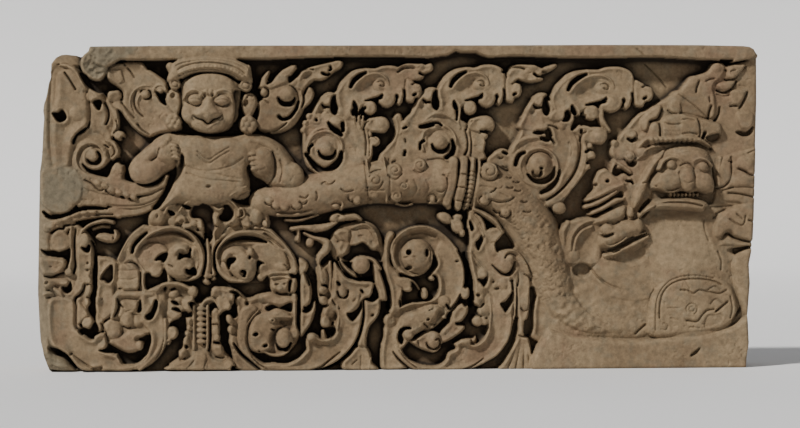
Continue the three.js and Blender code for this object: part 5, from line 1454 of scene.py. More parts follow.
def right_bands():
    """The broad bands at the foot of the third ring, with the curled lip, and the leafy stem above them"""
    area([(469, 211), (478, 211), (486, 222), (489, 232), (500, 240), (497, 250), (500, 262), (512, 276),
          (514, 300), (512, 334), (505, 348), (496, 358), (481, 366), (465, 371), (440, 371.5), (416, 371),
          (405, 366), (396, 355), (393, 345), (400, 347), (407, 358), (420, 364.5), (436, 366), (445, 361),
          (448, 353), (456, 349), (454, 344), (461, 340), (467, 338), (472, 345), (480, 343), (487, 334),
          (488, 325), (481, 311), (475, 300), (474, 282), (470, 262), (468, 240)], 36, 3.2, 0.3, 4)
    groove([(393, 352), (398, 359), (405, 365.5), (412, 370)], [0.8, 1.4, 1.6, 1.6], [6, 16, 20, 20])
    groove([(399, 351), (404, 357.5), (411, 364), (417, 368.5)], [0.7, 0.9, 0.9, 0.8], [5, 8, 8, 7])
    groove([(484, 358.8), (478, 363.5), (472, 366.8), (464, 370)], [0.7, 1.2, 1.4, 1.6], [8, 12, 14, 14])
    dome(466, 341, 5.4, 5, 41, 0, 0.7, 1)
    stroke([(468, 344), (474, 346.5), (481, 344), (487, 337), (490, 326), (491.5, 312), (490, 298)],
           [1.6, 1.7, 1.7, 1.6, 1.6, 1.5, 1], [39, 39, 38, 38, 37, 36, 35])
    groove([(468, 348.5), (475, 349), (482, 346.5)], 1.5, 3)
    holes(5, [(480, 327), (488, 326), (488, 331), (483, 336), (478, 334)])
    stroke([(474, 332), (474, 341)], [2, 4], 22)
    holes(1, [(470, 302), (476, 302), (478, 309), (474, 318), (474, 326), (480, 328), (476, 338),
              (466, 339), (455, 342), (452, 349), (445, 352), (441, 345), (453, 341), (465, 332),
              (466, 325), (463, 323), (469, 313)])
    groove([(471.5, 286), (471, 296), (472, 306)], [1, 1.6, 2], 24)
    lobes((481, 291, 5.5, 8, 38, 0), (479.5, 300.5, 5, 6.6, 38, 20), (485, 311, 7, 6.4, 38, -20),
          (478, 321.5, 5.6, 5.4, 40, 0), (485, 321, 4.4, 5, 38, 0))
    dimple(478.5, 295.5, 2.2, 1.8, 12, 20)
    groove([(476, 305), (480, 308), (484, 304)], 1.2, 12)
    dimple(487, 318.5, 1.5, 1, 9)
    dome(483.5, 274, 5, 4, 38, 0, 0.7, 1)
    holes(8, [(478, 279), (484, 279.5), (488, 276), (487.5, 283), (485, 287.5), (482, 284)])
    dome(476, 234, 6.4, 7.6, 37, 0, 0.6, 2)
    dome(474.5, 241.5, 3.4, 4.2, 36, 0, 0.7, 1)
    holes(6, [(476, 243), (479, 240), (484, 233), (484.5, 238), (481, 247), (479, 250.5)],
          [(470, 221), (472, 222), (475, 229), (472, 231)])
    stroke([(470, 212), (477, 219), (482, 229), (484, 236)], 1.6, 37)
    groove([(470, 244), (474, 254), (482, 264), (489, 271)], 1.2, 3)
    groove([(471, 254), (476, 263), (481, 268)], 1.6, 4)
    groove([(489, 292), (493, 297), (494, 304)], 0.8, 3)
    groove([(487, 250), (489, 262)], 1, 2)
    dimple(494, 282, 1.8, 1.4, 8)
    dimple(498, 289, 3, 1.5, 9)
    lobes((446, 218, 8.4, 5.6, 32, 30), (458, 226, 6.4, 8, 36, -20), (463, 233, 3.4, 4.4, 34, 0),
          (459, 217, 5, 4, 30, 0))
    dimple(457, 222, 4, 2.6, 3)
    holes(0, [(455, 237), (460, 237), (466, 239), (468, 228), (470, 236), (469, 252), (462, 249)])
    groove([(466, 254), (469, 270), (468, 284), (466, 288)], 1.6, 18)


def fourth_ring():
    """The half ring and its curl below the serpents' knot, the pendant and the plain strip beside it"""
    area([(486, 230), (503, 228), (506, 236), (500, 250), (510, 248), (522, 254), (530, 268), (532, 282),
          (531, 300), (529, 318), (526, 336), (512, 338), (513, 322), (514, 300), (512, 280), (500, 274),
          (488, 262), (484, 244)], 34, 3, 0.3)
    holes(-2, [(496, 244), (500, 239), (506, 233), (510, 240), (516, 247), (509, 250), (502, 252.5),
               (498, 252)])
    dome(494, 236, 6, 6, 37, 0, 0.5, 2)
    dimple(494, 243, 3, 1.2, 4)
    dome(506.5, 262, 11.4, 12, 42, 0, 0.5, 1)
    dome(510, 258, 4.2, 3, 44, 0, 0.7, 1)
    groove([(505.5, 258), (508, 254.5), (512, 254), (517, 256.5)], [0.8, 1.3, 1.2, 0.6], 8)
    groove([(493, 265), (498, 270), (504, 274.5), (510, 274), (514, 268), (515, 262)],
           [0.8, 1.2, 2, 2.6, 2.6, 1.6], [8, 14, 22, 26, 24, 12])
    stroke([(500, 252), (511, 250.3), (520, 254), (527, 264), (531, 274)], [1.4, 1.6, 1.6, 1.6, 1],
           38, full_form)
    groove([(519, 272), (519.5, 280), (518, 286)], [0.6, 0.9, 1.2], [3, 8, 14])
    dimple(512.5, 281, 2, 1.2, 14)
    lobes((504, 284, 5, 7, 37, 0), (505, 295, 5, 6, 37, 20))
    groove([(513, 283), (513.5, 290)], 1, 14)
    holes(2, [(501, 304), (506, 302), (510, 297), (514, 291), (513.5, 300), (510, 308), (506.5, 313),
              (504, 309)])
    groove([(517.5, 288), (517.6, 300), (517.4, 316)], [0.7, 0.9, 1.3], [12, 20, 26])
    holes(0, [(516.5, 316), (519, 318), (519, 328), (516, 339), (511, 349), (502, 360), (496, 371),
              (484, 371), (484, 364.5), (496, 357.5), (505, 348), (511, 336), (514, 324)],
          [(531, 288), (536, 288), (539, 294), (537, 299), (534.5, 310), (534, 330), (529, 338),
           (525, 336), (525, 322), (529, 318), (531, 304)])
    groove([(525, 274.5), (529, 276.5), (532.5, 281)], [0.8, 1.1, 1.2], [6, 10, 12])
    groove([(521.5, 308.5), (525, 312), (529, 309)], 0.9, 8)
    dome(525, 301, 4, 8, 37, 0, 0.4, 2)
    dome(521.5, 325, 3, 10, 35, 0, 0.4, 2)
    area([(519, 336), (529, 337.5), (532, 346), (536, 356), (540, 366), (540, 371), (500, 371), (504, 362),
          (511, 350), (515, 342)], 33, 3, 0.4)
    groove([(519, 335.6), (524, 337), (529, 337)], 0.9, 8)
    for u0, u1 in ((517, 508), (521, 516), (525, 524), (528, 531)):
        groove([(u0, 346), ((u0 + u1) / 2, 358), (u1, 370)], [0.5, 1.1, 1.3], [1, 4, 6])
    holes(12, [(531, 344), (534, 350), (535, 356), (532, 354)], [(537, 361), (540, 369), (536, 369)])


def foot_pendant():
    """The short pendant between the second and third pairs of bands"""
    area([(341, 363), (350, 354), (356, 347), (366, 346.5), (371, 354), (372, 362), (378, 371), (345, 371)],
         33, 3.5, 0.4, soft=1)
    groove([(352, 365), (354.5, 362.5), (357, 360.5)], 0.8, 5)
    groove([(360, 346), (366, 346.5)], 0.8, 4)
    stroke([(371, 358), (369.5, 364), (368, 371)], 1.1, 36, full_form, 1)
    groove([(361, 356), (361, 363), (360, 371)], 1, 3)


def first_ring():
    """The open ring at the left, with its curled leaf"""
    area([(116, 262), (121, 250), (127, 239), (134, 231), (143, 225), (150, 226), (170, 226), (184, 229),
          (197, 238), (204, 252), (205, 266), (200, 277), (190, 282), (178, 282), (165, 284), (158, 290),
          (160, 306), (164, 320), (164, 340), (156, 356), (142, 369), (128, 371), (110, 371), (114, 364),
          (130, 365), (142, 360), (148, 350), (150, 336), (140, 322), (140, 300), (140, 272), (130, 262),
          (122, 268)], 35, 3.2, 0.3, 3)
    sink([(134, 254), (139, 244), (151, 235), (166, 230), (180, 231), (191, 238), (199, 250), (200, 262),
          (197, 274), (186, 281), (170, 281), (164, 277), (150, 277), (142, 270), (136, 262)], 23, 3)
    groove([(146, 238), (158, 232.5), (172, 231), (184, 234.5), (193, 242)], [2, 4.4, 4.4, 4, 2.4], 14)
    stroke([(134, 254), (139, 244), (150, 234), (162, 229), (172, 227.5), (182, 230), (192, 236),
            (199, 246), (202, 258)], [1.2, 1.4, 1.6, 2, 2.2, 2.2, 2.2, 2, 1.6],
           [35, 38, 40, 41, 41, 40, 39, 38, 36], full_form)
    stroke([(117, 260), (122, 249), (128, 239), (134, 232.5), (143, 226)], 1.5, 37, full_form)
    stroke([(203, 262), (200, 272), (194, 279)], [1.6, 2, 2], 35)
    holes(6, [(130, 253), (131, 246), (136, 239), (145, 232), (147, 233), (140, 240), (134, 247),
              (132.5, 253)])
    dome(152, 258, 17, 15, 33, -20, 0.22, 3)
    area([(166, 262), (167, 252), (172, 246), (179, 243), (187, 245), (189, 250), (187, 254), (181, 253),
          (178, 257), (184, 258), (192, 260), (195, 266), (192, 275), (184, 280), (175, 279), (166, 272),
          (162, 266)], 40, 5, 0.45, soft=2)
    dome(178, 267, 14, 12, 43, 10, 0.5, 3)
    area([(189, 249), (196, 246), (200, 254), (200, 264), (196, 273), (190, 276), (194, 265), (190, 257)],
         34, 3, 0.4, soft=2)
    holes(4, [(178.5, 253), (181, 255), (187, 254), (189.5, 248.5), (191, 250), (189, 256), (190, 258),
              (184, 257.5), (178, 260), (177.5, 257)],
          [(185, 268.5), (188, 270), (193, 267), (195.5, 271), (195, 275.5), (189, 275), (185, 273)],
          [(154, 260.5), (159, 255), (166.5, 252.5), (166, 258), (162.5, 263), (160, 260.5)],
          [(143, 275), (148, 273), (151, 276.5), (158, 276.5), (162, 270), (165, 271), (166.5, 284),
           (158, 285.5), (150, 289), (146, 290), (142, 283)],
          [(168, 275), (176, 281), (186, 282), (196, 279), (201, 276), (204, 282), (207, 288), (211, 290),
           (211, 298), (204, 296), (197, 291), (192, 287), (182, 285.5), (174, 284)])
    dome(155.5, 269.5, 6.4, 8, 36, 0, 0.6, 1.5)
    stroke([(167, 270), (168, 276), (171, 283)], [2, 2, 2.6], 26)
    groove([(168, 265), (172, 267)], 1, 5)
    groove([(184, 275.5), (188, 277.5), (191, 277)], 0.9, 5)


def second_ring():
    """The open ring below the bird figure's foot, with its curled leaf"""
    area([(215, 262), (215, 254), (219, 245), (227, 237), (238, 231), (250, 230), (262, 231), (270, 228),
          (280, 238), (290, 249), (296, 259), (298, 272), (292, 276), (272, 276), (269, 281), (262, 283),
          (250, 284), (234, 285), (224, 280), (217, 272)], 33, 3, 0.25)
    sink([(217, 264), (217, 254), (221, 246), (230, 238.5), (242, 234), (256, 235), (266, 239), (277, 248),
          (288, 252), (294, 262), (290, 272), (270, 272), (256, 280), (240, 282), (226, 276)], 24, 3)
    groove([(217.5, 258), (220, 248), (228, 241), (240, 238), (254, 238.5), (266, 242)],
           [2, 3.2, 4, 4.6, 4.4, 1.8], [12, 18, 21, 22, 21, 12])
    stroke([(216, 262), (216, 253), (220, 245), (228, 237.5), (238, 232.8), (249, 232), (259, 234),
            (268, 239)], [1, 1.3, 1.6, 1.9, 2, 2, 1.8, 1.3], [34, 38, 40, 41, 41, 41, 40, 38], full_form)
    stroke([(262, 228.5), (270, 231.5), (280, 240), (289, 250), (295, 262)], [1.6, 2, 1.8, 1.5, 1.2],
           [38, 39, 38, 37, 35], full_form)
    groove([(264, 233.5), (274, 241), (284, 249)], [1.4, 2, 1], 9)
    groove([(262, 237), (270, 242), (277, 248)], [1, 1.6, 1], 6)
    dome(268, 258, 20, 14, 34, 20, 0.22, 3)
    area([(220, 262), (221, 254), (225, 248.5), (233, 245.5), (242, 246.5), (248, 251), (252, 256),
          (250, 268), (240, 272), (229, 270), (230, 264), (236, 260), (231, 257), (228, 262)],
         40, 4.5, 0.45, soft=2)
    dome(243, 265, 14.5, 15.5, 44, -20, 0.5, 2.5)
    area([(219, 262), (226, 262), (230, 268), (233, 278), (236, 283), (228, 282), (221, 276)], 31, 3, 0.4)
    holes(4, [(227, 259), (231, 257.5), (235.5, 258), (234, 262), (230, 265), (229, 270), (226, 264)],
          [(239, 272.5), (242, 270), (245.5, 271.5), (244.5, 277), (241.5, 276)],
          [(256.5, 262), (259, 261), (265, 264.5), (260, 265.5), (257, 273), (258, 280), (262, 281),
           (267, 276), (269.5, 281), (270, 290), (258, 287), (248, 294), (242, 296), (234, 289),
           (222, 286), (212, 287), (206, 288), (201, 280), (208, 279), (214, 274.5), (219, 276),
           (226, 281.5), (235, 283), (248, 282), (255, 275)])
    dome(250, 252, 3.4, 4.4, 43, 0, 0.7, 1)
    dimple(249.3, 257.5, 1.1, 2, 12)
    dome(241, 274, 2.6, 2.6, 34, 0)
    lobes((263, 270, 6, 6.4, 34, 0), (260, 277, 4, 3.8, 34, 0))
    area([(204, 243), (207, 238), (210, 246), (211, 262), (210, 276), (206, 278), (202.5, 274),
          (204.5, 262)], 30, 3, 0.45)
    lobes((207, 276, 5, 3, 30, 0), (205.5, 282, 4.6, 3.2, 28, 30), (213, 279, 3, 2, 24, -30))
    groove([(204, 234), (205, 248), (204.6, 262), (202, 274)], [1.4, 1.4, 1.6, 1.8], 22)
    area([(211, 240), (216, 238), (221, 240), (214, 250), (213, 266), (216, 274), (211, 275)], 30, 2.6, 0.4)


def ring_leaves():
    """The leaves hanging between the two rings, over the beaded column"""
    area([(150, 292), (158, 286), (166, 283), (182, 285), (194, 288), (197, 298), (200, 302), (214, 298),
          (212, 288), (225, 287), (236, 290), (245, 298), (262, 296), (262, 312), (250, 314), (240, 330),
          (241, 350), (258, 366), (270, 371), (238, 371), (228, 345), (218, 330), (204, 318), (192, 320),
          (184, 312), (176, 322), (166, 336), (162, 345), (160, 320), (156, 300)], 24, 3, 0.4)
    stroke([(156, 291), (161, 285.5), (168, 284), (178, 284.5), (188, 288.5)], [1.8, 2.2, 2.4, 2.6, 2.2],
           37, soft=2)
    lobes((192, 291.5, 5.4, 5.4, 39, 0), (173, 294.5, 5.6, 3.8, 36, -20), (188.5, 304, 8, 8, 40, -20),
          (178, 300, 5, 4, 33, 0), (173.5, 314, 8, 5.4, 32, 0), (160, 300, 6, 10, 32, 0))
    dimple(164, 289, 1.6, 2.6, 14, 20)
    dimple(172, 289.5, 3.6, 1.7, 10, -20)
    holes(4, [(193, 299), (197, 296), (199.5, 302), (195, 303.5)],
          [(188, 303), (194, 303), (196, 308), (194, 316), (188, 318), (185, 315), (191, 311)],
          [(170, 301), (176, 302), (178, 306), (173, 305)],
          [(170.5, 309.5), (176, 308), (181, 313), (178, 313)])
    holes(-2, [(168, 327), (171, 322), (180, 318), (181, 312), (188, 316), (186, 326), (185, 333),
               (180, 334), (176, 331), (172, 327)],
          [(176, 336), (181, 334), (180, 346), (175, 356), (164, 366), (158, 371), (146, 371), (156, 361),
           (164, 350), (170, 342)], [(219, 314), (227, 310), (234, 303), (236, 306), (236, 316),
                                     (231, 319), (226, 315), (226, 322), (231, 326), (229, 330),
                                     (228, 340), (225, 354), (221, 346), (219, 342), (219, 328)])
    lobes((171, 333.5, 6.4, 7, 34, 20), (167, 342, 3, 4, 30, 20))
    groove([(165, 345), (167, 342.5), (169, 343)], 1, 7)
    area([(211, 290), (216, 287), (226, 288), (232, 290), (231, 300), (229, 308), (222, 313), (218, 316),
          (216, 306), (214, 299), (210, 297)], 36, 3.5, 0.4, soft=1.5)
    lobes((215.5, 291, 5, 4.6, 39, 0), (231.5, 297, 3.6, 4.4, 36, 0), (227, 306.5, 4, 4.4, 38, 0))
    groove([(213, 297), (217, 296.5)], 0.9, 4)
    stroke([(228, 289), (235, 290.5), (240, 294), (245, 299)], 1.1, [37, 38, 37, 33], full_form)
    holes(4, [(229, 292), (235, 291.5), (239, 295.5), (235, 299), (235, 304), (233, 303), (233.5, 295)])
    dimple(246.5, 304, 1.8, 3.2, 13, -20)
    stroke([(201, 308), (203.5, 302), (209, 299.4), (214, 301), (217, 308)], [2, 2.2, 2, 1.6, 1.2],
           34, soft=1)
    holes(6, [(204, 312), (207, 306), (213, 302.5), (216, 306), (217.5, 311), (211, 311), (209.5, 316),
              (206, 315)])


def beaded_column():
    """The short column of beads between the first and second pairs of bands, on its spreading foot"""
    area([(184, 318), (190, 318), (196, 304), (206, 304), (211, 318), (219, 322), (219, 342), (224, 352),
          (232, 360), (234, 370), (166, 370), (168, 364), (177, 358), (182, 344), (186, 334)], 25, 3, 0.4,
         smoothly=False)
    lobes((188.5, 321.5, 3.2, 4, 32, 0), (188.5, 328.5, 3, 3, 32, 0), (187, 334, 3.4, 3.2, 31, 0),
          (185.5, 343, 3.8, 6, 31, 0), (182, 354, 5, 4.8, 33, -30), (215, 314, 3.4, 6, 32, 0),
          (215.5, 322, 3.6, 4, 32, 0), (215, 331, 4, 6, 34, 0), (216, 338, 3.8, 4.4, 34, 0),
          (217, 350.5, 6, 6.6, 34, 0), (229, 320, 3.6, 6, 34, -25), (231, 330, 4.6, 4.6, 32, 0),
          (233, 342, 4, 6.4, 32, 0))
    holes(8, [(183.5, 345.5), (187, 346), (186, 349.5), (184.5, 349)],
          [(212, 342), (218, 342), (219, 345), (214, 344.6)])
    groove([(178, 359), (180.5, 361), (184, 358.5)], 1, 9)
    groove([(215, 357.5), (219, 358.5), (223, 358)], 1, 8)
    groove([(186, 331), (190, 331.5)], 0.8, 6)
    groove([(212, 325), (217, 324.5)], 0.9, 9)
    for u in (193, 206.5):
        stroke([(u, 306), (u, 330), (u, 350)], 2.2, 32)
    for v in (309, 314, 319.5, 325, 330.5, 336.5, 342):
        dome(200.3, v, 4.6, 2.9, 37, 0, 0.9)
        dimple(203, v + 2.6, 1.2, 1.3, 12)
    groove([(209.3, 318), (209.5, 335), (208.6, 346), (207, 353)], 1.1, 20)
    area([(192, 351), (207, 351), (213, 358), (224, 362), (232, 366), (233, 371), (166, 371), (168, 366),
          (182, 360), (190, 356)], 33, 3, 0.4)
    area([(193, 353), (198, 351), (206, 352), (208, 362), (206, 371), (188, 371), (190, 364)], 37, 4, 0.4)
    groove([(205.5, 360), (204, 366), (203, 371)], 1, 5)
    groove([(194, 360), (190, 365), (185, 370)], 0.9, 4)
    dome(228, 366, 6, 5.6, 35, 0, 0.6, 1.5)
    holes(2, [(232, 366), (236, 371), (230, 371)])


def second_bands():
    """The left side of the second pair of bands, which carries the middle rider's beast"""
    area([(241, 309), (252, 305), (258, 310), (250, 318), (247, 330), (247, 345), (252, 355), (262, 363),
          (274, 367), (290, 366), (290, 371.5), (262, 371), (250, 362), (240, 352), (236, 340),
          (237, 322)], 32, 3, 0.3)
    groove([(233, 344), (240, 354), (250, 363), (259, 370)], [1.2, 2, 2.2, 2], [20, 26, 28, 24])
    groove([(251, 357), (258, 364.5), (267, 369.5)], [0.6, 1, 0.8], [6, 11, 8])
    holes(1, [(259, 355), (266, 356), (279, 356), (290, 353), (298, 341), (305, 338), (305, 348),
              (302, 353), (296, 360), (286, 364.5), (276, 364), (268, 363)])


def first_bands():
    """The first pair of bands, from the left edge round the foot, with the grey lump at the corner"""
    area([(48, 300), (72, 300), (74, 326), (78, 331), (90, 340), (96, 336), (104, 333), (107, 344),
          (109, 353), (118, 355), (122, 364), (134, 365), (130, 371.5), (100, 371.5), (84, 371.5),
          (76, 368), (66, 356), (57, 350), (50, 346), (46, 330)], 37, 3.4, 0.3, 4)
    area([(37, 352), (44, 351), (54, 356), (63, 360), (71, 368), (75, 371.5), (55, 371.5), (44, 368),
          (38, 360)], 24, 5, 0.5)
    groove([(48, 349), (56, 353), (65, 356)], [3, 3.4, 1.2], [12, 14, 8])
    groove([(64, 356), (70, 363), (74, 370)], [0.8, 1.2, 1.6], [8, 14, 16])
    groove([(50, 366), (60, 369.5), (68, 370)], 0.9, 4)
    groove([(70, 354), (78, 360.5), (86, 366), (92, 368.4), (101, 367)], [0.8, 0.9, 1, 1.3, 0.8],
           [6, 7, 8, 9, 6])
    dimple(69.5, 354.5, 1.3, 2, 8, 40)
    holes(20, [(90, 368.5), (101, 366.5), (100, 371), (91, 371)])
    stroke([(164, 320), (164, 338), (159, 352), (149, 363), (138, 370)], [2.4, 2.6, 2.4, 2.2, 2], 35)
    groove([(163, 338), (160, 350), (153, 360), (143, 369)], [0.8, 1.4, 1.6, 1.4], [10, 14, 14, 12])
    stroke([(150, 332), (151, 342), (147, 354), (139, 363), (129, 369)], 1.4, 34)
    groove([(152.5, 333), (153, 344), (148, 356), (140, 364), (132, 370)], [1, 1.6, 1.7, 1.6, 1.4], 14)
    holes(3, [(117, 350), (121, 354), (130, 356), (139, 350), (142, 340), (146, 336), (147, 346),
              (144, 356), (137, 363), (128, 365), (120, 361), (116, 355)])
    holes(4, [(77, 331), (82, 328), (88, 329), (93, 322), (96.5, 328), (96, 334), (91, 338), (85, 334),
              (81, 336)], [(78, 324), (80.5, 325), (81, 328.5), (79, 327)],
          [(105, 342), (108, 347), (109, 353), (103, 353), (97, 351), (103, 349)])
    lobes((98, 337, 6, 3, 37, -25), (101, 345, 5, 5, 37, 0))
    stroke([(97, 352), (103, 354), (112, 354.5)], 1, 37)


def left_rider():
    """The worn rider on the first pair of bands"""
    area([(112, 262), (128, 262), (142, 270), (141, 290), (156, 292), (158, 300), (150, 322), (150, 332),
          (140, 350), (120, 352), (106, 344), (100, 326), (110, 316), (112, 296), (113, 280)], 26, 3, 0.4,
         smoothly=False)
    area([(118, 263), (130, 262), (138, 268), (140, 276), (139, 290), (128, 292), (118, 290), (116, 276)],
         35, 4, 0.4)
    for route in ([(116, 270), (126, 271), (136, 270)], [(117, 279), (128, 280), (136, 278)],
                  [(124, 263), (130, 267)]):
        groove(route, 1.3, 2.5)
    groove([(139.5, 273), (139, 284), (137.5, 290)], [0.7, 1, 1.2], 12)
    dimple(119.5, 289, 2.4, 1, 7)
    stroke([(142.5, 272), (142, 284), (144, 292)], 2, 33)
    stroke([(114, 298), (118, 294.5), (128, 295), (140, 295), (152, 294.5)], [3.4, 4, 4.6, 4.4, 3],
           36, soft=2)
    stroke([(114, 298), (113, 308), (111, 318)], [3.4, 2.8, 2.4], 36, soft=1)
    stroke([(142, 298), (146, 306), (144, 315)], [5, 5.6, 4], 37, soft=1)
    area([(119, 300), (128, 298), (138, 301), (136, 312), (128, 316), (119, 320), (115, 316), (118, 309)],
         33, 4, 0.4)
    groove([(116, 299), (117.5, 307), (115, 313), (112.5, 317)], [0.8, 1.1, 1, 0.8], 16)
    groove([(118, 304), (122, 308)], 0.9, 12)
    holes(6, [(138, 303), (139.5, 300), (140.5, 311), (136, 312)],
          [(154, 300), (157, 302), (156, 309), (151, 319), (146, 320), (144, 316), (150, 311)])
    for v in (312, 316):
        groove([(125, v), (131, v - 1.5), (137, v)], 0.8, 3)
    lobes((111.5, 328, 9.4, 8, 37, 20), (113, 334, 7.6, 6, 38, 0), (126, 320, 7, 8, 38, 0),
          (136, 322, 6, 6, 33, 0))
    groove([(121, 333), (117, 338), (111, 340.5)], 0.8, 4)
    groove([(122, 327), (126, 328.5), (129, 328)], 1, 7)
    groove([(100, 324), (104, 332), (106, 342)], 1, 10)
    area([(108, 341), (120, 334), (130, 328), (142, 330), (147, 334), (143, 338), (137, 340), (142, 346),
          (138, 351), (130, 354), (121, 352)], 38, 5, 0.5, soft=2)
    dome(138.5, 346, 3.8, 5, 41, 0, 0.7, 1)
    holes(6, [(137, 340), (141, 337.5), (147, 335), (147, 344), (143, 350), (142.5, 343)])
    area([(146, 290), (158, 288), (162, 300), (163, 318), (158, 330), (150, 334), (147, 328), (154, 318),
          (158, 306), (156, 296)], 31, 3, 0.35)


def left_stem():
    """The leaves along the left edge and the leafy stem inside them, down to the first bands"""
    area([(52, 232), (60, 222), (74, 222), (92, 240), (94, 262), (92, 290), (92, 318), (90, 330), (76, 330),
          (60, 312), (44, 306), (40, 294), (40, 262), (46, 256)], 26, 3, 0.4)
    stroke([(70, 226), (69, 240), (69.5, 256), (68, 270)], [2.6, 3, 3, 2.4], 33)
    groove([(68.5, 229), (66, 236), (66, 241)], [0.8, 1.1, 0.7], 12)
    groove([(74.5, 229), (73.2, 240), (73.2, 256), (74, 266), (72, 273)], [0.9, 1.1, 1, 1.2, 1.8],
           [12, 16, 16, 16, 18])
    dome(59, 242, 9.6, 12, 38, 0, 0.35, 2)
    holes(2, [(38, 249), (44, 251), (52, 250.5), (58, 252), (64, 250), (69, 249), (68, 262), (64, 269),
              (60, 272), (62, 264), (62, 258), (50, 258.5), (42, 254)])
    area([(37, 257), (48, 256.5), (58, 258), (65, 260), (65, 267), (60, 273), (54, 276), (42, 276),
          (38, 268)], 36, 4, 0.45, soft=1)
    dimple(49.5, 267, 1.6, 0.9, 4)
    groove([(43, 276.5), (50, 277.6), (56, 275), (62, 273)], [0.8, 1.2, 1.6, 1.4], 12)
    dome(67.5, 272.5, 4, 4, 37, 0, 0.8)
    area([(42, 279), (52, 278), (64, 278), (68.5, 281), (67, 286), (60, 286.5), (54, 286), (46, 290),
          (41, 286)], 35, 3, 0.45)
    dimple(45, 283, 2.6, 1.6, 7, -30)
    holes(3, [(60, 287), (65, 287), (69, 282), (70, 290), (66, 294), (62, 292)],
          [(54, 298), (58, 300.5), (62, 299), (64, 297), (66, 306), (64, 310), (59, 306)])
    stroke([(53, 289), (57, 293), (60.5, 297)], [3.4, 5, 3.4], 35, full_form)
    stroke([(42, 295), (47, 293.5), (52, 294.5)], [2, 2.8, 1.6], 32, full_form)
    dimple(46.5, 290.5, 2, 0.9, 7)
    dimple(47, 298, 3, 1.1, 8, -10)
    area([(75, 240), (82, 232), (89, 238), (92, 248), (92, 262), (89, 272), (90, 282), (84, 284), (82, 291),
          (74, 297), (72, 290), (75, 272)], 33, 3, 0.35, soft=1)
    dome(83.5, 240, 5.4, 7, 39, 0, 0.6, 1)
    holes(4, [(80, 247), (84, 248), (88, 244), (89, 249), (87, 253), (83, 251.5)])
    lobes((87.5, 266, 3.2, 3.2, 35, 0), (86.5, 273, 2.8, 3.4, 34, 0), (86.5, 281, 5.2, 3.6, 36, 20))
    dimple(86.5, 263.4, 1.2, 1.3, 8)
    dimple(86.5, 270.5, 1.6, 1.2, 9)
    dimple(87.5, 285, 2.6, 1.2, 8)
    groove([(83.5, 285), (82, 290), (78, 295.5), (74, 299), (72.8, 310), (73, 324)],
           [0.8, 1.2, 1.8, 1.4, 1.1, 0.7], [12, 16, 18, 18, 16, 8])
    lobes((87.5, 291, 3.4, 6.4, 34, 10), (86, 303, 3, 4, 36, 0))
    dimple(86.5, 298, 1.8, 1, 9)
    area([(76, 302), (81, 304), (86, 311), (88, 316), (83, 321), (79, 325), (75, 325), (74, 312)],
         34, 3, 0.4)
    dome(87, 324, 6.4, 6.6, 37, 0, 0.6, 1)
    holes(-2, [(89, 240), (94, 246), (96, 262), (95.5, 285), (94, 300), (93.5, 318), (89.5, 316), (86, 309),
               (89, 303), (88, 298), (91, 290), (91, 282), (91, 272), (92.5, 262), (92, 250)])


def left_curl():
    """The curled leaf at the left, its hooked tip, and the plain strip under it"""
    area([(94, 258), (100, 256), (116, 262), (114, 290), (112, 312), (103, 322), (101, 332), (94, 330),
          (94, 300), (95, 280)], 25, 3, 0.3)
    stroke([(77, 246), (79.5, 234), (86, 226.5), (95, 222.5), (104, 221), (112, 222.5)],
           [1.1, 1.5, 1.7, 2, 2.6, 2.4], [34, 37, 38, 38, 39, 37], full_form, 1)
    stroke([(92, 229), (100, 226.5), (107, 227)], 2.2, 18)
    area([(94, 238), (97, 233.5), (104, 232.5), (112, 234), (112, 229), (116, 230), (119, 235), (116, 241),
          (110, 243.5), (101, 242)], 38, 3.5, 0.5)
    groove([(111, 231), (113, 235), (112.5, 239)], 1.1, 9)
    area([(96, 290), (98, 276), (102, 268), (108, 262.5), (116, 262), (116, 268), (113, 284), (112, 300),
          (96, 300)], 31, 2.6, 0.35)
    holes(6, [(99, 280), (101, 274), (106, 268), (111, 265), (112, 276), (111, 281), (107, 284),
              (103, 281)])
    area([(97, 285), (106, 284), (113, 288), (112, 312), (103, 321), (97, 316), (93, 306), (94, 298)],
         31, 3, 0.3)
    dome(97.5, 300.5, 4.6, 4, 35, 0, 0.6, 1.5)
    dimple(100.5, 299.5, 1, 0.8, 7)


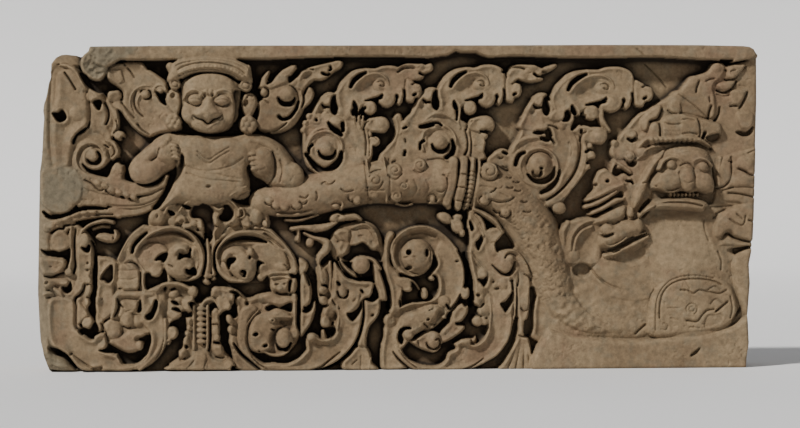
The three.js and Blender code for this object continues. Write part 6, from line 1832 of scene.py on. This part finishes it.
def waist_cloth():
    """The gathered cloth and leaf bits under the bird figure, between the rings"""
    area([(148, 214), (160, 205), (176, 203), (192, 198), (212, 197), (224, 195), (240, 204), (262, 206),
          (270, 220), (266, 231), (248, 231), (228, 237), (214, 246), (208, 246), (203, 240), (192, 232),
          (176, 227), (150, 228)], 24, 4, 0.4)
    lobes((157, 218, 9, 9, 36, 0), (181, 220, 5, 4, 36, 0), (193.5, 223.5, 4, 3.4, 38, 0),
          (200, 225.5, 3.8, 5, 38, 0), (215.5, 221, 3.8, 5.2, 38, 0), (233, 222, 6.4, 4.6, 36, 0),
          (246, 222, 4.6, 7.4, 35, 0), (256, 217, 6.4, 8, 38, 0), (265, 224, 3, 4, 35, -30),
          (172, 222, 5, 4, 32, 0), (186, 226, 5, 3, 32, 0))
    dimple(156.5, 216, 1, 2.6, 6)
    dimple(181.5, 221.5, 2.4, 2, 7)
    stroke([(164, 213), (168, 206.5), (174, 205)], [2, 2, 1.4], 34)
    stroke([(179, 211), (184, 204.5), (190, 201.5), (200, 200)], 1.8, [34, 38, 38, 36], full_form)
    stroke([(206, 205), (212, 198.5), (220, 196.5), (230, 200.5), (237, 208), (240, 215)], 1.9,
           [36, 39, 40, 39, 37, 34], full_form)
    stroke([(238, 216), (239, 209.5), (243, 209.5), (244, 216), (240, 218)], 1.3, 37)
    holes(0, [(193, 206), (200, 203), (208, 205), (213, 210), (212, 216), (214, 229), (211, 240),
              (206, 246), (204, 236), (203, 225), (200, 219), (192, 218), (190, 213)],
          [(222, 206), (228, 205), (233, 212), (232, 218), (227, 222), (221, 221), (218, 217),
           (222, 212)], [(181, 205), (186, 205), (191, 208), (186, 209)],
          [(167, 210), (173, 212), (174, 215), (169, 215)])
    stroke([(212, 206), (218, 210), (222, 208)], [2.4, 3, 2], 34, full_form)
    dimple(215, 226.5, 1.8, 1.4, 12)
    stroke([(217, 228), (213.5, 233), (214.5, 242)], [1.4, 1.6, 1.6], 33)
    dimple(197.5, 229.5, 1.8, 1.6, 12)
    groove([(222, 234), (226, 228), (231, 225)], 1.1, 6)
    groove([(240, 226), (248, 228), (256, 226)], 1.2, 5)
    dimple(231, 223.6, 1.6, 1, 7)


def lower_register():
    """Everything below the serpent's body, from the left edge to the plain broken part"""
    left_curl()
    left_stem()
    first_bands()
    first_ring()
    waist_cloth()
    second_ring()
    ring_leaves()
    beaded_column()
    second_bands()
    left_rider()
    third_ring()
    middle_stem()
    middle_rider()
    middle_branch()
    great_volute()
    creature()
    right_bands()
    fourth_ring()
    foot_pendant()


def carve():
    """The whole face, from its borders up to what stands proudest"""
    plain_borders()
    left_edge()
    lower_register()
    upper_left_leaves()
    top_left_fracture()
    left_scroll()
    tail_bands()
    upper_scroll()
    serpent_body()
    serpent_heads()
    bird_figure()


# The mesh of the carved face: its points across and down, and the strips it is built in
POINTS_ACROSS, POINTS_DOWN = 911, 415
STRIPS = 5
# The sunk ground, the back and the top, in metres
GROUND = -0.045
BACK = BLOCK_HIGH.y
TOP_HEIGHT = BLOCK_HIGH.z
# The block's arrises are worn back over so many squares, by so many mm
ARRIS_REACH = 2.6
ARRIS_DROP = 3.2
# How far the mesh is drawn in behind the ends and behind the upper and lower edges, in squares
BREAK_REACH = 120.0
TOP_REACH = 60.0

# The block's outline as the break, the chips and the sawn edges leave it, in squares
LEFT_EDGE = [(44, 50.5), (64, 50), (72, 48), (85, 46.5), (95, 45), (103, 43), (110, 42), (118, 43),
             (128, 42), (150, 41), (160, 40), (170, 38.5), (180, 38), (223, 37), (250, 36.5), (290, 35.5),
             (340, 37.5), (352, 38.5), (365, 42), (376, 47)]
RIGHT_EDGE = [(44, 759), (60, 759), (100, 759), (165, 757), (200, 756), (240, 754), (250, 753), (264, 750),
              (283, 751), (320, 748), (347, 749), (364, 746.5), (376, 746)]
TOP_EDGE = [(33, 66), (50, 64), (55, 57), (60, 54), (65, 53.5), (75, 54.5), (80, 56), (87, 52),
            (90, 46.5), (110, 46.2), (200, 45.5), (400, 45.3), (500, 45.2), (600, 44.8), (700, 45),
            (745, 46), (751, 46.8), (755, 49), (758, 54), (762, 58)]
UNDERSIDE_LEFT = [(33, 352), (38, 360), (43, 367), (50, 374)]


def read(edge, at):
    """The second coordinate of an edge, which is a list of pairs, where its first coordinate is as given"""
    table = np.asarray(edge, float)
    return np.interp(at, table[:, 0], table[:, 1])


def closing(u):
    """The size of a square at the sheet's middle over its size at a column"""
    return 1 - SHEET_CLOSING * (u - SHEET_MIDDLE)


def metres(u, v):
    """Where a square of the sheet lies in the frame, in metres across and up"""
    return SQUARE * (u - SHEET_MIDDLE) / closing(u), TOP_HEIGHT - SQUARE * (v - SHEET_TOP) / closing(u)


def underside(u):
    """The row of the sheet on which the underside lies"""
    return SHEET_TOP + TOP_HEIGHT / SQUARE * closing(u)


def set_out(columns, rows):
    """The squares of a grid's points, drawn in so that its border follows the block's outline"""
    s, t = np.meshgrid(np.linspace(0, 1, columns), np.linspace(0, 1, rows))
    v = TOP + (FOOT - TOP) * t
    left, right = read(LEFT_EDGE, v), read(RIGHT_EDGE, v)
    even = left.min() + (right.max() - left.min()) * s
    pull = np.clip(1 - (even - left.min()) / BREAK_REACH, 0, 1)
    push = np.clip(1 - (right.max() - even) / BREAK_REACH, 0, 1)
    u = even + (left - left.min()) * pull - (right.max() - right) * push
    broken = np.where(u < UNDERSIDE_LEFT[-1][0], read(UNDERSIDE_LEFT, u), np.inf)
    top, foot = read(TOP_EDGE, u), np.minimum(underside(u), broken)
    from_top = np.clip(1 - (v - TOP) / TOP_REACH, 0, 1)
    from_foot = np.clip(1 - (FOOT - v) / TOP_REACH, 0, 1)
    return u, v + (top - TOP) * from_top - (FOOT - foot) * from_foot


def blurred(field, cells):
    """A field averaged over a square window three times, which is close to a soft round blur"""
    for _ in range(3):
        for axis in (0, 1):
            pad = [(0, 0), (0, 0)]
            pad[axis] = (cells + 1, cells)
            total = np.cumsum(np.pad(field, pad, mode="edge"), axis=axis)
            size = 2 * cells + 1
            if axis == 0:
                field = (total[size:] - total[:-size]) / size
            else:
                field = (total[:, size:] - total[:, :-size]) / size
    return field


# Where the broad leaves and scrolls are hollowed between their rims, in squares
LEAVES = [[(300, 58), (420, 56), (560, 58), (650, 60), (655, 120), (610, 170), (565, 205), (520, 165),
           (470, 152), (380, 152), (300, 168)],
          [(48, 216), (120, 214), (300, 214), (420, 222), (520, 226), (548, 300), (556, 374), (48, 374)],
          [(50, 58), (160, 60), (166, 130), (120, 160), (50, 165)]]
# How deep they are hollowed, the least height of a leaf, and the least height of a ball, in mm
LEAF_HOLLOW = 5.5
LEAF_HEIGHT = 20
BALL_HEIGHT = 41
# A hollow starts where so much of the surroundings is leaf
LEAF_SHARE = 0.72


def hollow_leaves():
    """The broad leaves and scrolls are dished a little, which leaves a rim round them. Balls stay round."""
    within = blurred((relief > LEAF_HEIGHT).astype(float), 7)
    here = np.zeros(relief.shape)
    for points in LEAVES:
        here = np.maximum(here, inside(points, across[None, :], down[:, None]))
    here = blurred(here, 12)
    low = np.clip((BALL_HEIGHT - relief) / 4, 0, 1)
    relief[:] -= LEAF_HOLLOW * here * low * np.clip((within - LEAF_SHARE) / (1 - LEAF_SHARE), 0, 1) ** 2


# The weather takes off a share of what stands proud, up to so many mm, and blends what is left a little
PROUD_SHARE = 0.4
PROUD_MOST = 4
BLEND_SHARE = 0.4
# How uneven it leaves the face: the lumps' size in squares, a seed for their places, and their height in mm
UNEVENNESS = [(26, 1, 0.9), (8, 2, 0.9), (3, 3, 0.5), (1.3, 4, 0.35)]
PIT_DEPTH = 1.4


def weather():
    """Centuries of weather: arrises rounded off, faces gently uneven, and small pits"""
    relief[:] -= PROUD_SHARE * np.clip(relief - blurred(relief, 2), 0, PROUD_MOST)
    relief[:] = (1 - BLEND_SHARE) * relief + BLEND_SHARE * blurred(relief, 1)
    for size, seed, height in UNEVENNESS:
        relief[:] += height * (grain(size, seed) - 0.5)
    pits = np.clip(grain(2.2, 5) + 0.35 * grain(30, 6) - 1.05, 0, 1) * 9
    relief[:] -= np.minimum(pits, PIT_DEPTH)


def sample(field, u, v):
    """The field's values at places between its cells"""
    x = np.clip((u - LEFT) / CELL, 0, len(across) - SHORT_OF_LAST)
    y = np.clip((v - TOP) / CELL, 0, len(down) - SHORT_OF_LAST)
    i, j = y.astype(int), x.astype(int)
    a, b = y - i, x - j
    upper = field[i, j] * (1 - b) + field[i, j + 1] * b
    lower = field[i + 1, j] * (1 - b) + field[i + 1, j + 1] * b
    return upper * (1 - a) + lower * a


def face_points():
    """The carved face as a grid: the squares of its points, and the points in metres"""
    u, v = set_out(POINTS_ACROSS, POINTS_DOWN)
    high = sample(relief, u, v)
    x, z = metres(u, v)
    left, right = read(LEFT_EDGE, v), read(RIGHT_EDGE, v)
    near = np.minimum(np.minimum(u - left, right - u), np.minimum(v - read(TOP_EDGE, u), underside(u) - v))
    worn = np.clip(1 - near / ARRIS_REACH, 0, 1)
    high = high - ARRIS_DROP * worn * worn
    z = np.clip(z, 0, None)
    return u, v, np.dstack([x, GROUND - high / 1000, z])


def add_piece(name, points, faces, normals=None):
    """A mesh object that stands for the solid and rides with the block"""
    mesh = bpy.data.meshes.new(name)
    mesh.vertices.add(len(points))
    mesh.vertices.foreach_set("co", np.asarray(points, np.float32).ravel())
    mesh.loops.add(faces.size)
    mesh.loops.foreach_set("vertex_index", faces.astype(np.int32).ravel())
    mesh.polygons.add(len(faces))
    mesh.polygons.foreach_set("loop_start", np.arange(0, faces.size, faces.shape[1], dtype=np.int32))
    mesh.polygons.foreach_set("loop_total", np.full(len(faces), faces.shape[1], np.int32))
    mesh.update(calc_edges=True)
    mesh.polygons.foreach_set("use_smooth", np.ones(len(faces), bool))
    if normals is not None:
        mesh.normals_split_custom_set_from_vertices(normals.tolist())
    piece = bpy.data.objects.new(name, mesh)
    bpy.context.scene.collection.objects.link(piece)
    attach(piece, "root")
    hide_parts("lintel")
    return piece


def add_values(mesh, name, values):
    """One value at each point, for the material"""
    layer = mesh.attributes.new(name, "FLOAT", "POINT")
    layer.data.foreach_set("value", np.asarray(values, np.float32).ravel())


def quads(rows, cols):
    """The faces of a grid of points, seen from the front"""
    first = (np.arange(rows - 1)[:, None] * cols + np.arange(cols - 1)[None, :]).ravel()
    return np.column_stack([first, first + cols, first + cols + 1, first + 1])


def grid_normals(points):
    """A direction at each point of a grid, square to its face and towards the front"""
    along_rows = np.gradient(points, axis=1)
    along_cols = np.gradient(points, axis=0)
    n = np.cross(along_cols, along_rows)
    return n / np.maximum(np.linalg.norm(n, axis=2, keepdims=True), 1e-12)


def carved_face():
    """The face in strips that meet on shared points"""
    u, v, points = face_points()
    normals = grid_normals(points)
    dirt_and_shade, light, grey = stains_and_painted_light(u, v)
    ends = np.linspace(0, POINTS_ACROSS - 1, STRIPS + 1).astype(int)
    pieces = []
    for number, (start, end) in enumerate(zip(ends[:-1], ends[1:]), 1):
        part = np.s_[:, start:end + 1]
        faces = quads(POINTS_DOWN, end + 1 - start)
        piece = add_piece(f"carved_face_{number}", points[part].reshape(-1, 3), faces,
                          normals[part].reshape(-1, 3))
        # Dirt with painted shade in the hollows, rubs with a painted highlight, and grey stone, for the
        # material
        for value, field in (("dirt_and_shade", dirt_and_shade), ("light", light), ("grey", grey)):
            add_values(piece.data, value, field[part])
        flat_map(piece.data)
        pieces.append(piece)
    return pieces, points


def flat_map(mesh):
    """A map straight onto the face, so that its texture has no seams"""
    layer = mesh.uv_layers.new(name="OFBake")
    co = np.zeros(len(mesh.vertices) * 3, np.float32)
    mesh.vertices.foreach_get("co", co)
    co = co.reshape(-1, 3)[:, [0, 2]]
    low, high = co.min(0), co.max(0)
    places = (co - low) / (high - low).max() * 0.98 + 0.01
    corner = np.zeros(len(mesh.loops), np.int32)
    mesh.loops.foreach_get("vertex_index", corner)
    layer.data.foreach_set("uv", places[corner].ravel())


# Where the stone is grey, in squares: the filled patch, the fracture at the top and the broken corner, and
# the column up to which the left end is worn
GREY_PLACES = [[(37, 165), (50, 168), (62, 166), (76, 169), (80, 180), (85, 190), (79, 200), (70, 204),
                (66, 213), (56, 215), (46, 211), (37, 205)],
               [(78, 64), (86, 46), (118, 44), (142, 50), (112, 64), (108, 72), (100, 80), (88, 78)],
               [(36, 352), (52, 353), (64, 361), (76, 372), (50, 377), (37, 364)]]
GREY_STRIP = 54
# The dirt and painted shade of the grounds grow weaker towards the lower right, from this square on, over a
# reach of so many squares
LESS_DIRT_AND_SHADE_FROM = (455, 75)
LESS_DIRT_AND_SHADE_REACH = 70
LESS_DIRT_AND_SHADE_SHARE = 0.5
# Fresh pale rubs, and a painted highlight on the upper breast plate where it faces up to the light
PALE_RUBS_AND_HIGHLIGHT = [[(434, 163), (441, 162), (442, 190), (438, 201), (431, 196), (432, 178)],
               [(548, 330), (556, 326), (560, 348), (552, 360), (544, 356)],
               [(656, 226), (682, 219), (702, 220), (712, 240), (720, 262), (700, 268), (666, 268),
                (652, 250)]]


def spread(places, u, v, soft):
    """How far each point lies within any of the places, from 0 outside to 1 past a soft border"""
    most = np.zeros(u.shape)
    for points in places:
        line = smooth(points, True)
        far = follow(line, u, v)[0] * np.where(inside(line[:-1], u, v), 1, -1)
        most = np.maximum(most, np.clip(far / soft + 0.5, 0, 1))
    return most


# How far round a point the dirt, the painted shade and the rubs look for what is higher or lower, in cells
NARROW, BROAD = 3, 14


def stains_and_painted_light(u, v):
    """How dark each point is with dirt and painted shade in the hollows and low grounds, how light, on the
    rubbed arrises and with a painted highlight on the breast plate, and how grey
    """
    fine = blurred(relief, NARROW) - relief
    broad = blurred(relief, BROAD) - relief
    # Darker in the hollows between the forms: partly dirt, partly painted shade where shadow falls
    hollow_dirt_and_shade = np.clip(fine / 8, 0, 1) * 0.35 + np.clip((broad - 3) / 10, 0, 1) * 0.75
    # Darker on the low grounds: painted shade of the deep recesses, with their dirt
    deep = np.clip((12 - relief) / 16, 0, 1) * 0.2
    rubbed = np.clip(-fine / 3.5, 0, 1) * 0.7 + np.clip(-broad / 16, 0, 1) * 0.3
    uneven = sample(grain(7, 12), u, v) + 0.5 * sample(grain(2.5, 13), u, v) - 0.75
    strip = 0.7 * np.clip((GREY_STRIP - u + 14 * uneven) / 6, 0, 1)
    grey = np.maximum(strip, np.clip(spread(GREY_PLACES, u, v, 7) + 0.9 * uneven, 0, 1))
    # Paler on the rubbed arrises, and a painted highlight where the breast plate faces up to the light
    light = np.maximum(sample(np.clip(rubbed, 0, 1), u, v), 1.3 * spread(PALE_RUBS_AND_HIGHLIGHT, u, v, 5))
    # Less dirt and painted shade towards the lower right
    less_dirt_and_shade = LESS_DIRT_AND_SHADE_SHARE * np.clip((u - LESS_DIRT_AND_SHADE_FROM[0]) / LESS_DIRT_AND_SHADE_REACH, 0, 1) * np.clip(
        (v - LESS_DIRT_AND_SHADE_FROM[1]) / LESS_DIRT_AND_SHADE_REACH, 0, 1)
    return sample(np.clip(hollow_dirt_and_shade + deep, 0, 1), u, v) * (1 - less_dirt_and_shade), light, grey


# The block's sides: their steps from the face to the back, their roughness in metres and its lumps in points
SIDE_STEPS = 14
SIDE_ROUGHNESS = 0.0016
SIDE_LUMP = 7


def sides(points):
    """The top, the two ends and the underside, dressed plainly, from the face's border to the back"""
    border = np.concatenate([points[0, ::2], points[1::2, -1], points[-1, ::-2][1:], points[::-2, 0][1:-1]])
    count = len(border)
    rng = np.random.default_rng(7)
    share = np.linspace(0, 1, SIDE_STEPS + 1)
    middle = border[:, [0, 2]].mean(0)
    outward = border[:, [0, 2]] - np.roll(border[:, [0, 2]], 4, axis=0)
    outward = np.column_stack([outward[:, 1], -outward[:, 0]])
    outward /= np.maximum(np.linalg.norm(outward, axis=1, keepdims=True), 1e-9)
    facing = np.sign((outward * (border[:, [0, 2]] - middle)).sum(1))
    outward *= facing[:, None]
    rings = []
    for step, t in enumerate(share):
        ring = border.copy()
        ring[:, 1] = border[:, 1] * (1 - t) + BACK * t
        rough = rng.normal(0, 1, count)
        lapped = np.concatenate([rough[1 - SIDE_LUMP:], rough, rough[:SIDE_LUMP - 1]])
        even = np.convolve(lapped, np.ones(SIDE_LUMP) / SIDE_LUMP, "same")
        rough = even[SIDE_LUMP - 1:1 - SIDE_LUMP]
        reach = SIDE_ROUGHNESS * rough * (0 < step < SIDE_STEPS)
        ring[:, 0] += outward[:, 0] * reach
        ring[:, 2] += np.abs(outward[:, 1]) * reach * (border[:, 2] > 0.01) * 0.6
        rings.append(ring)
    grid = np.array(rings)
    index = np.arange(count)
    after = np.roll(index, -1)
    faces = []
    for step in range(SIDE_STEPS):
        a, b = step * count, (step + 1) * count
        faces.append(np.column_stack([a + index, a + after, b + after, b + index]))
    return add_piece("block_sides", grid.reshape(-1, 3), np.vstack(faces))


# The back's points across and down, and its roughness in metres
BACK_ACROSS, BACK_DOWN = 181, 83
BACK_ROUGHNESS = 0.0012


def back_face():
    """The hidden back, left rough from the chisel"""
    u, v = set_out(BACK_ACROSS, BACK_DOWN)
    x, z = metres(u, v)
    rng = np.random.default_rng(8)
    rough = rng.normal(0, BACK_ROUGHNESS, u.shape)
    rough = (rough + np.roll(rough, 1, 0) + np.roll(rough, 1, 1)) / 2
    rough[[0, -1]] = 0
    rough[:, [0, -1]] = 0
    points = np.dstack([x, BACK - np.abs(rough), np.clip(z, 0, None)])
    return add_piece("block_back", points.reshape(-1, 3), quads(BACK_DOWN, BACK_ACROSS)[:, ::-1])


# Stone colours
SAND = (0.157, 0.107, 0.060, 1)
PALE = (0.243, 0.178, 0.104, 1)
ROSY = (0.150, 0.088, 0.052, 1)
# Near black brown for the dirt and painted shade in the hollows
SOOT_AND_SHADE = (0.013, 0.009, 0.006, 1)
BROWN = (0.105, 0.066, 0.038, 1)
GREY = (0.150, 0.128, 0.086, 1)
# The patches laid over the sand colour: their colour, the scale, detail and roughness of their pattern, from
# which value to which they come in, and how strong they get
PATCHES = [(PALE, 4.5, 5, 0.55, 0.36, 0.66, 1),
           (ROSY, 9, 6, 0.55, 0.52, 0.72, 0.75),
           (BROWN, 16, 8, 0.65, 0.5, 0.75, 0.6)]


def mixed(tree, factor, first, second, mode="MIX"):
    """A colour between two others; each may be a plain colour or another node's colour"""
    node = tree.nodes.new("ShaderNodeMix")
    node.data_type = "RGBA"
    node.blend_type = mode
    for place, value in (("Factor", factor), (6, first), (7, second)):
        socket = node.inputs[place]
        if isinstance(value, bpy.types.NodeSocket):
            tree.links.new(value, socket)
        else:
            socket.default_value = value
    return node.outputs[2]


def noise(tree, place, scale, detail, roughness):
    """Soft random values from 0 to 1 in the stone"""
    node = tree.nodes.new("ShaderNodeTexNoise")
    node.inputs["Scale"].default_value = scale
    node.inputs["Detail"].default_value = detail
    node.inputs["Roughness"].default_value = roughness
    tree.links.new(place, node.inputs["Vector"])
    return node.outputs["Fac"]


def ramp(tree, value, start, end, low, high):
    """A value spread from one range to another and held at its ends"""
    node = tree.nodes.new("ShaderNodeMapRange")
    node.inputs["From Min"].default_value = start
    node.inputs["From Max"].default_value = end
    node.inputs["To Min"].default_value = low
    node.inputs["To Max"].default_value = high
    tree.links.new(value, node.inputs["Value"])
    return node.outputs["Result"]


def attribute(tree, name):
    """The values that the mesh's points carry under a name"""
    node = tree.nodes.new("ShaderNodeAttribute")
    node.attribute_name = name
    return node.outputs["Fac"]


def sandstone():
    """Brown sandstone: mottled, dark with dirt and painted shade in the hollows, rubbed paler on the arrises
    with a painted highlight on the breast plate, grained
    """
    material = bpy.data.materials.new("sandstone")
    material.use_nodes = True
    tree = material.node_tree
    shader = tree.nodes["Principled BSDF"]
    place = tree.nodes.new("ShaderNodeTexCoord").outputs["Object"]
    colour = SAND
    for tone, scale, detail, roughness, start, end, most in PATCHES:
        strength = ramp(tree, noise(tree, place, scale, detail, roughness), start, end, 0, most)
        colour = mixed(tree, strength, colour, tone)
    colour = mixed(tree, ramp(tree, attribute(tree, "grey"), 0, 1, 0, 0.85), colour, GREY)
    # Paler on the rubbed arrises, and a painted highlight on the upper breast plate
    colour = mixed(tree, ramp(tree, attribute(tree, "light"), 0, 1, 0, 0.6), colour, PALE)
    speckle = ramp(tree, noise(tree, place, 90, 8, 0.75), 0.3, 0.7, 0.66, 1.32)
    colour = mixed(tree, 1.0, colour, speckle, "MULTIPLY")
    # Near black in the hollows: dirt and painted shade
    colour = mixed(tree, ramp(tree, attribute(tree, "dirt_and_shade"), 0.08, 0.85, 0, 0.93), colour, SOOT_AND_SHADE)
    tree.links.new(colour, shader.inputs["Base Color"])
    shader.inputs["Roughness"].default_value = 0.88
    shader.inputs["Specular IOR Level"].default_value = 0.22
    bump = tree.nodes.new("ShaderNodeBump")
    bump.inputs["Strength"].default_value = 0.35
    bump.inputs["Distance"].default_value = 0.0012
    tree.links.new(noise(tree, place, 260, 6, 0.72), bump.inputs["Height"])
    tree.links.new(bump.outputs["Normal"], shader.inputs["Normal"])
    return material


# The camera stands level with the block's middle, a little to the left, and looks straight ahead. It leans a
# trifle, which brings the block's upper edge level in the picture. It stands at the height of the sheet's
# row SHEET_HALF_DOWN, and CAMERA_AWAY metres from FACE_PLANE, the depth where a square is a pixel.
CAMERA_AWAY = 5.0
CAMERA_TURN = np.radians(3.76)
CAMERA_LEAN = np.radians(0.23)
SHEET_HALF_DOWN = 206.5
FRAME_WIDTH = 800
FRAME_HEIGHT = 428
FACE_PLANE = -0.085
LENS_WIDTH = 36.0


def add_camera():
    """The camera at the photograph's viewing angle, with one pixel to a square of the sheet"""
    data = bpy.data.cameras.new("camera")
    data.sensor_width = LENS_WIDTH
    data.lens = LENS_WIDTH * CAMERA_AWAY / (SQUARE * FRAME_WIDTH)
    data.shift_x = (FRAME_WIDTH / 2 - SHEET_MIDDLE) / FRAME_WIDTH
    data.shift_y = -(FRAME_HEIGHT / 2 - SHEET_HALF_DOWN) / FRAME_WIDTH
    camera = bpy.data.objects.new("camera", data)
    camera.location = (-CAMERA_AWAY * np.sin(CAMERA_TURN), FACE_PLANE - CAMERA_AWAY * np.cos(CAMERA_TURN),
                       TOP_HEIGHT - SQUARE * (SHEET_HALF_DOWN - SHEET_TOP))
    camera.rotation_euler = (np.pi / 2, CAMERA_LEAN, -CAMERA_TURN)
    bpy.context.scene.collection.objects.link(camera)
    bpy.context.scene.camera = camera


BLOCK_MIDDLE = Vector((0, 0, 0.3))
# Daylight colours, from warm to cool
WARM, WHITE, COOL = (1.0, 0.98, 0.95), (1.0, 1.0, 1.0), (0.9, 0.93, 1.0)
# The lamps: their places in metres, their strengths, and their widths, in degrees for the key, a sun, and in
# metres for the fill
KEY_PLACE, KEY_STRENGTH, KEY_WIDTH = (-2.7, -2.4, 3.2), 4.25, 6
FILL_PLACE, FILL_STRENGTH, FILL_WIDTH = (2.8, -3.6, 1.4), 10, 2.6
SKY_STRENGTH = 0.19


def add_light(kind, name, place, strength, colour):
    """A lamp at a place in metres that shines at the block's middle"""
    data = bpy.data.lights.new(name, kind)
    data.energy = strength
    data.color = colour
    light = bpy.data.objects.new(name, data)
    light.location = place
    light.rotation_euler = (BLOCK_MIDDLE - Vector(place)).to_track_quat("-Z", "Y").to_euler()
    bpy.context.scene.collection.objects.link(light)
    return data


# The floor runs up into a wall far behind the block, so that the block can be seen from all round
FLOOR_GREY = (0.80, 0.80, 0.80, 1)
FLOOR_FRONT, FLOOR_REAR, SWEEP_RADIUS = -16.0, 7.0, 1.5
WALL_HEIGHT = 9.0
SWEEP_HALF = 16.0


def add_studio():
    """A pale floor and wall, an even light from the upper left, and a weak fill"""
    bends = np.radians(np.arange(10, 91, 10))
    profile = [(FLOOR_FRONT, 0.0), (FLOOR_REAR, 0.0)]
    profile += [(FLOOR_REAR + SWEEP_RADIUS * np.sin(a), SWEEP_RADIUS * (1 - np.cos(a))) for a in bends]
    profile += [(FLOOR_REAR + SWEEP_RADIUS, WALL_HEIGHT)]
    mesh = bpy.data.meshes.new("studio_sweep")
    points = [(x, y, z) for x in (-SWEEP_HALF, SWEEP_HALF) for y, z in profile]
    count = len(profile)
    mesh.from_pydata(points, [], [(i, i + 1, i + 1 + count, i + count) for i in range(count - 1)])
    mesh.polygons.foreach_set("use_smooth", np.ones(count - 1, bool))
    sweep = bpy.data.objects.new("studio_sweep", mesh)
    bpy.context.scene.collection.objects.link(sweep)
    material = bpy.data.materials.new("pale_paper")
    material.use_nodes = True
    shader = material.node_tree.nodes["Principled BSDF"]
    shader.inputs["Base Color"].default_value = FLOOR_GREY
    shader.inputs["Roughness"].default_value = 0.9
    mesh.materials.append(material)
    key = add_light("SUN", "key", KEY_PLACE, KEY_STRENGTH, WARM)
    key.angle = np.radians(KEY_WIDTH)
    fill = add_light("AREA", "fill", FILL_PLACE, FILL_STRENGTH, WHITE)
    fill.size = FILL_WIDTH
    world = bpy.data.worlds.new("studio")
    world.use_nodes = True
    sky = world.node_tree.nodes["Background"]
    sky.inputs["Color"].default_value = (*COOL, 1)
    sky.inputs["Strength"].default_value = SKY_STRENGTH
    bpy.context.scene.world = world


carve()
hollow_leaves()
weather()
stone = sandstone()
face_pieces, face_grid = carved_face()
for piece in face_pieces + [sides(face_grid), back_face()]:
    piece.data.materials.append(stone)
add_camera()
add_studio()
